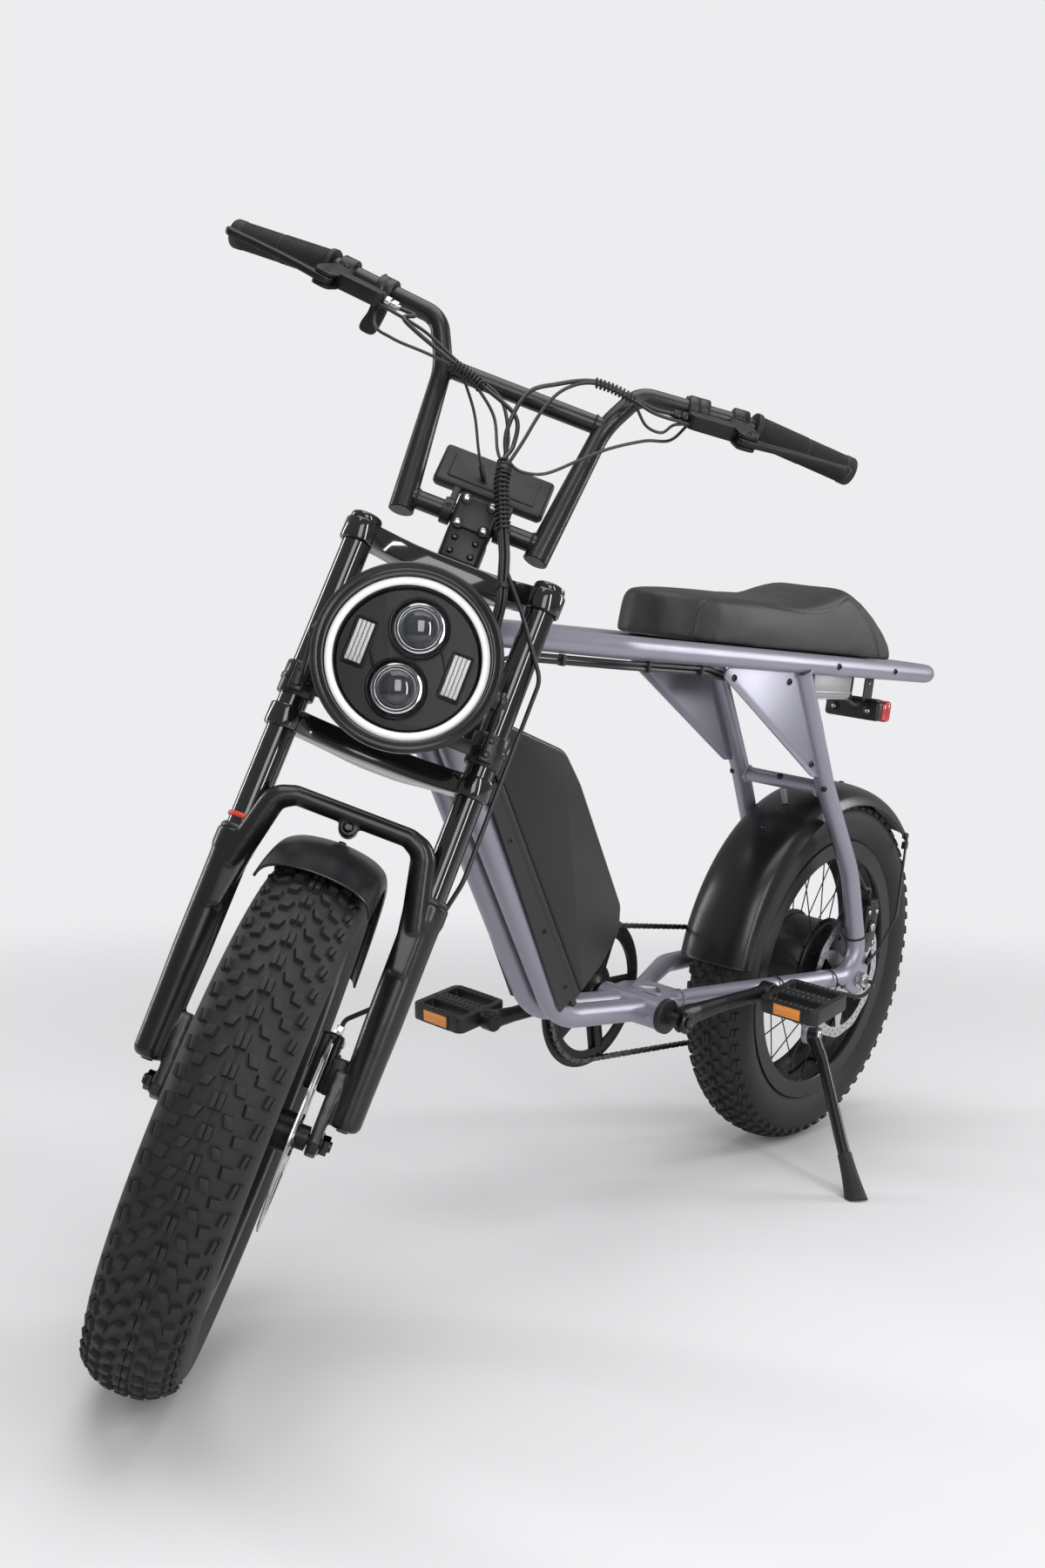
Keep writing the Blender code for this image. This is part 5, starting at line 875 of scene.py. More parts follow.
def brake_disc(bore):
    turns = [math.tau * k / 180 for k in range(180)]
    edge = [polar(0.1002 + 0.0012 * math.cos(12 * a), a) for a in turns]
    holes = [ring_of(24, bore)]
    for a in turns[::30]:
        holes.append(window(a, ((0.0838, -0.43), (0.0846, -0.25), (0.0850, 0.0), (0.0846, 0.25),
                                (0.0838, 0.42), (0.0800, 0.46), (0.058, 0.40), (0.040, 0.28),
                                (0.0345, 0.10), (0.0355, -0.02), (0.052, -0.16), (0.070, -0.33))))
    for a in turns[::5]:
        for x, y in window(a, ((0.0895, 0.0), (0.0955, 0.06))):
            holes.append([(x + 0.0021 * c, y + 0.0013 * s) for c, s in ring_of(6, 1)])
    return sheet(edge, holes, -DISC_HALF, DISC_HALF)


front_hub = closed_lathe([(0.0063, 0.0757), (0.0085, 0.0762), (0.0128, 0.0755), (0.0128, 0.0612),
                          (0.0205, 0.0606), (0.0210, 0.0590), (0.0210, 0.0385), (0.0225, 0.0362),
                          (0.0300, 0.0345), (0.0310, 0.0335), (0.0310, 0.0318), (0.0300, 0.0307),
                          (0.0190, 0.0290), (0.0168, 0.0262), (0.0155, 0.0180), (0.0150, 0.0),
                          (0.0155, -0.0180), (0.0168, -0.0262), (0.0190, -0.0290), (0.0300, -0.0307),
                          (0.0310, -0.0318), (0.0310, -0.0335), (0.0300, -0.0345), (0.0180, -0.0368),
                          (0.0170, -0.0560), (0.0160, -0.0580), (0.0110, -0.0602), (0.0108, -0.0755),
                          (0.0063, -0.0760)], 48)
piece("front_hub_barrel", moved(front_hub, Z_TO_Y), black_alloy, "front_wheel", LOWERS, 30, ("front_hub",))
drum = closed_lathe([(0.0077, 0.0783), (0.0130, 0.0780), (0.0132, 0.0745), (0.0205, 0.0738), (0.0210, 0.0520),
              (0.0225, 0.0500), (0.0350, 0.0462), (0.0380, 0.0440), (0.0640, 0.0405), (0.0668, 0.0395),
              (0.0670, 0.0385), (0.0690, 0.0385), (0.0692, 0.0395), (0.0715, 0.0390), (0.0750, 0.0368),
              (0.0762, 0.0350), (0.0812, 0.0338), (0.0818, 0.0322), (0.0812, 0.0306), (0.0762, 0.0296),
              (0.0756, 0.0280), (0.0756, -0.0280), (0.0762, -0.0296), (0.0812, -0.0306), (0.0818, -0.0322),
              (0.0812, -0.0338), (0.0762, -0.0350), (0.0715, -0.0388), (0.0370, -0.0430), (0.0300, -0.0482),
              (0.0077, -0.0484)], 72)
drum = together(drum, screws(8, 0.0570, 0.0408, 0.0036, 0.2), screws(6, 0.0700, 0.0386, 0.0022, 0.5, 0.0012))
piece("motor_drum", moved(drum, Z_TO_Y), black_alloy, "rear_wheel", REAR_HUB, 30, ("motor_hub",))
for end, place, body, plane, bore in (("front", LOWERS, "front_wheel", 0.0620, 0.0131),
                                      ("rear", REAR_HUB, "rear_wheel", 0.0750, 0.0136)):
    disc = moved(brake_disc(bore), shifted(0, plane, 0), SIDE_PLANE)
    piece(end + "_disc", disc, brake_steel, body, place, 40, (end + "_rotor",))
    fixings = moved(screws(6, 0.0190, plane + DISC_HALF, 0.0036, 0.26), Z_TO_Y)
    piece(end + "_disc_screws", fixings, dark_bolts, body, place, 40, (end + "_rotor",))
print("hubs and discs done")

# %% [markdown]
# ## Frame tubes
#
# The frame is bent from steel tube. One long loop makes both seat rails and closes round behind the seat.
# Two down tubes run side by side from the head to the pedal bearing, and a stay on each side drops from the
# rail, turns at the rear hub and comes forward again. `rounded` gives every bend its radius and `pipe`
# sweeps the tube. Weld beads are thin rings with a rippled edge where tube meets tube.

# %% Rails, down tubes and stays
RAIL_END = (-0.174, 0.7605)
RAIL_BEND = (0.700, 0.7750)
RAIL_HEAD = (0.935, 0.7790)
RAIL_HALF = 0.0755
RAIL_RADIUS = 0.0143
STAY_RADIUS = 0.014


def rail_height(x):
    return RAIL_END[1] + (x - RAIL_END[0]) / (RAIL_BEND[0] - RAIL_END[0]) * (RAIL_BEND[1] - RAIL_END[1])


def weld(centre, way, radius, beads=26, size=0.0024):
    """A fillet of overlapping weld beads round a joint."""
    one = bmesh.new()
    bmesh.ops.create_icosphere(one, subdivisions=1, radius=size)
    turn = facing(way)
    return repeated(one, [shifted(*centre) @ turn @ shifted(x, y, 0) for x, y in ring_of(beads, radius)])


half = [(RAIL_HEAD[0], 0.021, RAIL_HEAD[1]), (RAIL_BEND[0], RAIL_HALF, RAIL_BEND[1]),
        (RAIL_END[0], RAIL_HALF, RAIL_END[1])]
loop = half + [(x, -y, z) for x, y, z in reversed(half)]
rails = pipe(rounded(loop, (0.16, 0.066, 0.066, 0.16), 4), RAIL_RADIUS, 28)
piece("seat_rail_loop", rails, frame_paint, "frame", BIKE, 50, ("seat_rail",))

down = Vector((math.cos(DOWN_TUBE_ANGLE), 0, math.sin(DOWN_TUBE_ANGLE)))
line_start = Vector((0.768, 0, 0.440))
pedal_axis = Vector((0.468, 0, 0.2795))
low_end = pedal_axis + Vector((0.004, 0, 0.0015))
low_way = Vector((math.cos(math.radians(5.1)), 0, math.sin(math.radians(5.1))))
reach = (line_start - low_end).cross(down).y / low_way.cross(down).y
for side, name in SIDES:
    aside = Vector((0, 0.0202 * side, 0))
    path = rounded([line_start + down * 0.345 + aside, low_end + low_way * reach + aside,
                    low_end + low_way * 0.012 + aside], (0.085,), 4)
    piece("down_tube_" + name + "_bent", pipe(path, 0.0159, 28), frame_paint, "frame", BIKE, 50,
          ("down_tube_" + name,))
print("rails and down tubes done")

# %% [markdown]
# The stays end in flat dropout plates with a slot for the rear axle. Behind the pedal bearing a small
# pierced yoke joins them. Left and right are the same bend mirrored, but only the left one carries the
# hinge of the side stand, and only the right one the hanger of the gear changer.

# %% Stays, dropouts, cross tube and stand bracket
strut_top = Vector((0.2645, 0.0735, rail_height(0.2645)))
strut_knee = Vector((0.150, 0.0735, 0.590))
strut_line = (strut_top - strut_knee).normalized()
stay_points = [strut_top - Vector((0, 0, RAIL_RADIUS * 0.8)), strut_knee, (0.052, 0.0845, 0.452),
               (0.000, 0.0985, 0.2885), (0.285, 0.0765, 0.2975), (0.393, 0.0368, 0.2908),
               (0.436, 0.0262, 0.2878)]
stay_radii = (0.25, 0.15, 0.045, 0.10, 0.06)
dropout_outline = [(-0.022, 0.270), (-0.0245, 0.284), (-0.024, 0.298), (-0.019, 0.309), (-0.012, 0.318),
                   (0.000, 0.331), (0.012, 0.344), (0.026, 0.330), (0.040, 0.308), (0.048, 0.292),
                   (0.040, 0.272), (0.026, 0.265), (0.012, 0.2585), (0.000, 0.2578), (-0.010, 0.2590),
                   (-0.017, 0.264)]


def stay(hanger):
    path = rounded(stay_points, stay_radii, 5)
    drawn_in = [1 - 0.22 * clamped((point.x - 0.340) / 0.07) if point.z < 0.35 else 1 for point in path]
    tube_part = pipe(path, STAY_RADIUS, 28, drawn_in)
    hole = [(x, TYRE_RADIUS + z) for x, z in ring_of(24, 0.0073)]
    slots = [[(0.010, 0.306), (0.016, 0.314), (0.022, 0.306), (0.016, 0.299)]]
    flat = moved(sheet(dropout_outline, [hole] + slots, 0.0937, 0.1003, 0.0006), SIDE_PLANE)
    parts = [tube_part, flat]
    if hanger:
        outline = [(0.003, 0.263), (0.021, 0.266), (0.0225, 0.240), (0.020, 0.233), (0.013, 0.2315),
                   (0.005, 0.236)]
        parts.append(moved(plate(outline, 0.0937, 0.1003, 0.0008), SIDE_PLANE))
    else:
        plate_outline = [(0.134, 0.240), (0.190, 0.240), (0.262, 0.272), (0.262, 0.294), (0.134, 0.290)]
        parts.append(moved(plate(plate_outline, 0.1002, 0.1058, 0.0012), SIDE_PLANE))
        parts.append(moved(plate([(0.148, 0.216), (0.153, 0.212), (0.168, 0.212), (0.172, 0.216),
                                  (0.176, 0.250), (0.144, 0.250)], 0.1037, 0.1093, 0.0012), SIDE_PLANE))
    return together(*parts)


pivot = Vector((0.160, 0.120, 0.222))
pin_way = Vector((-0.149, 0.976, 0.157)).normalized()
brace_at = strut_knee + Vector((-0.0035, 0, -0.006))
brace = rod((brace_at.x, -0.0665, brace_at.z), (brace_at.x, 0.0665, brace_at.z), 0.011, 28)
outward = Vector((brace_at.x, 0, brace_at.z - TYRE_RADIUS)).normalized()
tab_foot = Vector((0, 0, TYRE_RADIUS)) + outward * 0.2973
tab = rod(tab_foot, Vector((brace_at.x, 0, brace_at.z)), 0.0045, 16)
hinge = together(rod(pivot - pin_way * 0.0163, pivot - pin_way * 0.0075, 0.0138, 28, ease=0.0012),
                 rod(pivot - pin_way * 0.0105, pivot + pin_way * 0.0098, 0.0048, 16, ease=0.0006))
yoke_way = Vector((0.043, -0.0106, -0.0030))
welds = together(weld((brace_at.x, 0.0605, brace_at.z), (0, 1, 0), 0.0118),
                 weld((brace_at.x, -0.0605, brace_at.z), (0, 1, 0), 0.0118),
                 weld(Vector((0.4060, 0.0336, 0.2899)), yoke_way, 0.0122, 30, 0.0021),
                 weld(strut_top - Vector((0, 0, RAIL_RADIUS * 0.80)), strut_line, 0.0150, 34, 0.0022))
left_stay = together(stay(False), brace, tab, hinge, welds)
piece("stay_left_bent", left_stay, frame_paint, "frame", BIKE, 40, ("rear_stay_left",))
piece("stay_right_bent", moved(stay(True), OTHER_SIDE), frame_paint, "frame", BIKE, 40, ("rear_stay_right",))

# %% Head tube, pedal bearing shell and yoke
head = closed_lathe([(0.0163, 0.4083), (0.0268, 0.4083), (0.0275, 0.4092), (0.0275, 0.4205), (0.0268, 0.4212),
              (0.0240, 0.4240), (0.0235, 0.4250), (0.0235, 0.5830), (0.0240, 0.5840), (0.0268, 0.5868),
              (0.0275, 0.5875), (0.0275, 0.5988), (0.0268, 0.5997), (0.0163, 0.5997)], 48)
piece("head_tube_turned", head, frame_paint, "frame", HEAD, 30, ("head_tube",))
shell = moved(closed_lathe([(0.0170, -0.0500), (0.0208, -0.0500), (0.0215, -0.0493), (0.0215, 0.0493),
                            (0.0208, 0.0500), (0.0170, 0.0500)]), shifted(*pedal_axis), Z_TO_Y)
yoke = sheet([(0.456, 0.043), (0.430, 0.0468), (0.418, 0.0405), (0.405, 0.0298), (0.3925, 0.0238),
              (0.3925, -0.0238), (0.405, -0.0298), (0.418, -0.0405), (0.430, -0.0468), (0.456, -0.043)],
             [[(0.434, 0.019), (0.428, 0.016), (0.414, 0.002), (0.414, -0.002), (0.428, -0.016),
               (0.434, -0.019), (0.436, -0.012), (0.436, 0.012)]], 0.2765, 0.2985, 0.0020)
stop = block((0.4460, 0.008, 0.2980), (0.4580, 0.030, 0.3020), 0.001)
piece("pedal_shell", together(shell, yoke, stop), frame_paint, "frame", BIKE, 40, ("bottom_bracket",))


# %% [markdown]
# Two flat triangular plates stiffen the corner between rail and strut. Each is held by three black
# button-head bolts, and more bolts hold the seat and the rail brackets. A bolt head is a low dome with a
# hexagon socket sunk in it: a spun cap whose middle is a six-sided pocket.

# %% Side plates and bolts
def button_bolt(radius, height):
    """A dome with a hexagon socket, standing on the plane Z = 0."""
    dome = lathe([(radius * 0.50, height), (radius * 0.72, height * 0.88), (radius * 0.92, height * 0.52),
                  (radius, height * 0.12), (radius, -0.0006), (0, -0.0006)], 24)
    cup = bmesh.new()
    bmesh.ops.create_circle(cup, cap_ends=True, segments=6, radius=radius * 0.56)
    grown = bmesh.ops.extrude_face_region(cup, geom=cup.faces[:])
    deep = [item for item in grown["geom"] if isinstance(item, bmesh.types.BMVert)]
    bmesh.ops.translate(cup, verts=deep, vec=(0, 0, -height * 0.55))
    bmesh.ops.delete(cup, geom=[f for f in cup.faces if all(v.co.z > -1e-7 for v in f.verts)],
                     context="FACES_ONLY")
    bmesh.ops.reverse_faces(cup, faces=cup.faces)
    return together(dome, moved(cup, shifted(0, 0, height)))


def bolt_at(point, way, radius=0.0050, height=0.0028):
    return moved(button_bolt(radius, height), shifted(*point), facing(way))


front_edge = Vector((strut_line.z, 0, -strut_line.x)) * (STAY_RADIUS + 0.0008)
low_edge = strut_knee + strut_line * 0.026 + front_edge
plate_top = RAIL_RADIUS * 0.9511 + 0.0003
high_edge = strut_top + front_edge
high_edge -= strut_line * (high_edge.z - rail_height(high_edge.x) + plate_top) / strut_line.z
gusset_outline = [(0.446, rail_height(0.446) - plate_top), (0.458, rail_height(0.458) - plate_top - 0.0010),
                  (0.4645, rail_height(0.463) - plate_top - 0.0045), (0.4660, 0.7490), (0.4655, 0.7440),
                  (0.461, 0.7408), (0.2015, 0.6060), (0.1950, 0.6040), (0.1890, 0.6045),
                  (low_edge.x + 0.002, low_edge.z - 0.0003), (low_edge.x, low_edge.z + 0.001),
                  (high_edge.x, high_edge.z)]
for side, name in SIDES:
    flat = moved(plate(gusset_outline, RAIL_HALF - 0.0015, RAIL_HALF + 0.0015, 0.0005), ON_SIDE[side],
                 SIDE_PLANE)
    piece("side_plate_" + name, flat, frame_paint, "frame", BIKE, 35, ("gusset_" + name,))
    heads = [bolt_at((x, side * (RAIL_HALF + 0.0016), z), (0, side, 0))
             for x, z in ((0.444, 0.7435), (0.300, 0.7410), (0.2065, 0.6230))]
    piece("side_plate_bolts_" + name, together(*heads), dark_bolts, "frame", BIKE, 35, ("gusset_" + name,))
rail_bolts = []
for side in (1, -1):
    for x, radius, height in ((0.1877, 0.0050, 0.0028), (0.0100, 0.0046, 0.0026)):
        point = (x, side * (RAIL_HALF + RAIL_RADIUS - 0.0003), rail_height(x))
        rail_bolts.append(bolt_at(point, (0, side, 0), radius, height))
rail_bolts.append(bolt_at((brace_at.x + 0.0085, 0.0, brace_at.z + 0.0066), (0.79, 0, 0.61), 0.0052, 0.0028))
for side in (1, -1):
    knee_side = strut_knee * Vector((1, side, 1)) + Vector((0.0125, side * 0.006, -0.004))
    rail_bolts.append(bolt_at(knee_side, (0.9, side * 0.43, 0), 0.0048, 0.0026))
piece("frame_bolts", together(*rail_bolts), dark_bolts, "frame", BIKE, 35, part="seat_rail")
print("frame done,", len(PIECES), "pieces")

# %% [markdown]
# ## Fork
#
# This is a motorcycle-style fork: two crowns clamp a polished leg on each side, and the legs slide in
# cast lowers that an arch ties together over the tyre. A casting has no sharp inner corners. So the lowers
# are roughed out from turned legs, a swept arch and lugs, voxel-remeshed into one skin, and smoothed, which
# rounds the joints as a foundry's fillets do.

# %% Cast lowers with their arch
def cast(shape, voxel, rounds):
    """Melts overlapping shapes into one skin and smooths its corners."""
    mesh = bpy.data.meshes.new("rough")
    shape.to_mesh(mesh)
    shape.free()
    holder = bpy.data.objects.new("rough", mesh)
    SCENE.collection.objects.link(holder)
    melt = holder.modifiers.new("melt", "REMESH")
    melt.mode = "VOXEL"
    melt.voxel_size = voxel
    soften = holder.modifiers.new("soften", "SMOOTH")
    soften.factor = 0.5
    soften.iterations = rounds
    bpy.context.view_layer.update()
    return as_bmesh(holder)


LEG_PROFILE = [(0, 0.0195), (0.0105, 0.0198), (0.0148, 0.0222), (0.0172, 0.0270), (0.0177, 0.0600),
               (0.0184, 0.0950), (0.0196, 0.1350), (0.0200, 0.2080), (0.0204, 0.2420), (0.0216, 0.2450),
               (0.0222, 0.2480), (0.0222, 0.2640), (0.0212, 0.2662), (0.0, 0.2662)]
rough = []
for side in (1, -1):
    rough.append(moved(lathe(LEG_PROFILE, 40), shifted(0, side * LEG_SPACING, 0)))
    lug = plate([(-0.017, 0.000), (-0.0125, -0.0115), (0, -0.0168), (0.0125, -0.0115), (0.017, 0.000),
                 (0.0145, 0.040), (0.0100, 0.076), (-0.0100, 0.076), (-0.0145, 0.040)], 0.0770, 0.0893)
    pad = block((-0.0112, 0.0800, 0.0220), (0.0112, 0.0980, 0.0720), 0.002)
    rough.append(moved(lug, ON_SIDE[side], SIDE_PLANE))
    rough.append(moved(pad, ON_SIDE[side]))
arch = rounded([(0.0090, 0.1010, 0.2330), (0.0200, 0.0820, 0.3120), (0.0230, 0.0620, 0.3205),
                (0.0230, -0.0620, 0.3205), (0.0200, -0.0820, 0.3120), (0.0090, -0.1010, 0.2330)],
               (0.020, 0.010, 0.010, 0.020), 12)
thick = [1.0 + 0.42 * clamped((abs(p.y) - 0.060) / 0.035) for p in arch]
rough.append(pipe(arch, 0.0106, 20, thick))
for side in (1, -1):
    web = plate([(side * 0.108, 0.186), (side * 0.108, 0.250), (side * 0.096, 0.300), (side * 0.082, 0.322),
                 (side * 0.070, 0.3180), (side * 0.077, 0.286), (side * 0.0835, 0.240),
                 (side * 0.092, 0.186)], 0.0050, 0.0215)
    rough.append(moved(web, FRONT_PLANE))
rough.append(rod((0.0125, 0, 0.3070), (0.0310, 0, 0.3080), 0.0105, 24))
rough.append(block((-0.0290, 0.0840, 0.0440), (-0.0110, 0.0950, 0.0860), 0.002))
lowers = cast(together(*rough), 0.0017, 7)
print("lowers cast with", len(lowers.faces), "faces")
piece("fork_lowers_cast", lowers, satin_black, "fork_lower", LOWERS, 60, ("fork_lowers",))
arch_bolt = bolt_at((0.0305, 0, 0.3080), (1, 0, 0.02), 0.0062, 0.0030)
collars = [moved(lathe([(0.0163, 0.2660), (0.0205, 0.2662), (0.0208, 0.2680), (0.0196, 0.2706),
                        (0.0178, 0.2722), (0.0163, 0.2724)], 40), shifted(0, side * LEG_SPACING, 0))
           for side in (1, -1)]
feet = [rod((0, side * LEG_SPACING, 0.0178), (0, side * LEG_SPACING, 0.0210), 0.0062, 6, ease=0.0005)
        for side in (1, -1)]
piece("fork_lower_bolts", together(arch_bolt, *feet), dark_bolts, "fork_lower", LOWERS, 35,
      part="fork_lowers")
piece("fork_dust_seals", together(*collars), hose_rubber, "fork_lower", LOWERS, 35, part="fork_lowers")

# %% [markdown]
# ## Crowns and stanchions
#
# Each crown is a forged yoke: a waisted plate with round bosses at its ends, split at the back and pinched
# by bolts. The legs between them are ground and blackened to a mirror. A red rubber ring on the right leg
# is pushed up by the fork's stroke and shows how far it moved.

# %% Crowns, legs and travel ring
def arc(centre, radius, first, last, count):
    turns = [math.radians(first + (last - first) * k / (count - 1)) for k in range(count)]
    return [(centre[0] + x, centre[1] + y) for x, y in (polar(radius, turn) for turn in turns)]


def crown(low, high, steerer):
    """A waisted yoke with bored bosses, its rims eased."""
    boss = arc((RAKE, LEG_SPACING), 0.0204, -62, 205, 26)
    half = [(0.0325, 0.0), (0.0330, 0.0250), (0.0345, 0.0450), (0.0420, 0.0700)] + boss + \
        [(0.0080, 0.0720), (-0.0050, 0.0520), (-0.0200, 0.0350), (-0.0270, 0.0200), (-0.0288, 0.0)]
    outline = half + [(x, -y) for x, y in reversed(half[1:-1])]
    holes = [arc((RAKE, side * LEG_SPACING), 0.0161, 0, 352, 45) for side in (1, -1)]
    if steerer:
        holes.append(arc((0, 0), 0.0145, 0, 350, 36))
    return sheet(outline, holes, low, high, 0.0022)


def pinch_bolts(*heights):
    return [bolt_at((RAKE - 0.0185, side * (LEG_SPACING - 0.0085), z), (-1, 0, 0), 0.0042, 0.0024)
            for side in (1, -1) for z in heights]


upper = together(crown(0.6003, 0.6248, True), *pinch_bolts(0.6125))
piece("upper_crown_forged", upper, gloss_black, "fork_upper", FORK, 40, ("upper_crown",))
lower = together(crown(0.3833, 0.4077, False),
                 rod((0, 0, 0.4070), (0, 0, 0.6545), 0.0141, 32, ease=0.001), *pinch_bolts(0.3895, 0.4015))
piece("lower_crown_forged", lower, gloss_black, "fork_upper", FORK, 40, ("lower_crown",))
LEG = [(0, 0.1512), (0.0155, 0.1512), (0.0160, 0.1520), (0.0160, 0.6254), (0.0172, 0.6256), (0.0175, 0.6266),
       (0.0175, 0.6296), (0.0168, 0.6318), (0.0150, 0.6330), (0.0080, 0.6334), (0.0070, 0.6315), (0, 0.6315)]
for side, name in SIDES:
    leg = moved(lathe(LEG, 48), shifted(RAKE, side * LEG_SPACING, 0))
    piece("leg_" + name + "_ground", leg, gloss_black, "fork_upper", FORK, 30, ("stanchion_" + name,))
travel_ring = closed_lathe([(0.0161, 0.2790), (0.0176, 0.2793), (0.0184, 0.2808), (0.0184, 0.2826),
                            (0.0176, 0.2841), (0.0161, 0.2844)])
piece("travel_ring", moved(travel_ring, shifted(RAKE, -LEG_SPACING, 0)), red_rubber, "fork_upper", FORK, 50,
      part="stanchion_right")
print("fork done,", len(PIECES), "pieces")

# %% [markdown]
# ## Headlight
#
# The round headlight carries the whole face of the machine. From outside in: a deep bucket with a stepped
# bezel, a domed clear cover, a white light guide that runs round just behind it, and a black plate with two
# projector eyes one above the other and a tall lamp on each side. Every ring is spun at ninety-six steps, so
# that its edge stays round even close up.

# %% Bucket, cover and light ring
FRONT = 0.0675
ROUND = 96


def from_front(profile):
    """Turns depths behind the lamp's front rim into places along its axis."""
    return [(radius, FRONT - depth) for radius, depth in profile]


bucket = lathe(from_front([(0, 0.0900), (0.0220, 0.0893), (0.0450, 0.0833), (0.0640, 0.0705),
                (0.0775, 0.0530), (0.0858, 0.0320), (0.0888, 0.0190), (0.0898, 0.0148),
                (0.0915, 0.0140), (0.0940, 0.0125), (0.0950, 0.0100), (0.0950, 0.0042),
                (0.0944, 0.0020), (0.0930, 0.0006), (0.0912, 0.0002), (0.0895, 0.0012),
                (0.0880, 0.0018), (0.0868, 0.0008), (0.0852, 0.0004), (0.0838, 0.0016),
                (0.0830, 0.0045), (0.0828, 0.0225), (0.0740, 0.0500),
                (0.0545, 0.0710), (0, 0.0860)]), ROUND)
ears = [rod((0, side * 0.0840, 0), (0, side * 0.0988, 0), 0.0112, 32, ease=0.0012) for side in (1, -1)]
piece("headlight_bucket", together(moved(bucket, Z_TO_X), *ears), satin_black, "headlight", LAMP, 28,
      ("headlight_shell",))
screws_of_ears = [bolt_at((0, side * 0.0988, 0), (0, side, 0), 0.0062, 0.0034) for side in (1, -1)]
piece("headlight_screws", together(*screws_of_ears), dark_bolts, "headlight", LAMP, 35,
      part="headlight_shell")
halo_path = [(FRONT - 0.0135, y, z) for y, z in ring_of(ROUND, 0.0776)]
piece("headlight_light_ring", pipe(halo_path, 0.0040, 14, closed=True), halo_light, "headlight", LAMP, 60,
      ("headlight_reflector",))
cover = lathe(from_front([(0, 0.0046), (0.0200, 0.0050), (0.0420, 0.0060), (0.0620, 0.0074),
               (0.0760, 0.0088), (0.0822, 0.0098), (0.0822, 0.0112), (0.0760, 0.0102),
               (0.0620, 0.0088), (0.0420, 0.0074), (0.0200, 0.0064), (0, 0.0060)]), ROUND)
piece("headlight_cover", moved(cover, Z_TO_X), lamp_glass, "headlight", LAMP, 40, ("headlight_lens",))
print("bucket, cover and light ring done")

# %% [markdown]
# The inner plate is one gloss-black moulding. Each projector eye sits in a dished cup with a bright stepped
# collar, and its lens is a thick dome of clear glass: dark from straight ahead, with a painted reflection
# that lightens its colour towards the rim, where the view grazes it. The side lamps are prismatic blocks in
# raised frames, and curved ridges run between the cups as on the mould.

# %% Inner plate, projector eyes and side lamps
lens_glass_finish = Finish("projector_glass", 0.015, Coat_Weight=1.0, Coat_Roughness=0.01, IOR=1.6)
# The base colour turns lighter where the dome turns away from the view: a painted reflection at the lens rim.
painted_rim_reflection = lens_glass_finish.node("ShaderNodeLayerWeight", sockets={"Blend": 0.35}, output="Facing")
lens_glass_finish.feed("Base Color", lens_glass_finish.between((0.012, 0.014, 0.018), (0.16, 0.18, 0.21),
                                                               painted_rim_reflection))
projector_glass = lens_glass_finish.material
lamp_black = painted("lamp_black", (0.0035, 0.0035, 0.004), (0.006, 0.006, 0.0065), 0.30, 0.0,
                     Specular_IOR_Level=0.22)

UPPER_EYE = 0.0330
LOWER_EYE = -0.0310
SIDE_LAMP = 0.0505
plate_profile = [(0, 0.0225), (0.0700, 0.0225), (0.0722, 0.0185), (0.0735, 0.0180),
                 (0.0822, 0.0180), (0.0822, 0.0200), (0.0740, 0.0205), (0.0700, 0.0250),
                 (0, 0.0250)]
inner_plate = moved(lathe(from_front(plate_profile), ROUND), Z_TO_X)
ridges = []
for z, way in ((UPPER_EYE, 1), (LOWER_EYE, -1)):
    cup = closed_lathe([(0.0262, -0.0020), (0.0300, 0.0010), (0.0312, 0.0046), (0.0302, 0.0058),
                        (0.0288, 0.0052), (0.0272, 0.0012)], 56)
    ridges.append(moved(cup, shifted(FRONT - 0.0222, 0, z), Z_TO_X))
    sweep = [(FRONT - 0.0215, way * (0.030 + 0.016 * math.sin(t)), z * 0.55 - way * 0.026 * t)
             for t in (k / 8 * 2.4 - 0.9 for k in range(9))]
    ridges.append(pipe(sweep, 0.0014, 10))
for side in (1, -1):
    frame_path = rounded([(FRONT - 0.0205, side * SIDE_LAMP + y, z)
                          for y, z in ((0, -0.0235), (-0.0106, -0.0235), (-0.0106, 0.0235), (0.0106, 0.0235),
                                (0.0106, -0.0235), (0, -0.0235))], (0.002,) * 4, 30)
    ridges.append(pipe(frame_path[:-1], 0.0015, 8, closed=True))
piece("headlight_inner_plate", together(inner_plate, *ridges), lamp_black, "headlight", LAMP, 35,
      ("headlight_reflector",))
collars, domes, blocks = [], [], []
for z in (UPPER_EYE, LOWER_EYE):
    collar = closed_lathe([(0.0205, 0.0020), (0.0208, 0.0072), (0.0222, 0.0080), (0.0232, 0.0068),
                           (0.0236, 0.0046), (0.0252, 0.0040), (0.0262, 0.0022), (0.0264, 0.0),
                           (0.0205, 0.0)], 64)
    collars.append(moved(collar, shifted(FRONT - 0.0225, 0, z), Z_TO_X))
    dome = lathe([(0.0206, 0.0030)] + [(0.0204 * math.cos(t), 0.0045 + 0.0112 * math.sin(t)) for t in
                                       (math.pi / 2 * k / 9 for k in range(9))] + [(0, 0.0157)], 64)
    domes.append(moved(dome, shifted(FRONT - 0.0225, 0, z), Z_TO_X))
for side in (1, -1):
    for k in (-1.5, -0.5, 0.5, 1.5):
        middle = side * SIDE_LAMP + 0.0043 * k
        blocks.append(block((FRONT - 0.0228, middle - 0.0019, -0.0212),
                            (FRONT - 0.0165 - 0.0006 * abs(k), middle + 0.0019, 0.0212), 0.0008))
piece("projector_collars", together(*collars), chrome, "headlight", LAMP, 35, ("headlight_reflector",))
piece("projector_lenses", together(*domes), projector_glass, "headlight", LAMP, 60, ("headlight_reflector",))
piece("side_lamps", together(*blocks), led_lens, "headlight", LAMP, 35, ("headlight_reflector",))

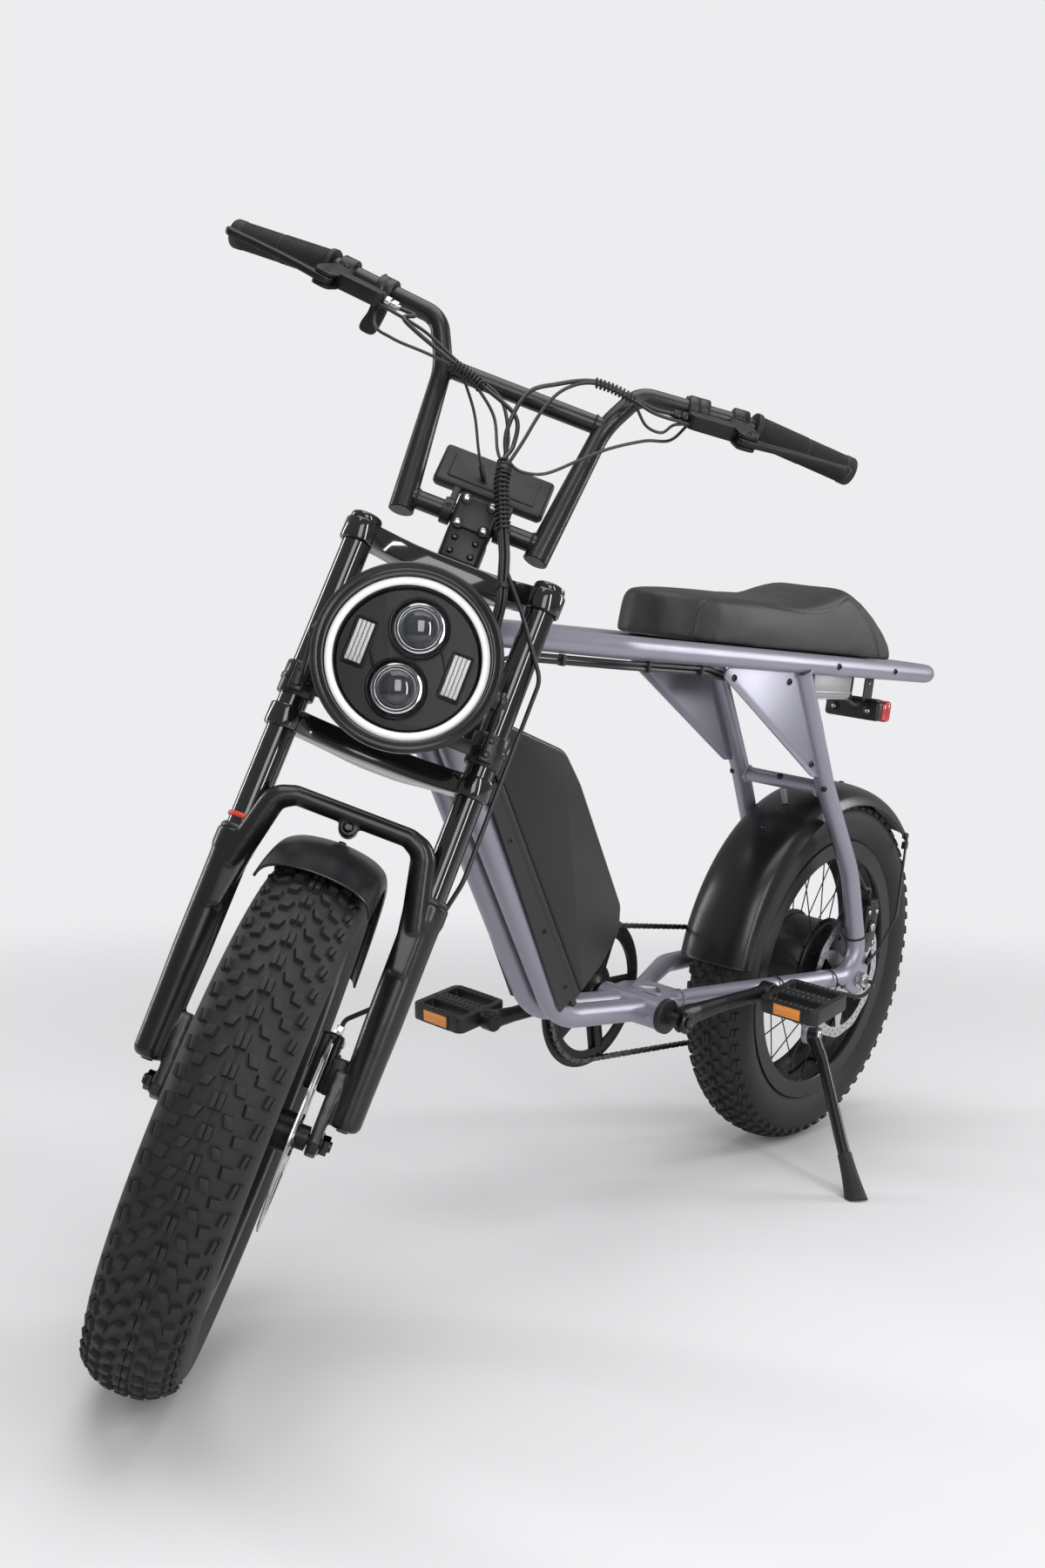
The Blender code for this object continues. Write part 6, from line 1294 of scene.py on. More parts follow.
# %% Bracket that clamps the headlight to the legs
bracket = []
for side in (1, -1):
    x, y = RAKE, side * LEG_SPACING
    for profile in ([(0.0161, 0.4200), (0.0196, 0.4200), (0.0203, 0.4212), (0.0203, 0.4538), (0.0196, 0.4550),
                     (0.0161, 0.4550)],
                    [(0.0161, 0.4344), (0.0212, 0.4346), (0.0216, 0.4358), (0.0216, 0.4392), (0.0212, 0.4404),
                     (0.0161, 0.4406)]):
        bracket.append(moved(closed_lathe(profile), shifted(x, y, 0)))
    bracket.append(block((x + 0.0150, y - 0.0075, 0.4225), (x + 0.0290, y + 0.0075, 0.4525), 0.0014))
    arm = plate([(x + 0.012, 0.4262), (x + 0.026, 0.4255), (x + 0.034, 0.4290),
                 (LAMP_PIVOT + 0.0068, LAMP_HEIGHT - 0.0098), (LAMP_PIVOT + 0.0100, LAMP_HEIGHT - 0.0040),
                 (LAMP_PIVOT + 0.0104, LAMP_HEIGHT + 0.0030), (LAMP_PIVOT + 0.0060, LAMP_HEIGHT + 0.0095),
                 (LAMP_PIVOT - 0.0030, LAMP_HEIGHT + 0.0112), (LAMP_PIVOT - 0.0100, LAMP_HEIGHT + 0.0072),
                 (x + 0.012, 0.4510)], 0.0996, 0.1038, 0.0010)
    bracket.append(moved(arm, ON_SIDE[side], SIDE_PLANE))
    bracket.append(bolt_at((LAMP_PIVOT, side * 0.1038, LAMP_HEIGHT), (0, side, 0), 0.0068, 0.0040))
    for z in (0.4300, 0.4460):
        bracket.append(bolt_at((x + 0.0290, y, z), (1, 0, 0), 0.0040, 0.0024))
bracket.append(block((RAKE + 0.0165, -0.0890, 0.4250), (RAKE + 0.0200, 0.0890, 0.4400), 0.0008))
piece("lamp_bracket_clamps", together(*bracket), satin_black, "fork_upper", FORK, 35, ("lamp_bracket",))
print("headlight done,", len(PIECES), "pieces")

# %% [markdown]
# ## Handlebar
#
# The bars rise from the stem like a pair of horns. Each side is one tube, thick at its foot and swaged down
# to grip size at the bend, and two straight bars cross between them. The swage is only a different radius at
# each point of the path.

# %% Uprights, cross bars and stem
BAR_RADIUS = 0.011
BAR_FOOT_RADIUS = 0.0143
LOWER_BAR = Vector((0.004, 0.081, 0.682))
CROSS_BAR = Vector((-0.0106, 0.097, 0.844))
BAR_BEND = Vector((-0.006, 0.1216, 0.894))
GRIP_START = Vector((-0.021, 0.2524, 0.9136))
GRIP_END = Vector((-0.0625, 0.3835, 0.9257))
upright_foot = LOWER_BAR - (CROSS_BAR - LOWER_BAR).normalized() * 0.019
bar_path = rounded([upright_foot, CROSS_BAR, BAR_BEND, GRIP_START, GRIP_END], (0.10, 0.030, 0.030), 4)
swage = []
for point in bar_path:
    share = clamped((point.z - LOWER_BAR.z) / (CROSS_BAR.z - 0.02 - LOWER_BAR.z))
    swage.append((BAR_FOOT_RADIUS + (BAR_RADIUS - BAR_FOOT_RADIUS) * share) / BAR_RADIUS)
horn = pipe(bar_path, BAR_RADIUS, 28, swage)
bars = [horn.copy(), moved(horn, OTHER_SIDE)]
bars += [rod(end * Vector((1, -1, 1)), end, radius, 28)
         for end, radius in ((LOWER_BAR, 0.0109), (CROSS_BAR, 0.0107))]
for end, inside, radius, size in ((LOWER_BAR, 0.0135, 0.0108, 0.0020), (CROSS_BAR, 0.0110, 0.0106, 0.0018)):
    for side in (1, -1):
        bars.append(weld(end * Vector((1, side, 1)) - Vector((0, side * inside, 0)), (0, 1, 0), radius, 22,
                         size))
piece("handlebar_bent", together(*bars), satin_black, "fork_upper", FORK, 45, ("handlebar",))
caps = []
up = (CROSS_BAR - upright_foot).normalized()
for side in (1, -1):
    mirror = Vector((1, side, 1))
    foot = upright_foot * mirror
    caps.append(rod(foot - up * mirror * 0.0009, foot + up * mirror * 0.0010, 0.0126, 28))
piece("handlebar_plugs", together(*caps), hose_rubber, "fork_upper", FORK, 35, part="handlebar")
stem = together(block((-0.0238, -0.0233, 0.6255), (0.0218, 0.0233, 0.6665), 0.0050, 4),
                block((-0.0153, -0.0233, 0.6610), (0.0140, 0.0233, 0.7033), 0.0068, 4),
                block((0.0150, -0.0233, 0.6630), (0.0232, 0.0233, 0.7020), 0.0034, 4),
                rod((0.004, -0.0236, 0.682), (0.004, 0.0236, 0.682), 0.0172, 40, ease=0.0012))
piece("stem_block", stem, black_alloy, "fork_upper", FORK, 35, ("stem",))
cap_corners = [(y, z) for y in (-0.0150, 0.0150) for z in (0.6680, 0.6970)]
stem_bosses = [rod((0.0226, y, z), (0.0248, y, z), 0.0066, 24, ease=0.0006) for y, z in cap_corners]
piece("stem_cap_bosses", together(*stem_bosses), black_alloy, "fork_upper", FORK, 35, ("stem",))
stem_bolts = [bolt_at((0.0248, y, z), (1, 0, 0), 0.0043, 0.0036) for y, z in cap_corners]
piece("stem_bolts", together(*stem_bolts), bright_steel, "fork_upper", FORK, 35, ("stem",))
stem_pinch = [bolt_at((0.0218, y, z), (1, 0, 0), 0.0040, 0.0030)
              for y in (-0.0120, 0.0120) for z in (0.6360, 0.6520)]
piece("stem_pinch_bolts", together(*stem_pinch), dark_bolts, "fork_upper", FORK, 35, ("stem",))
print("handlebar done")

# %% [markdown]
# ## Grips, levers and controls
#
# Each rubber grip has a run of fine rings, a plain band and a second finer run, and ends in a cap, as the
# photograph shows. The brake levers are flattened castings: their outline is a loop drawn through a few
# points with a spline, thickened, and eased deeply so that they feel round to a finger.

# %% Ribbed grips
def frame_at(origin, x_way, y_way):
    x_way = Vector(x_way).normalized()
    z_way = x_way.cross(Vector(y_way)).normalized()
    y_way = z_way.cross(x_way)
    return Matrix([(x_way[k], y_way[k], z_way[k], origin[k]) for k in range(3)] + [(0, 0, 0, 1)])


def spline_point(a, b, c, d, t):
    """A point between b and c on a smooth line through four points."""
    return 0.5 * ((2 * b) + (c - a) * t + (2 * a - 5 * b + 4 * c - d) * t * t + (3 * b - a - 3 * c + d)
                  * t ** 3)


def splined(points, steps=5):
    """A smooth closed loop through a few points."""
    count = len(points)
    loop = []
    for k in range(count):
        corners = [Vector((*points[(k + j) % count], 0)) for j in (-1, 0, 1, 2)]
        for j in range(steps):
            p = spline_point(*corners, j / steps)
            loop.append((p.x, p.y))
    return loop


grip_way = (GRIP_END - GRIP_START).normalized()
grip_length = (GRIP_END - GRIP_START).length
profile = [(0.0112, 0.004), (0.0180, 0.004), (0.0185, 0.0048), (0.0185, 0.0095), (0.0178, 0.0105),
           (0.0160, 0.0110)]
along = 0.0125
while along < 0.0730:
    profile += [(0.0156, along), (0.0165, along + 0.0006), (0.0165, along + 0.0016), (0.0156, along + 0.0022)]
    along += 0.0027
profile += [(0.0161, along + 0.0008)]
along += 0.0030
while along < grip_length - 0.0115:
    profile += [(0.0155, along), (0.0161, along + 0.0004), (0.0161, along + 0.0010), (0.0155, along + 0.0014)]
    along += 0.0018
profile += [(0.0160, along + 0.0010), (0.0168, grip_length - 0.0080), (0.0168, grip_length + 0.0010),
            (0.0158, grip_length + 0.0028), (0.0110, grip_length + 0.0037), (0.0, grip_length + 0.0038)]
grip_turn = grip_way.to_track_quat("Z", "X").to_matrix().to_4x4()
grip = moved(lathe(profile, 40), Matrix.Translation(GRIP_START), grip_turn)
piece("grip_left_ribbed", grip.copy(), grip_rubber, "fork_upper", FORK, 35, ("grip_left",))
piece("grip_right_ribbed", moved(grip, OTHER_SIDE), grip_rubber, "fork_upper", FORK, 35, ("grip_right",))
print("grips", round(grip_length * 1000), "mm long")

# %% Brake levers and their perches
bar_way = (GRIP_START - BAR_BEND).normalized()
clamp_place = BAR_BEND.lerp(GRIP_START, 0.900)
to_bar = clamp_place - Vector((0.033, 0.2406, 0.8706))
to_bar -= bar_way * to_bar.dot(bar_way)
bar_distance = to_bar.length
LEVER_HAND = frame_at(clamp_place - to_bar, bar_way, to_bar)
lever_loop = [(-0.0105, -0.002), (-0.0085, -0.0085), (0.000, -0.0102), (0.012, -0.0088), (0.026, -0.0066),
              (0.045, -0.0048), (0.070, -0.0048), (0.095, -0.0060), (0.110, -0.0082), (0.1190, -0.0086),
              (0.1245, -0.0045), (0.1238, 0.0022), (0.1170, 0.0043), (0.1060, 0.0026), (0.090, 0.0038),
              (0.070, 0.0048), (0.045, 0.0050), (0.028, 0.0036), (0.018, 0.0042), (0.010, 0.0085),
              (0.000, 0.0106), (-0.0088, 0.0070)]
perch_loop = [(-0.066, 0.0215), (-0.060, 0.0160), (-0.040, 0.0148), (-0.015, 0.0136), (0.010, 0.0132),
              (0.0138, 0.0180), (0.0130, 0.0280), (0.0105, bar_distance - 0.012),
              (0.0095, bar_distance - 0.004), (-0.0110, bar_distance - 0.004),
              (-0.0125, bar_distance - 0.012), (-0.0180, 0.0345), (-0.040, 0.0330), (-0.060, 0.0325),
              (-0.0655, 0.0300)]
ear_loop = [(-0.0125, 0.0175), (-0.0120, 0.0), (-0.0085, -0.0068), (0.0, -0.0082), (0.0085, -0.0068),
            (0.0120, 0.0), (0.0128, 0.0175)]


def lever():
    blade = plate(splined(lever_loop, 4), -0.0042, 0.0042, 0.0026, 3)
    return together(blade, lathe([(0, 0.0046), (0.0032, 0.0046), (0.0040, 0.0040), (0.0042, 0.0030)], 20))


def perch():
    body = plate(splined(perch_loop, 4), -0.0088, 0.0088, 0.0030, 3)
    ears = [plate(splined(ear_loop, 4), low, high, 0.0008)
            for low, high in ((0.0047, 0.0090), (-0.0090, -0.0047))]
    band = moved(closed_lathe([(0.0112, -0.0090), (0.0160, -0.0090), (0.0166, -0.0080), (0.0166, 0.0080),
                               (0.0160, 0.0090), (0.0112, 0.0090)]), shifted(0, bar_distance, 0), Z_TO_X)
    screw = bolt_at((-0.002, bar_distance - 0.0130, 0.0088), (0, 0, 1), 0.0042, 0.0022)
    pin = together(bolt_at((0, 0, 0.0089), (0, 0, 1), 0.0044, 0.0018),
                   rod((0, 0, -0.0080), (0, 0, 0.0080), 0.0030, 16))
    return together(body, *ears, band, screw, pin)


def adjuster():
    """Knurled barrels where the brake line leaves the perch."""
    parts = []
    for start, end, radius in ((-0.0663, -0.0735, 0.0058), (-0.0750, -0.0830, 0.0050)):
        parts.append(rod((start, 0.027, 0), (end, 0.027, 0), radius, 24, ease=0.0007))
        for y, z in ring_of(12, radius):
            parts.append(rod((start - 0.0010, 0.027 + y, z), (end + 0.0010, 0.027 + y, z), 0.0006, 6))
    parts.append(rod((-0.0655, 0.027, 0), (-0.0860, 0.027, 0), 0.0032, 16))
    return together(*parts)


flip_z = Matrix.Scale(-1, 4, (0, 0, 1))
for side, name in SIDES:
    hand = LEVER_HAND if side > 0 else OTHER_SIDE @ LEVER_HAND @ flip_z
    mirror = Matrix() if side > 0 else flip_z
    piece("lever_" + name + "_blade", lever(), black_alloy, "brake_lever_" + name, FORK @ hand, 45,
          ("brake_lever_" + name,))
    piece("perch_" + name, moved(perch(), mirror), black_alloy, "fork_upper", FORK @ hand, 40,
          ("lever_perch_" + name,))
    piece("line_adjuster_" + name, adjuster(), bright_steel if side < 0 else dark_bolts, "fork_upper",
          FORK @ hand, 40, ("lever_perch_" + name,))
print("levers done, bar", round(bar_distance * 1000, 1), "mm from the pivot")

# %% Throttle and switch pod
control_place = BAR_BEND.lerp(GRIP_START, 0.52)
THROTTLE = OTHER_SIDE @ frame_at(control_place, bar_way, (-0.35, 0, -0.94)) @ flip_z
POD = frame_at(control_place, bar_way, (-0.75, 0, 0.66))
sleeve = [(0.0112, -0.0100), (0.0152, -0.0100), (0.0160, -0.0090), (0.0160, -0.0006), (0.0155, 0.0),
          (0.0160, 0.0006), (0.0160, 0.0090), (0.0152, 0.0100), (0.0112, 0.0100)]
paddle = plate(splined([(-0.0085, 0.012), (0.0085, 0.012), (0.0098, 0.030), (0.0125, 0.044), (0.0090, 0.0515),
                        (-0.0060, 0.0500), (-0.0098, 0.034)], 4), -0.0030, 0.0030, 0.0016, 3)
ridges = [rod((-0.0065, y, 0.0031), (0.0075, y, 0.0031), 0.0007, 8) for y in (0.036, 0.0385, 0.041, 0.0435)]
piece("throttle_paddle", together(moved(closed_lathe(sleeve, 36), Z_TO_X), paddle, *ridges), black_plastic,
      "throttle", FORK @ THROTTLE, 40, ("thumb_throttle",))
pod = together(moved(closed_lathe([(r + 0.0005, 1.2 * a) for r, a in sleeve], 36), Z_TO_X),
               block((-0.0138, 0.0080, -0.0198), (0.0138, 0.0205, 0.0088), 0.0030),
               block((-0.0120, 0.0190, 0.0010), (0.0120, 0.0255, 0.0080), 0.0016),
               moved(closed_lathe([(0.0062, 0.0200), (0.0085, 0.0200), (0.0085, 0.0225), (0.0078, 0.0235),
                                   (0.0062, 0.0235)], 28), shifted(0, 0, -0.006), Z_TO_Y))
piece("switch_pod_case", pod, black_plastic, "fork_upper", FORK @ POD, 35, ("switch_pod",))
button = lathe([(0.0057, 0.0228), (0.0057, 0.0266), (0.0050, 0.0275), (0.0030, 0.0279), (0, 0.0280)], 24)
piece("horn_button", moved(button, shifted(0, 0, -0.006), Z_TO_Y), red_rubber, "button", FORK @ POD, 35,
      ("switch_button",))

# %% [markdown]
# The display is a wide thin case that hangs from two rings on the lower bar and faces the rider. From the
# front one sees its back: a smooth tray with a lip, a row of small keys at its edge, and the grey wire that
# feeds it.

# %% Display
DISPLAY = FORK @ shifted(LOWER_BAR.x, 0, LOWER_BAR.z)
SCREEN = DISPLAY @ shifted(-0.030, 0.0035, 0.0600) @ turned(-24, "Y")
case = together(block((-0.0070, -0.0655, -0.0290), (0.0060, 0.0655, 0.0290), 0.0050, 4),
                block((-0.0098, -0.0630, -0.0265), (-0.0040, 0.0630, 0.0265), 0.0030, 3),
                block((0.0030, -0.0520, -0.0200), (0.0079, 0.0520, 0.0180), 0.0030, 3))
piece("display_case", case, black_plastic, "display", SCREEN, 35, ("display",))
face = block((-0.0104, -0.0500, -0.0225), (-0.0090, 0.0500, 0.0225), 0.0004, 1)
piece("display_glass", face, screen_glass, "display", SCREEN, 35, ("display",))
keys = [block((-0.0108, y - 0.0035, z - 0.0035), (-0.0090, y + 0.0035, z + 0.0035), 0.0010) for y, z in
        ((0.0565, 0.010), (0.0565, -0.010), (-0.0565, 0.010), (-0.0565, 0.0), (-0.0565, -0.010))]
piece("display_keys", together(*keys), grip_rubber, "display", SCREEN, 35, ("display",))
hangers = []
for y in (-0.0315, 0.0315):
    band = closed_lathe([(0.0112, -0.0055), (0.0145, -0.0055), (0.0150, -0.0048), (0.0150, 0.0048),
                         (0.0145, 0.0055), (0.0112, 0.0055)], 36)
    hangers.append(moved(band, shifted(0, y, 0), Z_TO_Y))
    outline = [(-0.0142, 0.003), (-0.0070, 0.0108), (-0.0190, 0.046), (-0.0290, 0.044)]
    hangers.append(moved(plate(outline, y - 0.0040, y + 0.0040, 0.0010), SIDE_PLANE))
    hangers.append(bolt_at((0.0140, y, 0.003), (1, 0, 0.1), 0.0030, 0.0018))
piece("display_hangers", together(*hangers), black_plastic, "display", DISPLAY, 35, ("display",))
print("controls done,", len(PIECES), "pieces")

# %% [markdown]
# ## Seat
#
# The seat is a block of foam on a base board, under a vinyl cover that is sewn from a top, two long sides
# and two end panels. A cover like that is a little too small for its foam, so it swells between the seams.
# The cushion is therefore lofted a few millimetres too small, melted into an even skin, and blown up as
# cloth, with its base and its seams pinned. Its swelling is capped, and the seams are pressed in afterwards.

# %% Loft the foam
SEAT_HALF = 0.0788
# Each hoop: its place along the frame, its share of the full width, and the height of its top.
STATIONS = ((-0.0345, 0.60, 0.7935), (-0.030, 0.75, 0.7985), (-0.014, 0.89, 0.8120), (0.012, 0.95, 0.8290),
            (0.050, 0.985, 0.8500), (0.085, 1.0, 0.8650), (0.115, 1.0, 0.8745), (0.132, 1.0, 0.8780),
            (0.146, 1.0, 0.8782), (0.165, 1.0, 0.8755), (0.200, 1.0, 0.8680), (0.232, 1.0, 0.8600),
            (0.270, 1.0, 0.8535), (0.320, 1.0, 0.8510), (0.440, 0.995, 0.8505), (0.490, 0.95, 0.8496),
            (0.525, 0.84, 0.8488), (0.548, 0.66, 0.8478), (0.5610, 0.46, 0.8462), (0.5665, 0.28, 0.8440))
SWELL = 0.0045


def seat_base(x):
    return rail_height(x) + RAIL_RADIUS


def power(value, share):
    return math.copysign(abs(value) ** share, value)


foam = bmesh.new()
hoops = []
for x, share, top in STATIONS:
    low = seat_base(x) + 0.0006
    half = SEAT_HALF * share - SWELL
    deep = top - SWELL * 0.6 - low
    lean = (0.010 if x < 0.3 else -0.006) / deep
    angles = [math.pi * k / 36 for k in range(37)]
    round_off = 0.28 + 0.14 * clamped((0.150 - x) / 0.10)
    points = [(half * power(math.cos(a), 0.28),
               low + deep * math.sin(a) ** round_off + 0.0022 * math.sin(a) ** 4) for a in angles]
    corners = [foam.verts.new((x + lean * (z - low), y, z)) for y, z in points]
    hoops.append([foam.edges.new(pair) for pair in zip(corners, corners[1:] + corners[:1])])
for near, far in zip(hoops, hoops[1:]):
    bmesh.ops.bridge_loops(foam, edges=near + far)
for end in (hoops[0], hoops[-1]):
    bmesh.ops.contextual_create(foam, geom=end)
tidied(foam)
print("foam lofted through", len(STATIONS), "hoops")

# %% [markdown]
# The seams were read off the photograph. One dips along each side under the raised tail and runs down its
# rear corner, and one stands on each front corner. Each is a line of points that is cast straight onto the
# skin, so that it lies exactly on it.

# %% Swell the cover between its seams
SIDE_SEAM = [(0.440, 0.8440), (0.388, 0.8450), (0.341, 0.8415), (0.269, 0.8390), (0.228, 0.8425),
             (0.197, 0.8490), (0.170, 0.8600), (0.152, 0.8655), (0.132, 0.8620), (0.100, 0.8440),
             (0.074, 0.8245), (0.052, 0.8020), (0.036, 0.7820)]


def eased_line(points, steps=12):
    """An open smooth line through a few points."""
    points = [Vector(p) for p in points]
    line = []
    padded = [points[0] * 2 - points[1], *points, points[-1] * 2 - points[-2]]
    for corners in zip(padded, padded[1:], padded[2:], padded[3:]):
        line += [spline_point(*corners, j / steps) for j in range(steps)]
    return [*line, points[-1]]


def cast_lines(bm):
    """The four seams as points and normals on this skin."""
    skin = BVHTree.FromBMesh(bm)
    lines = []
    for side in (1, -1):
        along_side = [((x, side * 0.2, z), (0, -side, 0)) for x, z in eased_line(SIDE_SEAM, 14)]
        up_corner = [((0.70, side * 0.0600, 0.7830 + 0.0585 * k / 60), (-1, 0, 0)) for k in range(61)]
        for rays in (along_side, up_corner):
            hits = [skin.ray_cast(Vector(start), Vector(way)) for start, way in rays]
            lines.append([(hit, normal) for hit, normal, _, _ in hits if hit is not None])
    return lines


def seam_tree(lines):
    points = [point for line in lines for point, _ in line]
    tree = KDTree(len(points))
    for k, point in enumerate(points):
        tree.insert(point, k)
    tree.balance()
    return tree


skin = cast(foam, 0.005, 4)
rest = [vert.co.copy() for vert in skin.verts]
tree = seam_tree(cast_lines(skin))
pinned = [vert.index for vert in skin.verts if vert.co.z < seat_base(vert.co.x) + 0.0075
          or tree.find(vert.co)[2] < 0.0040]
mesh = bpy.data.meshes.new("cover")
skin.to_mesh(mesh)
skin.free()
cover = bpy.data.objects.new("cover", mesh)
SCENE.collection.objects.link(cover)
pins = cover.vertex_groups.new(name="pins")
pins.add(pinned, 1.0, "REPLACE")
cloth = cover.modifiers.new("cloth", "CLOTH")
cloth.settings.vertex_group_mass = "pins"
cloth.settings.use_pressure = True
cloth.settings.uniform_pressure_force = 4.0
cloth.settings.effector_weights.gravity = 0
cloth.point_cache.frame_start = 1
cloth.point_cache.frame_end = 20
for step in range(1, 21):
    SCENE.frame_set(step)
skin = as_bmesh(cover)
SCENE.frame_set(1)
grown = 0.0
for vert, start in zip(skin.verts, rest):
    step = vert.co - start
    grown = max(grown, step.length)
    vert.co = start + step.normalized() * min(step.length, SWELL) if step.length > 1e-9 else start
bmesh.ops.smooth_vert(skin, verts=skin.verts, factor=0.5, use_axis_x=True, use_axis_y=True,
                      use_axis_z=True)
print("the cover swelled", round(grown * 1000, 1), "mm before its cap,", len(pinned), "points pinned")
bmesh.ops.subdivide_edges(skin, edges=skin.edges, cuts=1, use_grid_fill=True, smooth=0.6)
for vert in skin.verts:
    vert.co.z = max(vert.co.z, seat_base(vert.co.x) + 0.0004)

# %% [markdown]
# The seams come last, because the even skin has no edges of its own. Every point near a seam is pressed in
# along its normal, less and less with distance. A row of thread stitches then runs along each side of it:
# each stitch is a short six-sided rod that follows the skin.

# %% Press the seams in and sew them
skin.normal_update()
lines = cast_lines(skin)
tree = seam_tree(lines)
SEAM_DEPTH = 0.0016
SEAM_WIDTH = 0.0026
STITCH_STEP = 0.0048
for vert in skin.verts:
    _, _, far = tree.find(vert.co)
    vert.co -= vert.normal * SEAM_DEPTH * math.exp(-(far / SEAM_WIDTH) ** 2)
tidied(skin)
thread = []
hug = BVHTree.FromBMesh(skin)
for line in lines:
    for offset in (-0.0036, 0.0036):
        travelled = 0.0
        for (here, normal), (ahead_point, _) in zip(line, line[1:]):
            along = ahead_point - here
            travelled += along.length
            if travelled < STITCH_STEP or along.length < 1e-5:
                continue
            travelled = 0.0
            along.normalize()
            spot = here + along.cross(normal).normalized() * offset
            near, out, _, _ = hug.find_nearest(spot)
            half_stitch = along * 0.0015
            thread.append(rod(near - half_stitch + out * 0.0001, near + half_stitch + out * 0.0001, 0.00042,
                              6))
print(len(thread), "stitches in", len(lines), "seams")
cushion = piece("seat_cushion", skin, seat_vinyl, "frame", BIKE, 80, ("seat",))
piece("seat_stitches", together(*thread), seat_thread, "frame", BIKE, 60, part="seat")

# %% Base board and its fixings under the seat
board = plate([(0.545, -0.030), (0.548, 0.0), (0.545, 0.030), (0.500, 0.0600), (0.430, 0.0640),
               (0.020, 0.0640), (-0.016, 0.0520), (-0.024, 0.030), (-0.024, -0.030), (-0.016, -0.0520),
               (0.020, -0.0640), (0.430, -0.0640), (0.500, -0.0600)], -0.0090, -0.0010, 0.0015)
slope = math.degrees(math.atan(rail_height(1) - rail_height(0)))
board_place = shifted(0, 0, seat_base(0)) @ turned(-slope, "Y")
ribs = [block((x, -0.0560, -0.0130), (x + 0.0030, 0.0560, -0.0085), 0.0006)
        for x in (0.060, 0.150, 0.240, 0.330, 0.420)]
piece("seat_board", together(board, *ribs), black_plastic, "frame", BIKE @ board_place, 35, part="seat")

# %% [markdown]
# ## Battery
#
# The battery is a tall box that leans on the down tubes and slides upwards along its rail. Its side is one
# flat moulding with a generous rounded edge, which is the bright line seen in the photograph, and its foot is
# a separate narrower tray. A steel lock with a slotted barrel holds it, in a round boss of its own.

# %% Battery, rail screws and lock
TUBE_START = Vector((0.768, 0.440))
TUBE_WAY = Vector((math.cos(DOWN_TUBE_ANGLE), math.sin(DOWN_TUBE_ANGLE)))
TUBE_BEHIND = Vector((-TUBE_WAY.y, TUBE_WAY.x))


def by_tube(along, out):
    """A place given by its distances along the down tubes and behind them."""
    place = TUBE_START + TUBE_WAY * along + TUBE_BEHIND * out
    return (place.x, place.y)


def closed_outline(points, radii, step=8):
    """A closed outline with rounded corners; the first point lies on a straight side."""
    path = rounded([(x, y, 0) for x, y in [*points, points[0]]], radii, step)
    return [(p.x, p.y) for p in path[:-1]]


shell = closed_outline([by_tube(*p) for p in ((0.0500, 0.0362), (-0.1592, 0.0362), (-0.1560, 0.0820),
                                              (-0.1400, 0.1335), (-0.1080, 0.1514), (0.0917, 0.1522),
                                              (0.1480, 0.1452), (0.2500, 0.0660), (0.2620, 0.0560),
                                              (0.2550, 0.0450), (0.2380, 0.0362))],
                       (0.004, 0.030, 0.022, 0.020, 0.10, 0.040, 0.05, 0.010, 0.008, 0.010))
tray = closed_outline([by_tube(*p) for p in (
    (0.0500, 0.0243), (-0.1598, 0.0243), (-0.1594, 0.0358), (0.2370, 0.0358), (0.2155, 0.0243))],
    (0.003, 0.002, 0.002, 0.006))
piece("battery_shell", moved(plate(shell, -0.0400, 0.0400, 0.0085, 5), SIDE_PLANE), battery_shell,
      "battery", BIKE, 50, ("battery_case",))
foot = [plate(tray, -0.0392, 0.0392, 0.0022, 2)]
for low in (-0.12, 0.0, 0.12):
    high = low + 0.0012
    ridge = [by_tube(*p) for p in ((low, 0.0352), (low, 0.0372), (high, 0.0372), (high, 0.0352))]
    foot.append(plate(ridge, -0.0380, 0.0380))
piece("battery_tray", moved(together(*foot), SIDE_PLANE), black_plastic, "battery", BIKE, 40,
      ("battery_case",))
lock_x, lock_z = by_tube(0.2252, 0.0470)
boss_outline = splined([by_tube(*p) for p in ((0.2425, 0.0470), (0.2385, 0.0585), (0.2270, 0.0640),
                                              (0.2140, 0.0600), (0.2020, 0.0480), (0.1900, 0.0340),
                                              (0.1880, 0.0270), (0.2080, 0.0262), (0.2260, 0.0310),
                                              (0.2380, 0.0380))], 6)
boss = moved(plate(boss_outline, 0.0375, 0.0440, 0.0020, 3), SIDE_PLANE)
collar = moved(lathe([(0.0094, 0.0385), (0.0094, 0.0458), (0.0102, 0.0464), (0.0118, 0.0462),
                      (0.0126, 0.0450), (0.0128, 0.0430), (0.0128, 0.0385)], 40),
               shifted(lock_x, 0, lock_z), Z_TO_Y)
piece("lock_boss", together(boss, collar), battery_shell, "battery", BIKE, 40, ("battery_case",))
slot_way = Vector((-0.77, 0.64))
across = Vector((-slot_way.y, slot_way.x))
slot = [tuple(slot_way * a + across * b)
        for a, b in ((-0.0050, -0.0008), (0.0050, -0.0008), (0.0050, 0.0008), (-0.0050, 0.0008))]
face = moved(sheet(ring_of(40, 0.0088), [slot], 0.0062, 0.0094, 0.0003), SIDE_PLANE)
piece("lock_barrel", together(face, rod((0, 0.0, 0), (0, 0.0064, 0), 0.0086, 32)), bright_steel, "key",
      BIKE @ shifted(lock_x, 0.0388, lock_z), 35, ("key_lock",))
rail_screws = []
for side in (1, -1):
    for along in (0.115, -0.030, -0.125):
        x, z = by_tube(along, 0.0135)
        rail_screws.append(bolt_at((x, side * 0.0415, z), (0, side, 0), 0.0036, 0.0014))
piece("battery_rail_screws", together(*rail_screws), dark_bolts, "frame", BIKE, 35, part="battery_rail")
print("battery done")

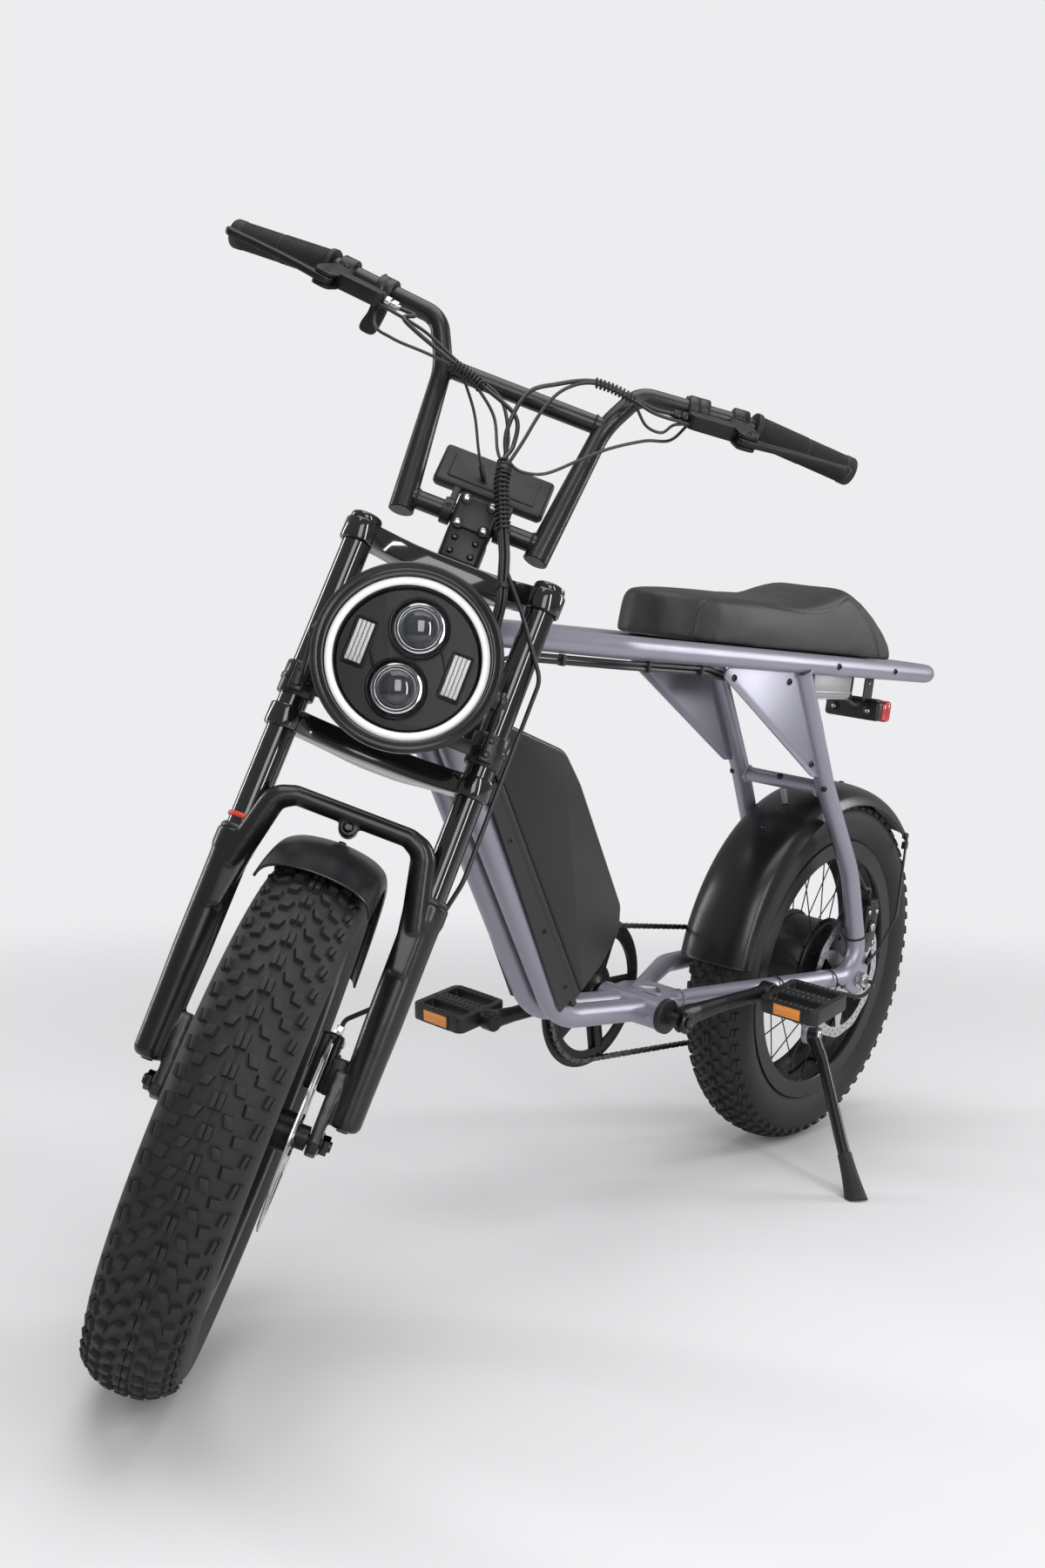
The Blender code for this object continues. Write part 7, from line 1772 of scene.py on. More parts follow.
# %% [markdown]
# ## Controller and tail light
#
# Under the seat hangs the motor controller, a plain aluminium extrusion with plastic end plates, where the
# cables go in. Behind it a folded steel bracket carries the tail light: a black housing whose red lens wraps
# round both ends, so that one sees a corner of it even from the front.

# %% Controller and tail light
fins = [block((0.0745, y - 0.0012, 0.7145), (0.1915, y + 0.0012, 0.7180), 0.0008)
        for y in (side * (0.0500 - 0.0110 * k) for side in (1, -1) for k in range(5))]
box = block((0.0745, -0.0545, 0.7168), (0.1915, 0.0545, 0.7635), 0.0040, 4)
grooves = [block((0.0745, side * 0.0540, z), (0.1915, side * 0.0552, z + 0.0030), 0.0006) for side in (1, -1)
           for z in (0.7240, 0.7540)]
piece("controller_box", together(box, *fins, *grooves), silver_alloy, "frame", BIKE, 35, ("controller_case",))
ends = [block((low, -0.0550, 0.7160), (high, 0.0550, 0.7640), 0.0016)
        for low, high in ((0.0705, 0.0748), (0.1912, 0.1955))]
glands = [rod((0.1950, y, 0.7360), (0.2030, y, 0.7360), 0.0056, 20, ease=0.0008)
          for y in (0.0380, 0.0180, -0.0100, -0.0320)]
piece("controller_ends", together(*ends, *glands), black_plastic, "frame", BIKE, 35, ("controller_case",))
screws = [bolt_at((x, y, z), (way, 0, 0), 0.0028, 0.0014) for x, way in ((0.0705, -1), (0.1955, 1))
          for y in (-0.049, 0.049) for z in (0.7215, 0.7585)]
piece("controller_screws", together(*screws), bright_steel, "frame", BIKE, 35, part="controller_case")

housing = together(block((-0.0620, -0.0472, 0.6800), (-0.0362, 0.0472, 0.7110), 0.0060, 4),
                   *[rod((-0.0375, y, 0.6950), (-0.0345, y, 0.6950), 0.0085, 28, ease=0.0008)
                     for y in (-0.0300, 0.0300)], block((-0.0600, -0.0400, 0.7095),
                                                        (-0.0420, 0.0400, 0.7130), 0.0012))
bracket = [block((-0.0580, y - 0.0012, 0.7080), (-0.0300, y + 0.0012, 0.7555), 0.0004, 1)
           for y in (-0.0212, 0.0212)]
cross = block((-0.0580, -0.0600, 0.7540), (-0.0045, 0.0600, 0.7562), 0.0005, 1)
arms = [block((-0.0480, y - 0.0100, 0.7500), (-0.0160, y + 0.0040, 0.7560), 0.0008)
        for y in (0.0680, -0.0680)]
piece("tail_light_housing", together(housing, *bracket, cross, *arms), black_plastic, "frame", BIKE, 35,
      ("tail_light",))
lens = together(block((-0.0780, -0.0500, 0.6790), (-0.0605, 0.0500, 0.7125), 0.0058, 4),
                *[block((-0.0640, y - 0.0058, 0.6830), (-0.0500, y + 0.0058, 0.7080), 0.0030)
                  for y in (0.0440, -0.0440)],
                block((-0.0618, -0.0260, 0.7085), (-0.0560, 0.0380, 0.7140), 0.0010))
piece("tail_light_lens", lens, red_lens, "frame", BIKE, 40, ("tail_light",))
bolts = [bolt_at((-0.0344, y, 0.6950), (1, 0, 0), 0.0040, 0.0020) for y in (-0.0300, 0.0300)]
bolts += [bolt_at((-0.0440, side * 0.0224, 0.7380), (0, side, 0), 0.0032, 0.0018) for side in (1, -1)]
piece("tail_light_bolts", together(*bolts), bright_steel, "frame", BIKE, 35, part="tail_light")
wires = [pipe(rounded([(0.0690, y, 0.7420), (0.0500, y + 0.002, 0.7400), (0.0300, y + 0.006, 0.7150),
                       (0.0000, y + 0.010, 0.7020), (-0.0340, y + 0.004, 0.7060)], (0.012, 0.02, 0.03), 10),
              0.0016, 10) for y in (0.0120, 0.0164)]
piece("tail_light_wires", together(*wires), hose_rubber, "frame", BIKE, 60, part="tail_light")
print("controller and tail light done,", len(PIECES), "pieces")

# %% [markdown]
# ## Drive
#
# A chain is a loop of links of one pitch, 12.7 mm. Its way round the ring, the cog and the two small guide
# wheels is found as circles joined by tangents, and then walked in equal steps. Odd steps get a pair of outer
# side plates and even steps a pair of inner ones, with a roller at every joint. A link's plate is a
# figure of eight: two round ends and a waist.

# %% Walk the chain round its circles
PITCH_STEP = 0.0127
PEDAL_AXLE = Vector((pedal_axis.x, pedal_axis.z))
RING_TEETH = 48
GUIDE_TEETH = 11
CHAIN_LINE = -0.067
HUB_CENTRE = Vector((0, TYRE_RADIUS))
UPPER_GUIDE = Vector((0.012, 0.2150))
LOWER_GUIDE = Vector((0.048, 0.1760))
COGS = (28, 24, 22, 20, 18, 16, 14)
CHAIN_ON = 3
COG_SPACING = 0.0048
COG_HALF = 0.0009


def pitch_circle(teeth):
    return PITCH_STEP / (2 * math.sin(math.pi / teeth))


def tangent(a, ra, b, rb):
    """Where a straight run leaves circle a and meets circle b.

    A positive radius keeps the circle on the right.
    """
    run = b - a
    angle = math.atan2(run.y, run.x) + math.pi / 2 - math.asin((ra - rb) / run.length)
    normal = Vector(polar(1, angle))
    return a + normal * ra, b + normal * rb


circles = [(PEDAL_AXLE, pitch_circle(RING_TEETH)), (LOWER_GUIDE, pitch_circle(GUIDE_TEETH)),
           (UPPER_GUIDE, -pitch_circle(GUIDE_TEETH)), (HUB_CENTRE, pitch_circle(COGS[CHAIN_ON]))]
runs = [tangent(*circles[k], *circles[(k + 1) % 4]) for k in range(4)]
loop = []
for k, (centre, radius) in enumerate(circles):
    start = runs[k - 1][1] - centre
    end = runs[k][0] - centre
    begin = math.atan2(start.y, start.x)
    sweep = math.atan2(end.y, end.x) - begin
    while radius > 0 and sweep > -0.05:
        sweep -= math.tau
    while radius < 0 and sweep < 0.05:
        sweep += math.tau
    steps = math.ceil(abs(sweep * radius) / 0.0005)
    for j in range(steps + 1):
        loop.append(centre + Vector(polar(1, begin + sweep * j / steps)) * abs(radius))
lengths = [0.0]
for a, b in zip(loop, loop[1:] + loop[:1]):
    lengths.append(lengths[-1] + (b - a).length)
link_count = 2 * round(lengths[-1] / PITCH_STEP / 2)
joints = []
where = 0
for k in range(link_count):
    target = lengths[-1] * k / link_count
    while lengths[where + 1] < target:
        where += 1
    a, b = loop[where], loop[(where + 1) % len(loop)]
    joints.append(a.lerp(b, (target - lengths[where]) / max(lengths[where + 1] - lengths[where], 1e-9)))
print("chain of", link_count, "links,", round(lengths[-1], 4), "m")


def link_plate(half, waist):
    """Half a figure of eight: round ends one pitch apart and a waist between them."""
    points = []
    for centre, turn in ((PITCH_STEP, 0), (0.0, 180)):
        for degrees in (-60, -20, 20, 60):
            x, y = polar(half, math.radians(turn + degrees))
            points.append((centre + x, y))
        points.append((PITCH_STEP / 2, waist if turn == 0 else -waist))
    return points


links = []
for k in range(link_count):
    a, b = joints[k], joints[(k + 1) % link_count]
    along = (b - a).normalized()
    place = Matrix(((along.x, 0, -along.y, a.x), (0, 1, 0, CHAIN_LINE), (along.y, 0, along.x, a.y),
                    (0, 0, 0, 1)))
    out, thick = (0.0034, 0.0011) if k % 2 == 0 else (0.0023, 0.0010)
    half = 0.0040 if k % 2 == 0 else 0.0041
    for side in (1, -1):
        low, high = sorted((side * out, side * (out - thick)))
        links.append(moved(plate(link_plate(half, 0.0028), low, high), place, SIDE_PLANE))
    links.append(moved(rod((0, -0.0034, 0), (0, 0.0034, 0), 0.0019, 8), place))
    links.append(moved(rod((0, -0.0013, 0), (0, 0.0013, 0), 0.0036, 10), place))
piece("chain_links", together(*links), chain_steel, "frame", BIKE, 40, ("chain",))

# %% [markdown]
# Teeth come from one rule: over each tooth the outline rises from the root, where a roller sits, to a narrow
# tip. Cut-outs and lightening holes fill as extra loops of the same flat sheet. The cogs get smaller from
# the wheel outwards, and the chain lies on the middle one.

# %% Cogs, ring, guard and cranks
def toothed(teeth, tall=0.0036):
    radius = pitch_circle(teeth)
    outline = []
    for k in range(teeth):
        for share, height in ((-0.34, -0.0031), (-0.24, -0.0016), (-0.10, tall - 0.0006), (0.0, tall),
                              (0.10, tall - 0.0006), (0.24, -0.0016), (0.34, -0.0031), (0.5, -0.0038)):
            outline.append(polar(radius + height, math.tau * (k + 0.5 + share) / teeth))
    return outline


cassette = []
for k, teeth in enumerate(COGS):
    plane = CHAIN_LINE - (k - CHAIN_ON) * COG_SPACING
    tall = 0.0012 if k == CHAIN_ON else 0.0030
    radius = pitch_circle(teeth)
    holes = [ring_of(24, 0.0150)]
    if teeth > 18:
        holes += [[(x + a, y + b) for a, b in ring_of(10, 0.0035)]
                  for x, y in ring_of(8, (radius + 0.0150) / 2, 0.2 * k)]
    cassette.append(moved(sheet(toothed(teeth, tall), holes, plane - COG_HALF, plane + COG_HALF), SIDE_PLANE))
body = lathe([(0.0092, 0.0510), (0.0205, 0.0510), (0.0205, 0.0835), (0.0192, 0.0850), (0.0120, 0.0868),
              (0.0092, 0.0872)], 40)
cassette.append(moved(body, OTHER_SIDE, Z_TO_Y))
piece("cassette", together(*cassette), chain_steel, "freewheel", REAR_HUB, 35, ("freewheel",))

CRANK = BIKE @ shifted(PEDAL_AXLE.x, 0, PEDAL_AXLE.y)
teeth = toothed(RING_TEETH, 0.0010)
rim = moved(sheet(teeth, [ring_of(60, 0.0830)], CHAIN_LINE - COG_HALF, CHAIN_LINE + COG_HALF), SIDE_PLANE)
lugs = []
for k in range(5):
    arm = plate([(0.018, -0.0105), (0.050, -0.0070), (0.0790, -0.0085), (0.0905, -0.0060), (0.0905, 0.0060),
                 (0.0790, 0.0085), (0.050, 0.0070), (0.018, 0.0105)], CHAIN_LINE - 0.0046,
                CHAIN_LINE + 0.0012, 0.0012)
    lugs.append(moved(arm, turned(-72 * (k + 0.5), "Y"), SIDE_PLANE))
hub = moved(lathe([(0, 0.0600), (0.0165, 0.0605), (0.0205, 0.0640), (0.0285, 0.0655), (0.0290, 0.0720),
                   (0.0240, 0.0755), (0.0175, 0.0780), (0.0165, 0.0900), (0.0150, 0.0912), (0, 0.0912)],
                  48), OTHER_SIDE, Z_TO_Y)
piece("chain_ring", together(rim, *lugs, hub), black_alloy, "cranks", CRANK, 35, ("crank_right",))
windows = []
for k in range(5):
    a = math.tau * k / 5
    windows.append([polar(0.0855, a + (-0.44 + 0.11 * j)) for j in range(9)]
                   + [polar(0.0430, a + (0.24 - 0.12 * j)) for j in range(5)])
guard = sheet(ring_of(120, 0.1083), windows, CHAIN_LINE - 0.0066, CHAIN_LINE - 0.0046, 0.0005)
rim = pipe([(x, CHAIN_LINE - 0.0056, z) for x, z in ring_of(120, 0.1068)], 0.0015, 8, closed=True)
piece("chain_guard", together(moved(guard, SIDE_PLANE), rim), black_plastic, "cranks", CRANK, 40,
      ("crank_right",))
ring_bolts = [bolt_at((x, CHAIN_LINE - 0.0066, z), (0, -1, 0), 0.0042, 0.0016)
              for x, z in (polar(0.0845, math.tau * (k + 0.5) / 5) for k in range(5))]
piece("ring_bolts", together(*ring_bolts), bright_steel, "cranks", CRANK, 35, part="crank_right")


CRANK_WAY = Vector((math.cos(CRANK_ANGLE), 0, math.sin(CRANK_ANGLE)))


def crank_arm(sign):
    """One forged arm, flat and tapered, from its root on the spindle to the pedal's eye."""
    flat = 0.74
    way = CRANK_WAY * sign
    outs = (0.0765, 0.0765, 0.0790, 0.0885, 0.1010, 0.1085, 0.1085) if sign > 0 else (
        0.0810, 0.0815, 0.0835, 0.0925, 0.1020, 0.1085, 0.1085)
    path = [way * along + Vector((0, sign * out / flat, 0)) for along, out in
            zip((0.0, 0.018, 0.040, 0.092, 0.135, 0.160, 0.172), outs)]
    thick = (1.62, 1.55, 1.25, 1.0, 0.98, 1.16, 1.22)
    arm = moved(pipe(path, 0.0112, 24, thick), Matrix.Diagonal((1, flat, 1, 1)))
    middle = way * PEDAL_REACH
    eye = rod(middle + Vector((0, sign * 0.1000, 0)), middle + Vector((0, sign * 0.1205, 0)), 0.0142, 32,
              ease=0.0016)
    return cast(together(arm, eye), 0.0016, 5)


piece("crank_arm_left", crank_arm(1), black_alloy, "cranks", CRANK, 60, ("crank_left",))
piece("crank_arm_right", crank_arm(-1), black_alloy, "cranks", CRANK, 60, ("crank_right",))
caps = []
for sign, face in ((1, 0.0895), (-1, 0.0912)):
    cap = lathe([(0.0150, -0.0005), (0.0150, 0.0018), (0.0138, 0.0030), (0.0105, 0.0034), (0.0092, 0.0022),
                 (0, 0.0018)], 40)
    caps.append(moved(cap, ON_SIDE[sign], shifted(0, face, 0), Z_TO_Y))
    caps.append(rod((0, sign * face, 0), (0, sign * (face + 0.0048), 0), 0.0074, 6, ease=0.0006))
piece("crank_bolts", together(*caps), dark_bolts, "cranks", CRANK, 35, part="crank_left")
spindle = rod((0, -0.0900, 0), (0, 0.0795, 0), 0.0098, 28)
sensor = moved(lathe([(0.0080, 0.0515), (0.0232, 0.0515), (0.0240, 0.0523), (0.0240, 0.0592),
                      (0.0232, 0.0600), (0.0200, 0.0604), (0.0150, 0.0600), (0.0080, 0.0600)], 48), Z_TO_Y)
piece("crank_spindle", together(spindle, sensor), black_plastic, "cranks", CRANK, 35, ("crank_right",))
print("rings and cranks done")

# %% [markdown]
# The pedals are moulded platforms: a frame of rounded bars round two windows, ribbed treads, and a barrel for
# the axle. An orange reflector sits in a recess at the front and the back of each.

# %% Pedals with their reflectors
def pedal_frame():
    outline = closed_outline([(0.0, 0.1235), (0.0460, 0.1235), (0.0460, 0.2140), (-0.0460, 0.2140),
                              (-0.0460, 0.1235)], (0.010, 0.012, 0.012, 0.010))
    windows = []
    for low, high in ((-0.0350, -0.0130), (0.0130, 0.0350)):
        windows.append(closed_outline([((low + high) / 2, 0.1330), (high, 0.1330), (high, 0.2040),
                                       (low, 0.2040), (low, 0.1330)], (0.004,) * 4))
    body = sheet(outline, windows, -0.0110, 0.0110, 0.0016)
    parts = [body, rod((0, 0.1222, 0), (0, 0.2110, 0), 0.0118, 28, ease=0.0012),
             rod((0, 0.1015, 0), (0, 0.1260, 0), 0.0060, 20),
             rod((0, 0.1222, 0), (0, 0.1300, 0), 0.0088, 28, ease=0.0008)]
    for x in (-0.0400, -0.0065, 0.0065, 0.0400):
        for k in range(9):
            y = 0.1370 + 0.0080 * k
            for z in (-0.0120, 0.0120):
                parts.append(block((x - 0.0035, y, min(z, z * 0.85)),
                                   (x + 0.0035, y + 0.0030, max(z, z * 0.85)), 0.0006, 1))
    return together(*parts)


def pedal_reflectors():
    return together(*[block((side * 0.0458 - 0.0014, 0.1480, -0.0080),
                            (side * 0.0458 + 0.0014, 0.1900, 0.0080), 0.0010) for side in (1, -1)])


def reflector_frames():
    rims = []
    for side in (1, -1):
        for low, high in (((0.1455, -0.0102), (0.1480, 0.0102)), ((0.1900, -0.0102), (0.1925, 0.0102)),
                          ((0.1455, 0.0080), (0.1925, 0.0102)), ((0.1455, -0.0102), (0.1925, -0.0080))):
            rims.append(block((side * 0.0452 - 0.0020, *low), (side * 0.0452 + 0.0020, *high), 0.0006, 1))
    return together(*rims)


eye = CRANK_WAY * PEDAL_REACH
for sign, name in SIDES:
    place = CRANK @ shifted(*(eye * sign)) @ turned(9, "Y") @ ON_SIDE[sign]
    piece("pedal_frame_" + name, together(pedal_frame(), reflector_frames()), black_plastic,
          "pedal_" + name, place, 35, ("pedal_" + name,))
    piece("pedal_reflectors_" + name, pedal_reflectors(), orange_reflector, "pedal_" + name, place, 35,
          part="pedal_" + name)
print("pedals done")

# %% Derailleur
cage_outline = splined([(guide.x + x, guide.y + y) for guide, x, y in (
    (UPPER_GUIDE, -0.0085, 0.0095), (UPPER_GUIDE, 0.0060, 0.0100), (UPPER_GUIDE, 0.0105, -0.0020),
    (LOWER_GUIDE, 0.0100, 0.0060), (LOWER_GUIDE, 0.0085, -0.0075), (LOWER_GUIDE, -0.0035, -0.0100),
    (LOWER_GUIDE, -0.0105, -0.0010), (UPPER_GUIDE, -0.0105, -0.0050))], 6)
mech = [moved(plate(cage_outline, low, high, 0.0004, 1), SIDE_PLANE) for low,
        high in ((CHAIN_LINE - 0.0068, CHAIN_LINE - 0.0052), (CHAIN_LINE + 0.0052, CHAIN_LINE + 0.0068))]
knuckle = together(rod((0.0130, -0.0932, 0.2430), (0.0130, -0.0762, 0.2430), 0.0085, 28, ease=0.0010),
                   block((0.0055, -0.0865, 0.2090), (0.0215, -0.0770, 0.2450), 0.0030),
                   rod((0.0120, -0.0862, 0.2140), (0.0120, -0.0738, 0.2140), 0.0085, 28, ease=0.0010),
                   block((0.0068, -0.0890, 0.2160), (0.0120, -0.0850, 0.2400), 0.0014),
                   rod((0.0205, -0.0800, 0.2330), (0.0330, -0.0800, 0.2330), 0.0030, 16, ease=0.0005))
piece("derailleur_body", together(*mech, knuckle), black_alloy, "frame", BIKE, 35, ("rear_derailleur",))
guides = []
for centre in (UPPER_GUIDE, LOWER_GUIDE):
    wheel = sheet(toothed(GUIDE_TEETH, -0.0006), [ring_of(16, 0.0040)], -0.0010, 0.0010)
    guides.append(moved(wheel, shifted(centre.x, CHAIN_LINE, centre.y), SIDE_PLANE))
    guides.append(moved(rod((0, -0.0050, 0), (0, 0.0050, 0), 0.0070, 24),
                        shifted(centre.x, CHAIN_LINE, centre.y)))
piece("guide_wheels", together(*guides), black_plastic, "frame", BIKE, 35, ("rear_derailleur",))
mech_bolts = [bolt_at((x, CHAIN_LINE - 0.0068, z), (0, -1, 0), 0.0038, 0.0014)
              for x, z in (UPPER_GUIDE, LOWER_GUIDE)]
mech_bolts += [bolt_at((0.0330, -0.0800, 0.2330), (1, 0, 0), 0.0036, 0.0020)]
piece("derailleur_bolts", together(*mech_bolts), bright_steel, "frame", BIKE, 35, part="rear_derailleur")
print("drive done,", len(PIECES), "pieces")

# %% [markdown]
# ## Mudguards
#
# A mudguard is one curved section swept round the wheel's own axis. The section is drawn through a few points
# as a smooth line, given its wall by its second side, and spun through part of a turn. Its edges are rolled
# over a wire, which stiffens them and draws the bright line round the rim.

# %% Spin the mudguards
def guard_shape(crest, lip, half, first, last, steps, skin=0.0022):
    drop = crest - lip
    through = [(-half, lip)] + [(-a * half, crest - b * drop) for a, b in (
        (0.955, 0.72), (0.87, 0.46), (0.70, 0.24), (0.50, 0.11), (0.25, 0.028))] + [(0, crest)]
    through += [(-a, b) for a, b in reversed(through[:-1])]
    outer = [(p.x, p.y) for p in eased_line([(a, b, 0) for a, b in through], 3)]
    inner = [(a * (1 - skin / half), b - skin * (1 if abs(a) < 0.9 * half else 0.55))
             for a, b in reversed(outer)]
    bm = bmesh.new()
    points = []
    for across, radius in outer + inner:
        x, z = polar(radius, math.radians(first))
        points.append(bm.verts.new((x, across, z)))
    edges = [bm.edges.new(pair) for pair in zip(points, points[1:] + points[:1])]
    bmesh.ops.spin(bm, geom=points + edges, cent=(0, 0, 0), axis=(0, -1, 0),
                   angle=math.radians(last - first), steps=steps)
    bmesh.ops.contextual_create(bm, geom=edges)
    bm.edges.ensure_lookup_table()
    open_edges = [edge for edge in bm.edges if edge.is_boundary]
    bmesh.ops.contextual_create(bm, geom=open_edges)
    rolled = []
    for side in (1, -1):
        rim = [(x, side * (half - 0.0014), z) for x, z in arc((0, 0), lip, first, last, steps + 1)]
        rolled.append(pipe(rim, 0.0016, 10))
    for degrees in (first, last):
        a = math.radians(degrees)
        ends = [((radius - 0.0010) * math.cos(a), across * 0.985, (radius - 0.0010) * math.sin(a))
                for across, radius in outer]
        rolled.append(pipe(ends, 0.0015, 8))
    return together(tidied(bm), *rolled)


def crest_bolt(crest, degrees):
    x, z = polar(1, math.radians(degrees))
    return bolt_at((crest * x, 0, crest * z), (x, 0, z), 0.0045, 0.0020)


FRONT_CREST = 0.2915
REAR_CREST = 0.2963
front_guard = guard_shape(FRONT_CREST, 0.2655, 0.0590, 57.0, 142.5, 58)
guard_bolt = crest_bolt(FRONT_CREST, 86)
piece("front_mudguard", front_guard, satin_black, "fork_lower", LOWERS, 40, ("front_fender",))
piece("front_mudguard_bolt", guard_bolt, dark_bolts, "fork_lower", LOWERS, 35, part="front_fender")

RIM_ANGLE = math.radians(130)
rim_way = Vector((math.cos(RIM_ANGLE), 0, math.sin(RIM_ANGLE)))
rim_point = Vector((0, 0.0595, 0)) + rim_way * 0.2735
rear_parts = [guard_shape(REAR_CREST, 0.2692, 0.0602, 7.5, 133.5, 84)]
rear_parts += [crest_bolt(REAR_CREST, degrees) for degrees in (52, 98)]
stay_wires, stay_clips = [], []
for side in (1, -1):
    mirror = Vector((1, side, 1))
    wire = rounded([Vector((-0.0140, 0.1038, 0.0280)) * mirror, Vector((-0.0300, 0.1090, 0.0430)) * mirror,
                    Vector((-0.0850, 0.1065, 0.0930)) * mirror, (rim_point + Vector((0, 0.0022, 0)))
                    * mirror], (0.012, 0.05), 8)
    stay_wires.append(pipe(wire, 0.0021, 14))
    stay_wires.append(rod(Vector((-0.0135, 0.1008, 0.0275)) * mirror,
                          Vector((-0.0135, 0.1062, 0.0275)) * mirror, 0.0055, 24, ease=0.0008))
    bolt_point = rim_point * mirror
    stay_clips.append(rod(bolt_point - Vector((0, 0.0045 * side, 0)),
                          bolt_point + Vector((0, 0.0030 * side, 0)), 0.0056, 24, ease=0.0010))
    clip_at = rim_point.lerp(Vector((-0.085, 0.1065, 0.093)), 0.12) * mirror
    clip_half = Vector((0.0045, 0.0042, 0.0060))
    stay_clips.append(block(clip_at - clip_half, clip_at + clip_half, 0.0014))
piece("rear_mudguard", together(*rear_parts), satin_black, "frame", REAR_HUB, 40, ("rear_fender",))
piece("mudguard_stays", together(*stay_wires), dark_bolts, "frame", REAR_HUB, 50, ("rear_fender",))
piece("mudguard_clips", together(*stay_clips), black_plastic, "frame", REAR_HUB, 35, ("rear_fender",))
print("mudguards done")

# %% [markdown]
# ## Axles and calipers
#
# Both axles end in plated hexagon nuts on washers. The calipers are small castings that straddle the discs:
# a body in two halves with a slot between them, an adjusting dial, a bridge and two mounting bolts. They are
# built as eased blocks and rods, and the slot is real, so that the disc runs through it.

# %% Axle nuts and washers
WASHER = 0.0014
THREAD_STEP = 0.0011


def nut(place, way, radius, thick, stud):
    """A hexagon nut on its washer, with the threaded end of the axle."""
    way = Vector(way)
    washer = rod(place, place + way * WASHER, radius * 1.28, 32, ease=0.0003)
    body = rod(place + way * WASHER, place + way * (WASHER + thick), radius * 1.12, 6, ease=0.0009)
    tip = rod(place + way * (WASHER + thick), place + way * stud, radius * 0.58, 24, ease=0.0008)
    threads = [rod(place + way * (0.0018 + thick + THREAD_STEP * k),
                   place + way * (0.0024 + thick + THREAD_STEP * k), radius * 0.62, 20)
               for k in range(int((stud - thick - 0.003) / THREAD_STEP))]
    return together(washer, body, tip, *threads)


rear_nuts = [nut(Vector((0, side * 0.1006, 0)), (0, side, 0), 0.0108, 0.0092, 0.0170) for side in (1, -1)]
spacers = [rod((0, side * start, 0), (0, side * 0.0932, 0), 0.0115, 32, ease=0.0006)
           for side, start in ((1, 0.0788), (-1, 0.0880))]
shaft = rod((0, -0.1180, 0), (0, 0.1180, 0), 0.0068, 28)
piece("rear_axle_nuts", together(*rear_nuts, *spacers, shaft), bright_steel, "frame", REAR_HUB, 35,
      ("rear_axle",))
front_nuts = [nut(Vector((0, side * 0.0898, 0)), (0, side, 0), 0.0093, 0.0074, 0.0116) for side in (1, -1)]
front_shaft = rod((0, -0.1000, 0), (0, 0.1000, 0), 0.0059, 28)
piece("front_axle_nuts", together(*front_nuts, front_shaft), dark_bolts, "fork_lower", LOWERS, 35,
      ("front_axle",))


# %% Calipers
def caliper(low, high, plane, wall=0.0019, reach=0.0100):
    """Two cast halves with the disc's slot between them, joined above it by a bridge."""
    (x0, y0, z0), (x1, y1, z1) = low, high
    parts = [block(low, (x1, plane - wall, z1), 0.0035), block((x0, plane + wall, z0), high, 0.0035),
             block((x0 + 0.003, plane - 0.0080, z1 - reach), (x1 - 0.003, plane + 0.0080, z1 + 0.0010),
                   0.0025)]
    middle = Vector(((x0 + x1) / 2, 0, (z0 + z1) / 2))
    parts.append(rod(middle + Vector((0, y1 - 0.0010, 0)), middle + Vector((0, y1 + 0.0028, 0)), 0.0125, 32,
                     ease=0.0010))
    parts.append(rod(middle + Vector((0, y0 + 0.0010, 0)), middle + Vector((0, y0 - 0.0016, 0)), 0.0120, 32,
                     ease=0.0008))
    return parts


rear_grip = caliper((-0.0615, 0.0620, 0.0405), (-0.0225, 0.0868, 0.1115), 0.0750)
rear_grip += [block((-0.0570, 0.0645, 0.1060), (-0.0290, 0.0868, 0.1196), 0.0025),
              block((-0.0335, 0.0850, 0.0370), (-0.0045, 0.0932, 0.0695), 0.0022)]
piece("rear_caliper_body", together(*rear_grip), black_alloy, "frame", REAR_HUB, 35, ("rear_caliper",))
rear_bolts = [bolt_at(place, (0, 1, 0), radius, 0.0022) for place, radius in (
    ((-0.0420, 0.0896, 0.0760), 0.0062), ((-0.0540, 0.0868, 0.0500), 0.0036),
    ((-0.0300, 0.0868, 0.1000), 0.0036), ((-0.0540, 0.0868, 0.1000), 0.0036))]
front_grip = caliper((-0.0755, 0.0485, 0.0445), (-0.0395, 0.0735, 0.1065), 0.0620)
front_grip += [block((-0.0555, 0.0700, 0.0445), (-0.0305, 0.0895, 0.0855), 0.0020)]
piece("front_caliper_body", together(*front_grip), black_alloy, "fork_lower", LOWERS, 35, ("front_caliper",))
front_bolts = [bolt_at(place, (0, 1, 0), radius, 0.0022) for place, radius in (
    ((-0.0575, 0.0763, 0.0755), 0.0062), ((-0.0690, 0.0735, 0.0980), 0.0036),
    ((-0.0460, 0.0735, 0.0980), 0.0036), ((-0.0430, 0.0895, 0.0550), 0.0040),
    ((-0.0430, 0.0895, 0.0760), 0.0040))]
piece("rear_caliper_bolts", together(*rear_bolts), bright_steel, "frame", REAR_HUB, 35, part="rear_caliper")
piece("front_caliper_bolts", together(*front_bolts), bright_steel, "fork_lower", LOWERS, 35,
      part="front_caliper")
print("axles and calipers done")

# %% [markdown]
# ## Side stand
#
# The stand is one forged leg with a flat head on its pin and a flared rubber foot. The foot is cut by the
# floor itself: the finished leg is bisected with the plane Z = 0 and the part below is cleared, so that it
# stands flat however the bicycle leans.

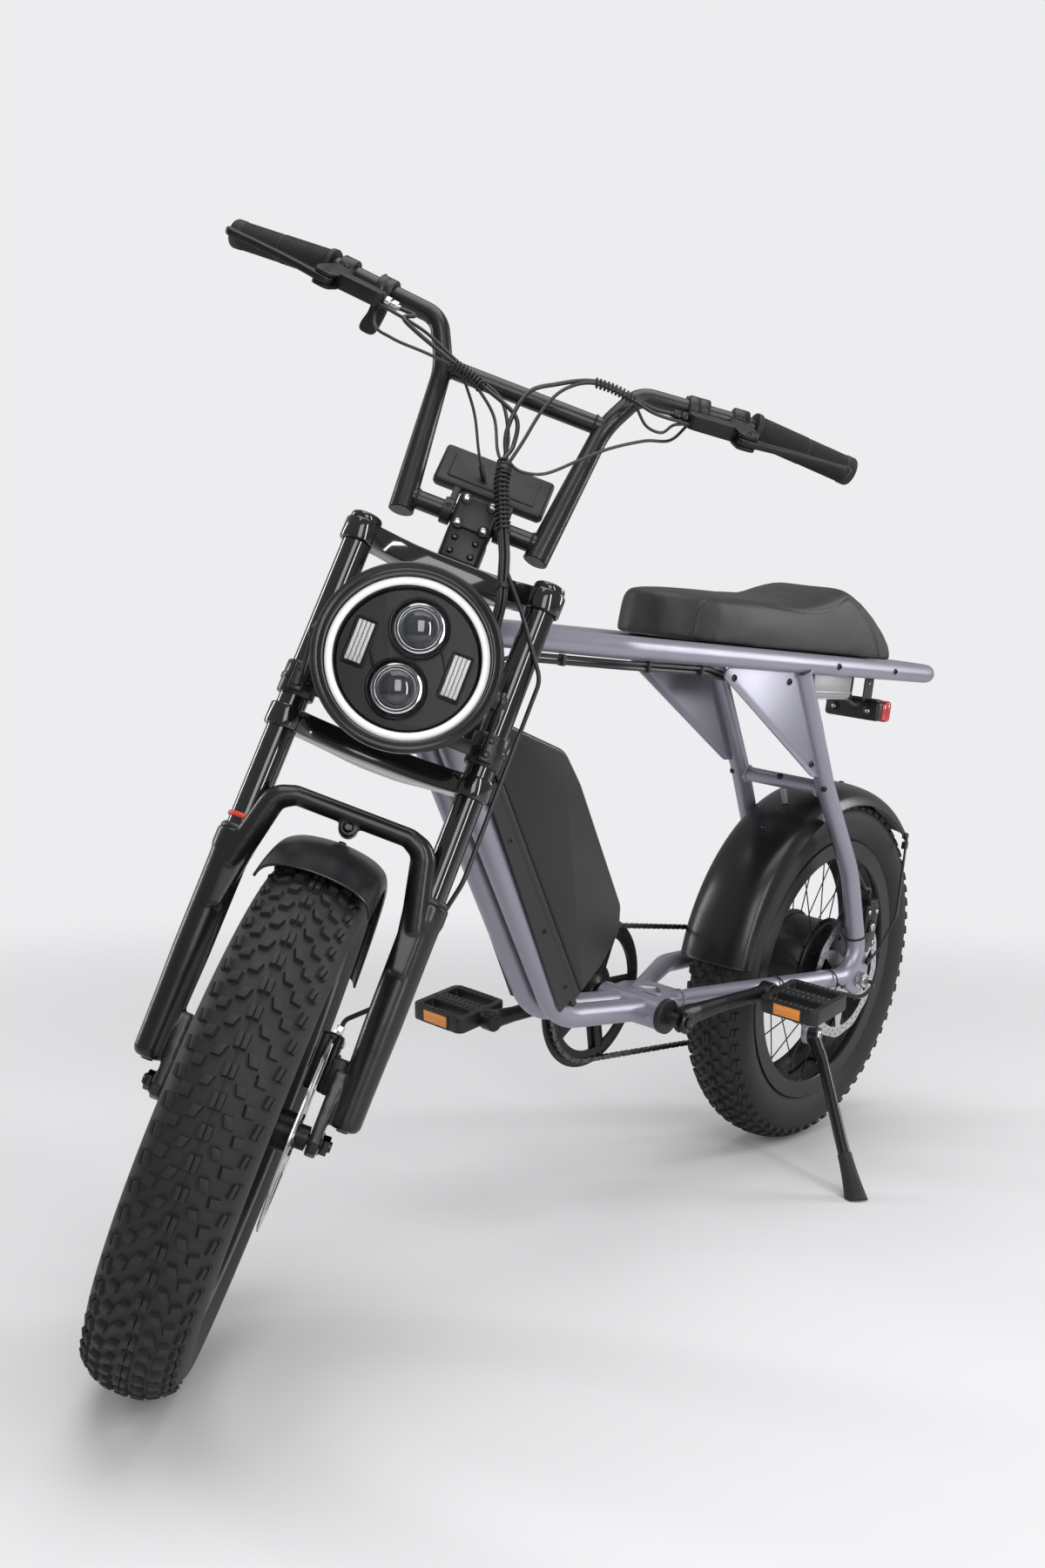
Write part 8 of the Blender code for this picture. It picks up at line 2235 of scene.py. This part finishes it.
# %% Side stand
foot_end = Vector((0.2316, 0.2564, 0.034)) - pivot
leg_way = foot_end.normalized()
STAND = BIKE @ shifted(*pivot)
leg_path = rounded([pin_way * 0.0010 + leg_way * 0.004, leg_way * 0.030 + pin_way * 0.003,
                    foot_end - leg_way * 0.085, foot_end - leg_way * 0.006], (0.03, 0.5), 6)
leg = pipe(leg_path, 0.0084, 28, [0.84, *[0.92 + 0.22 * point.length / foot_end.length
                                          for point in leg_path[1:]]])
knuckle = together(rod(pin_way * -0.0068, pin_way * 0.0078, 0.0123, 32, ease=0.0012), leg,
                   rod(leg_way * 0.006 - pin_way * 0.002, leg_way * 0.040 + pin_way * 0.002, 0.0108, 28,
                       0.0088))
piece("stand_leg", knuckle, satin_black, "kickstand", STAND, 40, ("kickstand_leg",))
pin_head = bolt_at(pin_way * 0.0078, pin_way, 0.0084, 0.0032)
piece("stand_pin_head", pin_head, bright_steel, "kickstand", STAND, 35, part="kickstand_leg")
boot_path = [foot_end + leg_way * (0.006 - 0.003 * k) for k in range(24)]
boot = pipe(boot_path, 0.0165, 32, [0.62 + 0.38 * (1 - k / 23) ** 1.6 for k in range(24)])
moved(boot, STAND)
bmesh.ops.bisect_plane(boot, geom=boot.verts[:] + boot.edges[:] + boot.faces[:], dist=1e-6,
                       plane_co=(0, 0, 0.0002), plane_no=(0, 0, 1), clear_inner=True)
bmesh.ops.holes_fill(boot, edges=[edge for edge in boot.edges if edge.is_boundary], sides=0)
piece("stand_foot", tidied(boot), grip_rubber, "kickstand", None, 40, ("kickstand_leg",))

# %% [markdown]
# ## Cables and hoses
#
# The bicycle holds every cable along its whole length, so each is a bent pipe on a fixed route. Two brake
# hoses and their switch wires leave the levers in wide arcs over the cross bar, and dive with the throttle
# and display wires into one bundle. Where they meet they are wrapped in spiral band, a thin pipe wound
# round the path. More hoses run under the left rail, held by clips, and down the stay.

# %% Cables at the handlebar
def walk(path, spacing):
    """Points at even distances along a path, with the direction there."""
    out = []
    left = 0.0
    for a, b in zip(path, path[1:]):
        run = b - a
        if run.length < 1e-9:
            continue
        at = left
        while at < run.length:
            out.append((a + run * (at / run.length), run.normalized()))
            at += spacing
        left = at - run.length
    return out


def spot_on(path, share):
    """The place and direction at a share of a path's length."""
    spots = walk(path, 0.002)
    return spots[int(len(spots) * share)]


def spiral(path, radius, band, pitch, first=0.0, last=1.0, turns_steps=14):
    """A band wound round a path: a thin pipe on a helix."""
    spots = walk(path, pitch / turns_steps)
    spots = spots[int(len(spots) * first):int(len(spots) * last)]
    coil = []
    side = Vector((1, 0, 0))
    for k, (here, way) in enumerate(spots):
        side = (side - way * side.dot(way)).normalized()
        over = way.cross(side)
        a = math.tau * k / turns_steps
        coil.append(here + (side * math.cos(a) + over * math.sin(a)) * radius)
    return pipe(coil, band, 6)


bundle = rounded([(0.0500, 0.0110, 0.7420), (0.0550, 0.0165, 0.7148), (0.0565, 0.0327, 0.6753),
                  (0.0570, 0.0480, 0.6400), (0.0570, 0.0620, 0.5950), (0.0250, 0.0700, 0.5300)],
                 (0.04, 0.06, 0.06, 0.04), 5)


def strand(path, turn, radius):
    """A line beside a path, at one place round it."""
    side = Vector((1, 0, 0))
    line = []
    for before, here, after in zip([path[0], *path], path, [*path[1:], path[-1]]):
        way = (after - before).normalized()
        side = (side - way * side.dot(way)).normalized()
        line.append(here + (side * math.cos(turn) + way.cross(side) * math.sin(turn)) * radius)
    return line


lever_end = LEVER_HAND @ Vector((-0.0860, 0.0270, 0))
other_end = OTHER_SIDE @ lever_end
perch_end = LEVER_HAND @ Vector((-0.0640, 0.0200, -0.0040))
inward = OTHER_SIDE @ bar_way
throttle_end = THROTTLE @ Vector((0.0085, -0.0160, 0.0))
pod_end = POD @ Vector((0, 0.016, -0.0200))
ROUTES = ((0.0025, [other_end, other_end - inward * 0.018, (0.0300, -0.1500, 0.8600),
                    (0.0300, -0.0834, 0.8350), (0.0320, -0.0600, 0.8275), (0.0350, -0.0400, 0.8190),
                    (0.0400, 0.0028, 0.7988), (0.0450, 0.0125, 0.7662)]),
          (0.0018, [throttle_end, (0.0220, -0.1827, 0.8502), (0.0300, -0.1565, 0.8358),
                    (0.0300, -0.1159, 0.8340), (0.0300, -0.0834, 0.8310), (0.0330, -0.0600, 0.8235),
                    (0.0350, -0.0217, 0.7941), (0.0450, -0.0025, 0.7548)]),
          (0.0020, [OTHER_SIDE @ perch_end, (0.0250, -0.1300, 0.8600), (0.0280, -0.0950, 0.8450),
                    (0.0280, -0.0760, 0.8370), (0.0310, -0.0580, 0.8290), (0.0350, -0.0197, 0.8134),
                    (0.0440, 0.0040, 0.7720)]), (0.0025, [lever_end, lever_end - bar_way * 0.018,
                                                          (0.0300, 0.1139, 0.8728),
                                                          (0.0300, 0.0706, 0.8748),
                                                          (0.0300, 0.0320, 0.8556),
                                                          (0.0350, 0.0049, 0.8301),
                                                          (0.0450, 0.0002, 0.7773)]),
          (0.0020, [perch_end, (0.0320, 0.1450, 0.8640), (0.0320, 0.1139, 0.8700), (0.0320, 0.0706, 0.8715),
                    (0.0300, 0.0428, 0.8545), (0.0350, 0.0283, 0.8223), (0.0450, 0.0206, 0.7717)]),
          (0.0018, [pod_end, (0.0120, 0.1720, 0.8500), (0.0240, 0.1450, 0.8330), (0.0300, 0.1117, 0.8074),
                    (0.0350, 0.0855, 0.7805), (0.0420, 0.0560, 0.7491), (0.0480, 0.0300, 0.7390)]))
cables = []
for k, (radius, points) in enumerate(ROUTES):
    beside = strand(bundle, math.tau * k / len(ROUTES) + 0.5, 0.0044)
    route = eased_line([*points, beside[0]], 10)
    cables.append(pipe([*route, *beside[1:]], radius, 12))
loop_wire = eased_line([perch_end, perch_end - bar_way * 0.016 - Vector((0, 0, 0.006)),
                        (0.0280, 0.1593, 0.8476), (0.0300, 0.1407, 0.8476), (0.0300, 0.1235, 0.8635),
                        (0.0310, 0.1139, 0.8712), (0.0310, 0.0980, 0.8730)], 10)
display_wire = eased_line([(0.0300, -0.0760, 0.8320), (0.0160, -0.0600, 0.8180), (0.0060, -0.0418, 0.7954),
                           (0.0, -0.0229, 0.7592), (-0.0120, -0.0074, 0.7380)], 10)
lamp_wire = eased_line([(0.0250, 0.0700, 0.5320), (0.0360, 0.0520, 0.5080), (0.0560, 0.0260, 0.4950),
                        (0.0700, 0.0100, 0.4880)], 8)
cables += [pipe(path, 0.0017, 10) for path in (loop_wire, lamp_wire)]
front_hose = rounded([(0.0570, 0.0520, 0.6300), (0.0640, 0.0850, 0.5900), (0.0480, 0.1308, 0.5300),
                      (0.0330, 0.1308, 0.4700), (0.0330, 0.1308, 0.4200)], (0.03, 0.03, 0.03), 5)
cables.append(pipe(front_hose, 0.0025, 14))
piece("handlebar_hoses", together(*cables), hose_rubber, "fork_upper", FORK, 60, ("front_cables",))
wire_end = display_wire[-1]
wire_way = (wire_end - display_wire[-4]).normalized()
boot = rod(wire_end - wire_way * 0.015, wire_end, 0.0034, 16, 0.0042, ease=0.0006)
lead = piece("display_lead", together(pipe(display_wire, 0.0017, 10), boot), hose_rubber, None, FORK, 60,
             part="display")
FORK @ (wire_end - wire_way * 0.018)
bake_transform(lead)
wrap_right = eased_line([(0.0296, -0.0850, 0.8340), (0.0315, -0.0600, 0.8268), (0.0345, -0.0430, 0.8180)], 12)
wrap_left = eased_line([(0.0306, 0.1180, 0.8712), (0.0306, 0.0940, 0.8740), (0.0306, 0.0700, 0.8733)], 12)
wraps = [spiral(wrap_right, 0.0062, 0.0012, 0.0046), spiral(wrap_left, 0.0050, 0.0012, 0.0046),
         spiral(bundle, 0.0078, 0.0013, 0.0052, 0.0, 0.36)]
piece("hose_spiral_wraps", together(*wraps), black_plastic, "fork_upper", FORK, 60, part="front_cables")
ties = []
for share in (0.05, 0.62):
    here, way = spot_on(bundle, share)
    ties.append(rod(here - way * 0.0028, here + way * 0.0028, 0.0084, 20, ease=0.0006))
piece("bundle_clamps", together(*ties), black_plastic, "fork_upper", FORK, 35, part="front_cables")
low_hose = rounded([(-0.060, 0.0640, 0.1060), (-0.060, 0.0660, 0.1240), (-0.030, 0.1050, 0.160),
                    (-0.024, 0.1180, 0.240), (-0.006, 0.1308, 0.300), (-0.006, 0.1308, 0.430)],
                   (0.01, 0.03, 0.04, 0.05), 6)
banjo = rod((-0.060, 0.0640, 0.1060), (-0.060, 0.0650, 0.1165), 0.0046, 6, ease=0.0005)
piece("front_brake_hose", pipe(low_hose, 0.0027, 14), hose_rubber, "fork_lower", LOWERS, 60,
      ("front_caliper",))
piece("front_hose_fitting", banjo, bright_steel, "fork_lower", LOWERS, 35, part="front_caliper")

# %% Cables on the frame
strut_behind = -front_edge * (STAY_RADIUS + 0.0035) / (STAY_RADIUS + 0.0008)


def under_rail(x):
    """The height of a hose that hangs just below the seat rail."""
    return rail_height(x) - (RAIL_RADIUS + 0.0026 + 0.0012)


rear_hose = rounded([(0.898, 0.036, 0.745), (0.845, 0.0500, under_rail(0.845)),
                     (0.690, 0.0745, under_rail(0.690)), (0.500, 0.0730, under_rail(0.500)),
                     (0.440, 0.0600, 0.7470), (0.275, 0.0520, 0.7420), (0.240, 0.0515, 0.7350),
                     (0.215, 0.0595, 0.7215), strut_knee + strut_behind + strut_line * 0.10,
                     strut_knee + strut_behind, Vector((0.052, 0.0845, 0.452))
                     + Vector((-0.0165, 0, 0.0060)), (0.0040, 0.0900, 0.4250), (-0.030, 0.0800, 0.4200),
                     (-0.042, 0.0755, 0.4150), (-0.042, 0.0755, 0.4010)],
                    (0.03, 0.1, 0.05, 0.03, 0.03, 0.02, 0.02, 0.02, 0.1, 0.1, 0.02, 0.012, 0.006), 6)
loom = rounded([(0.892, 0.033, 0.738), (0.840, 0.0500, under_rail(0.840) - 0.0062),
                (0.690, 0.0745, under_rail(0.690) - 0.0062), (0.500, 0.0690, under_rail(0.500) - 0.0062),
                (0.440, 0.0520, 0.7400), (0.240, 0.0380, 0.7360), (0.2010, 0.0380, 0.7360)],
               (0.03, 0.1, 0.05, 0.03, 0.02), 6)
gear_cable = rounded([(0.890, 0.024, 0.742), (0.838, 0.0380, under_rail(0.840) - 0.0010),
                      (0.690, 0.0660, under_rail(0.690) - 0.0020),
                      (0.500, 0.0640, under_rail(0.500) - 0.0030), (0.440, 0.0440, 0.7440),
                      (0.240, 0.0180, 0.7360), (0.2010, 0.0180, 0.7360)], (0.03, 0.1, 0.05, 0.03, 0.02), 6)
clips = []
for x, y in ((0.790, 0.0587), (0.640, 0.0741), (0.520, 0.0726)):
    z = under_rail(x)
    clips.append(block((x - 0.0030, y - 0.0048, z - 0.0102), (x + 0.0030, y + 0.0048, z + 0.0034), 0.0016))
piece("frame_hoses", together(pipe(rear_hose, 0.0026, 14), pipe(loom, 0.0030, 14),
                              pipe(gear_cable, 0.0020, 12)), hose_rubber, "frame", BIKE, 60,
      ("rear_cables",))
piece("hose_clips", together(*clips), black_plastic, "frame", BIKE, 35, ("rear_cables",))
motor_cable = rounded([(0, 0.1150, TYRE_RADIUS), (0, 0.1290, TYRE_RADIUS), (0.030, 0.1240, 0.262),
                       (0.075, 0.0980, 0.2710), (0.285, 0.0765, 0.2800), (0.385, 0.0390, 0.2740),
                       (0.430, 0.030, 0.262)], (0.010, 0.03, 0.04, 0.05, 0.03), 6)
plug_at, plug_way = spot_on(motor_cable, 0.52)
plug = together(rod(plug_at - plug_way * 0.020, plug_at + plug_way * 0.014, 0.0068, 24, ease=0.0012),
                rod(plug_at - plug_way * 0.024, plug_at - plug_way * 0.018, 0.0052, 20, ease=0.0008))
plug_ring = rod(plug_at - plug_way * 0.003, plug_at + plug_way * 0.005, 0.0074, 24, ease=0.0010)
piece("motor_cable", together(pipe(motor_cable, 0.0031, 14), plug), hose_rubber, "frame", BIKE, 60,
      ("rear_axle",))
piece("motor_plug_ring", plug_ring, yellow_plug, "frame", BIKE, 35, part="rear_axle")


def cable_tie(centre, way, radius, tail):
    """A nylon tie: a flat band with its lock and a cut-off end."""
    outer = radius + 0.0011
    band = closed_lathe([(radius, -0.0014), (outer, -0.0014), (outer, 0.0014), (radius, 0.0014)], 28)
    lock = block((radius - 0.0006, -0.0024, -0.0024), (radius + 0.0032, 0.0024, 0.0024), 0.0007)
    end = block((radius + 0.0030, -0.0004, -0.0013), (radius + 0.0030 + tail, 0.0006, 0.0013), 0.0003, 1)
    return moved(together(band, lock, end), shifted(*centre), facing(Vector(way).normalized()))


tie_set = [cable_tie((0.0900, 0.0930, 0.2880), (1, -0.08, 0.03), 0.0172, 0.006),
           cable_tie((0.2300, 0.0815, 0.2935), (1, -0.06, 0.03), 0.0172, 0.004),
           cable_tie((0.0198, 0.0932, 0.3506), (-0.052, 0.014, -0.1635), STAY_RADIUS + 0.0003, 0.004)]
piece("cable_ties", together(*tie_set), black_plastic, "frame", BIKE, 35, part="rear_cables")
print("cables done,", len(PIECES), "pieces")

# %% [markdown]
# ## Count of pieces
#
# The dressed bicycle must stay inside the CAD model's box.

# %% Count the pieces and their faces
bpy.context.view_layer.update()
print(len(PIECES), "pieces made,", sum(len(o.data.polygons) for o in PIECES), "faces")
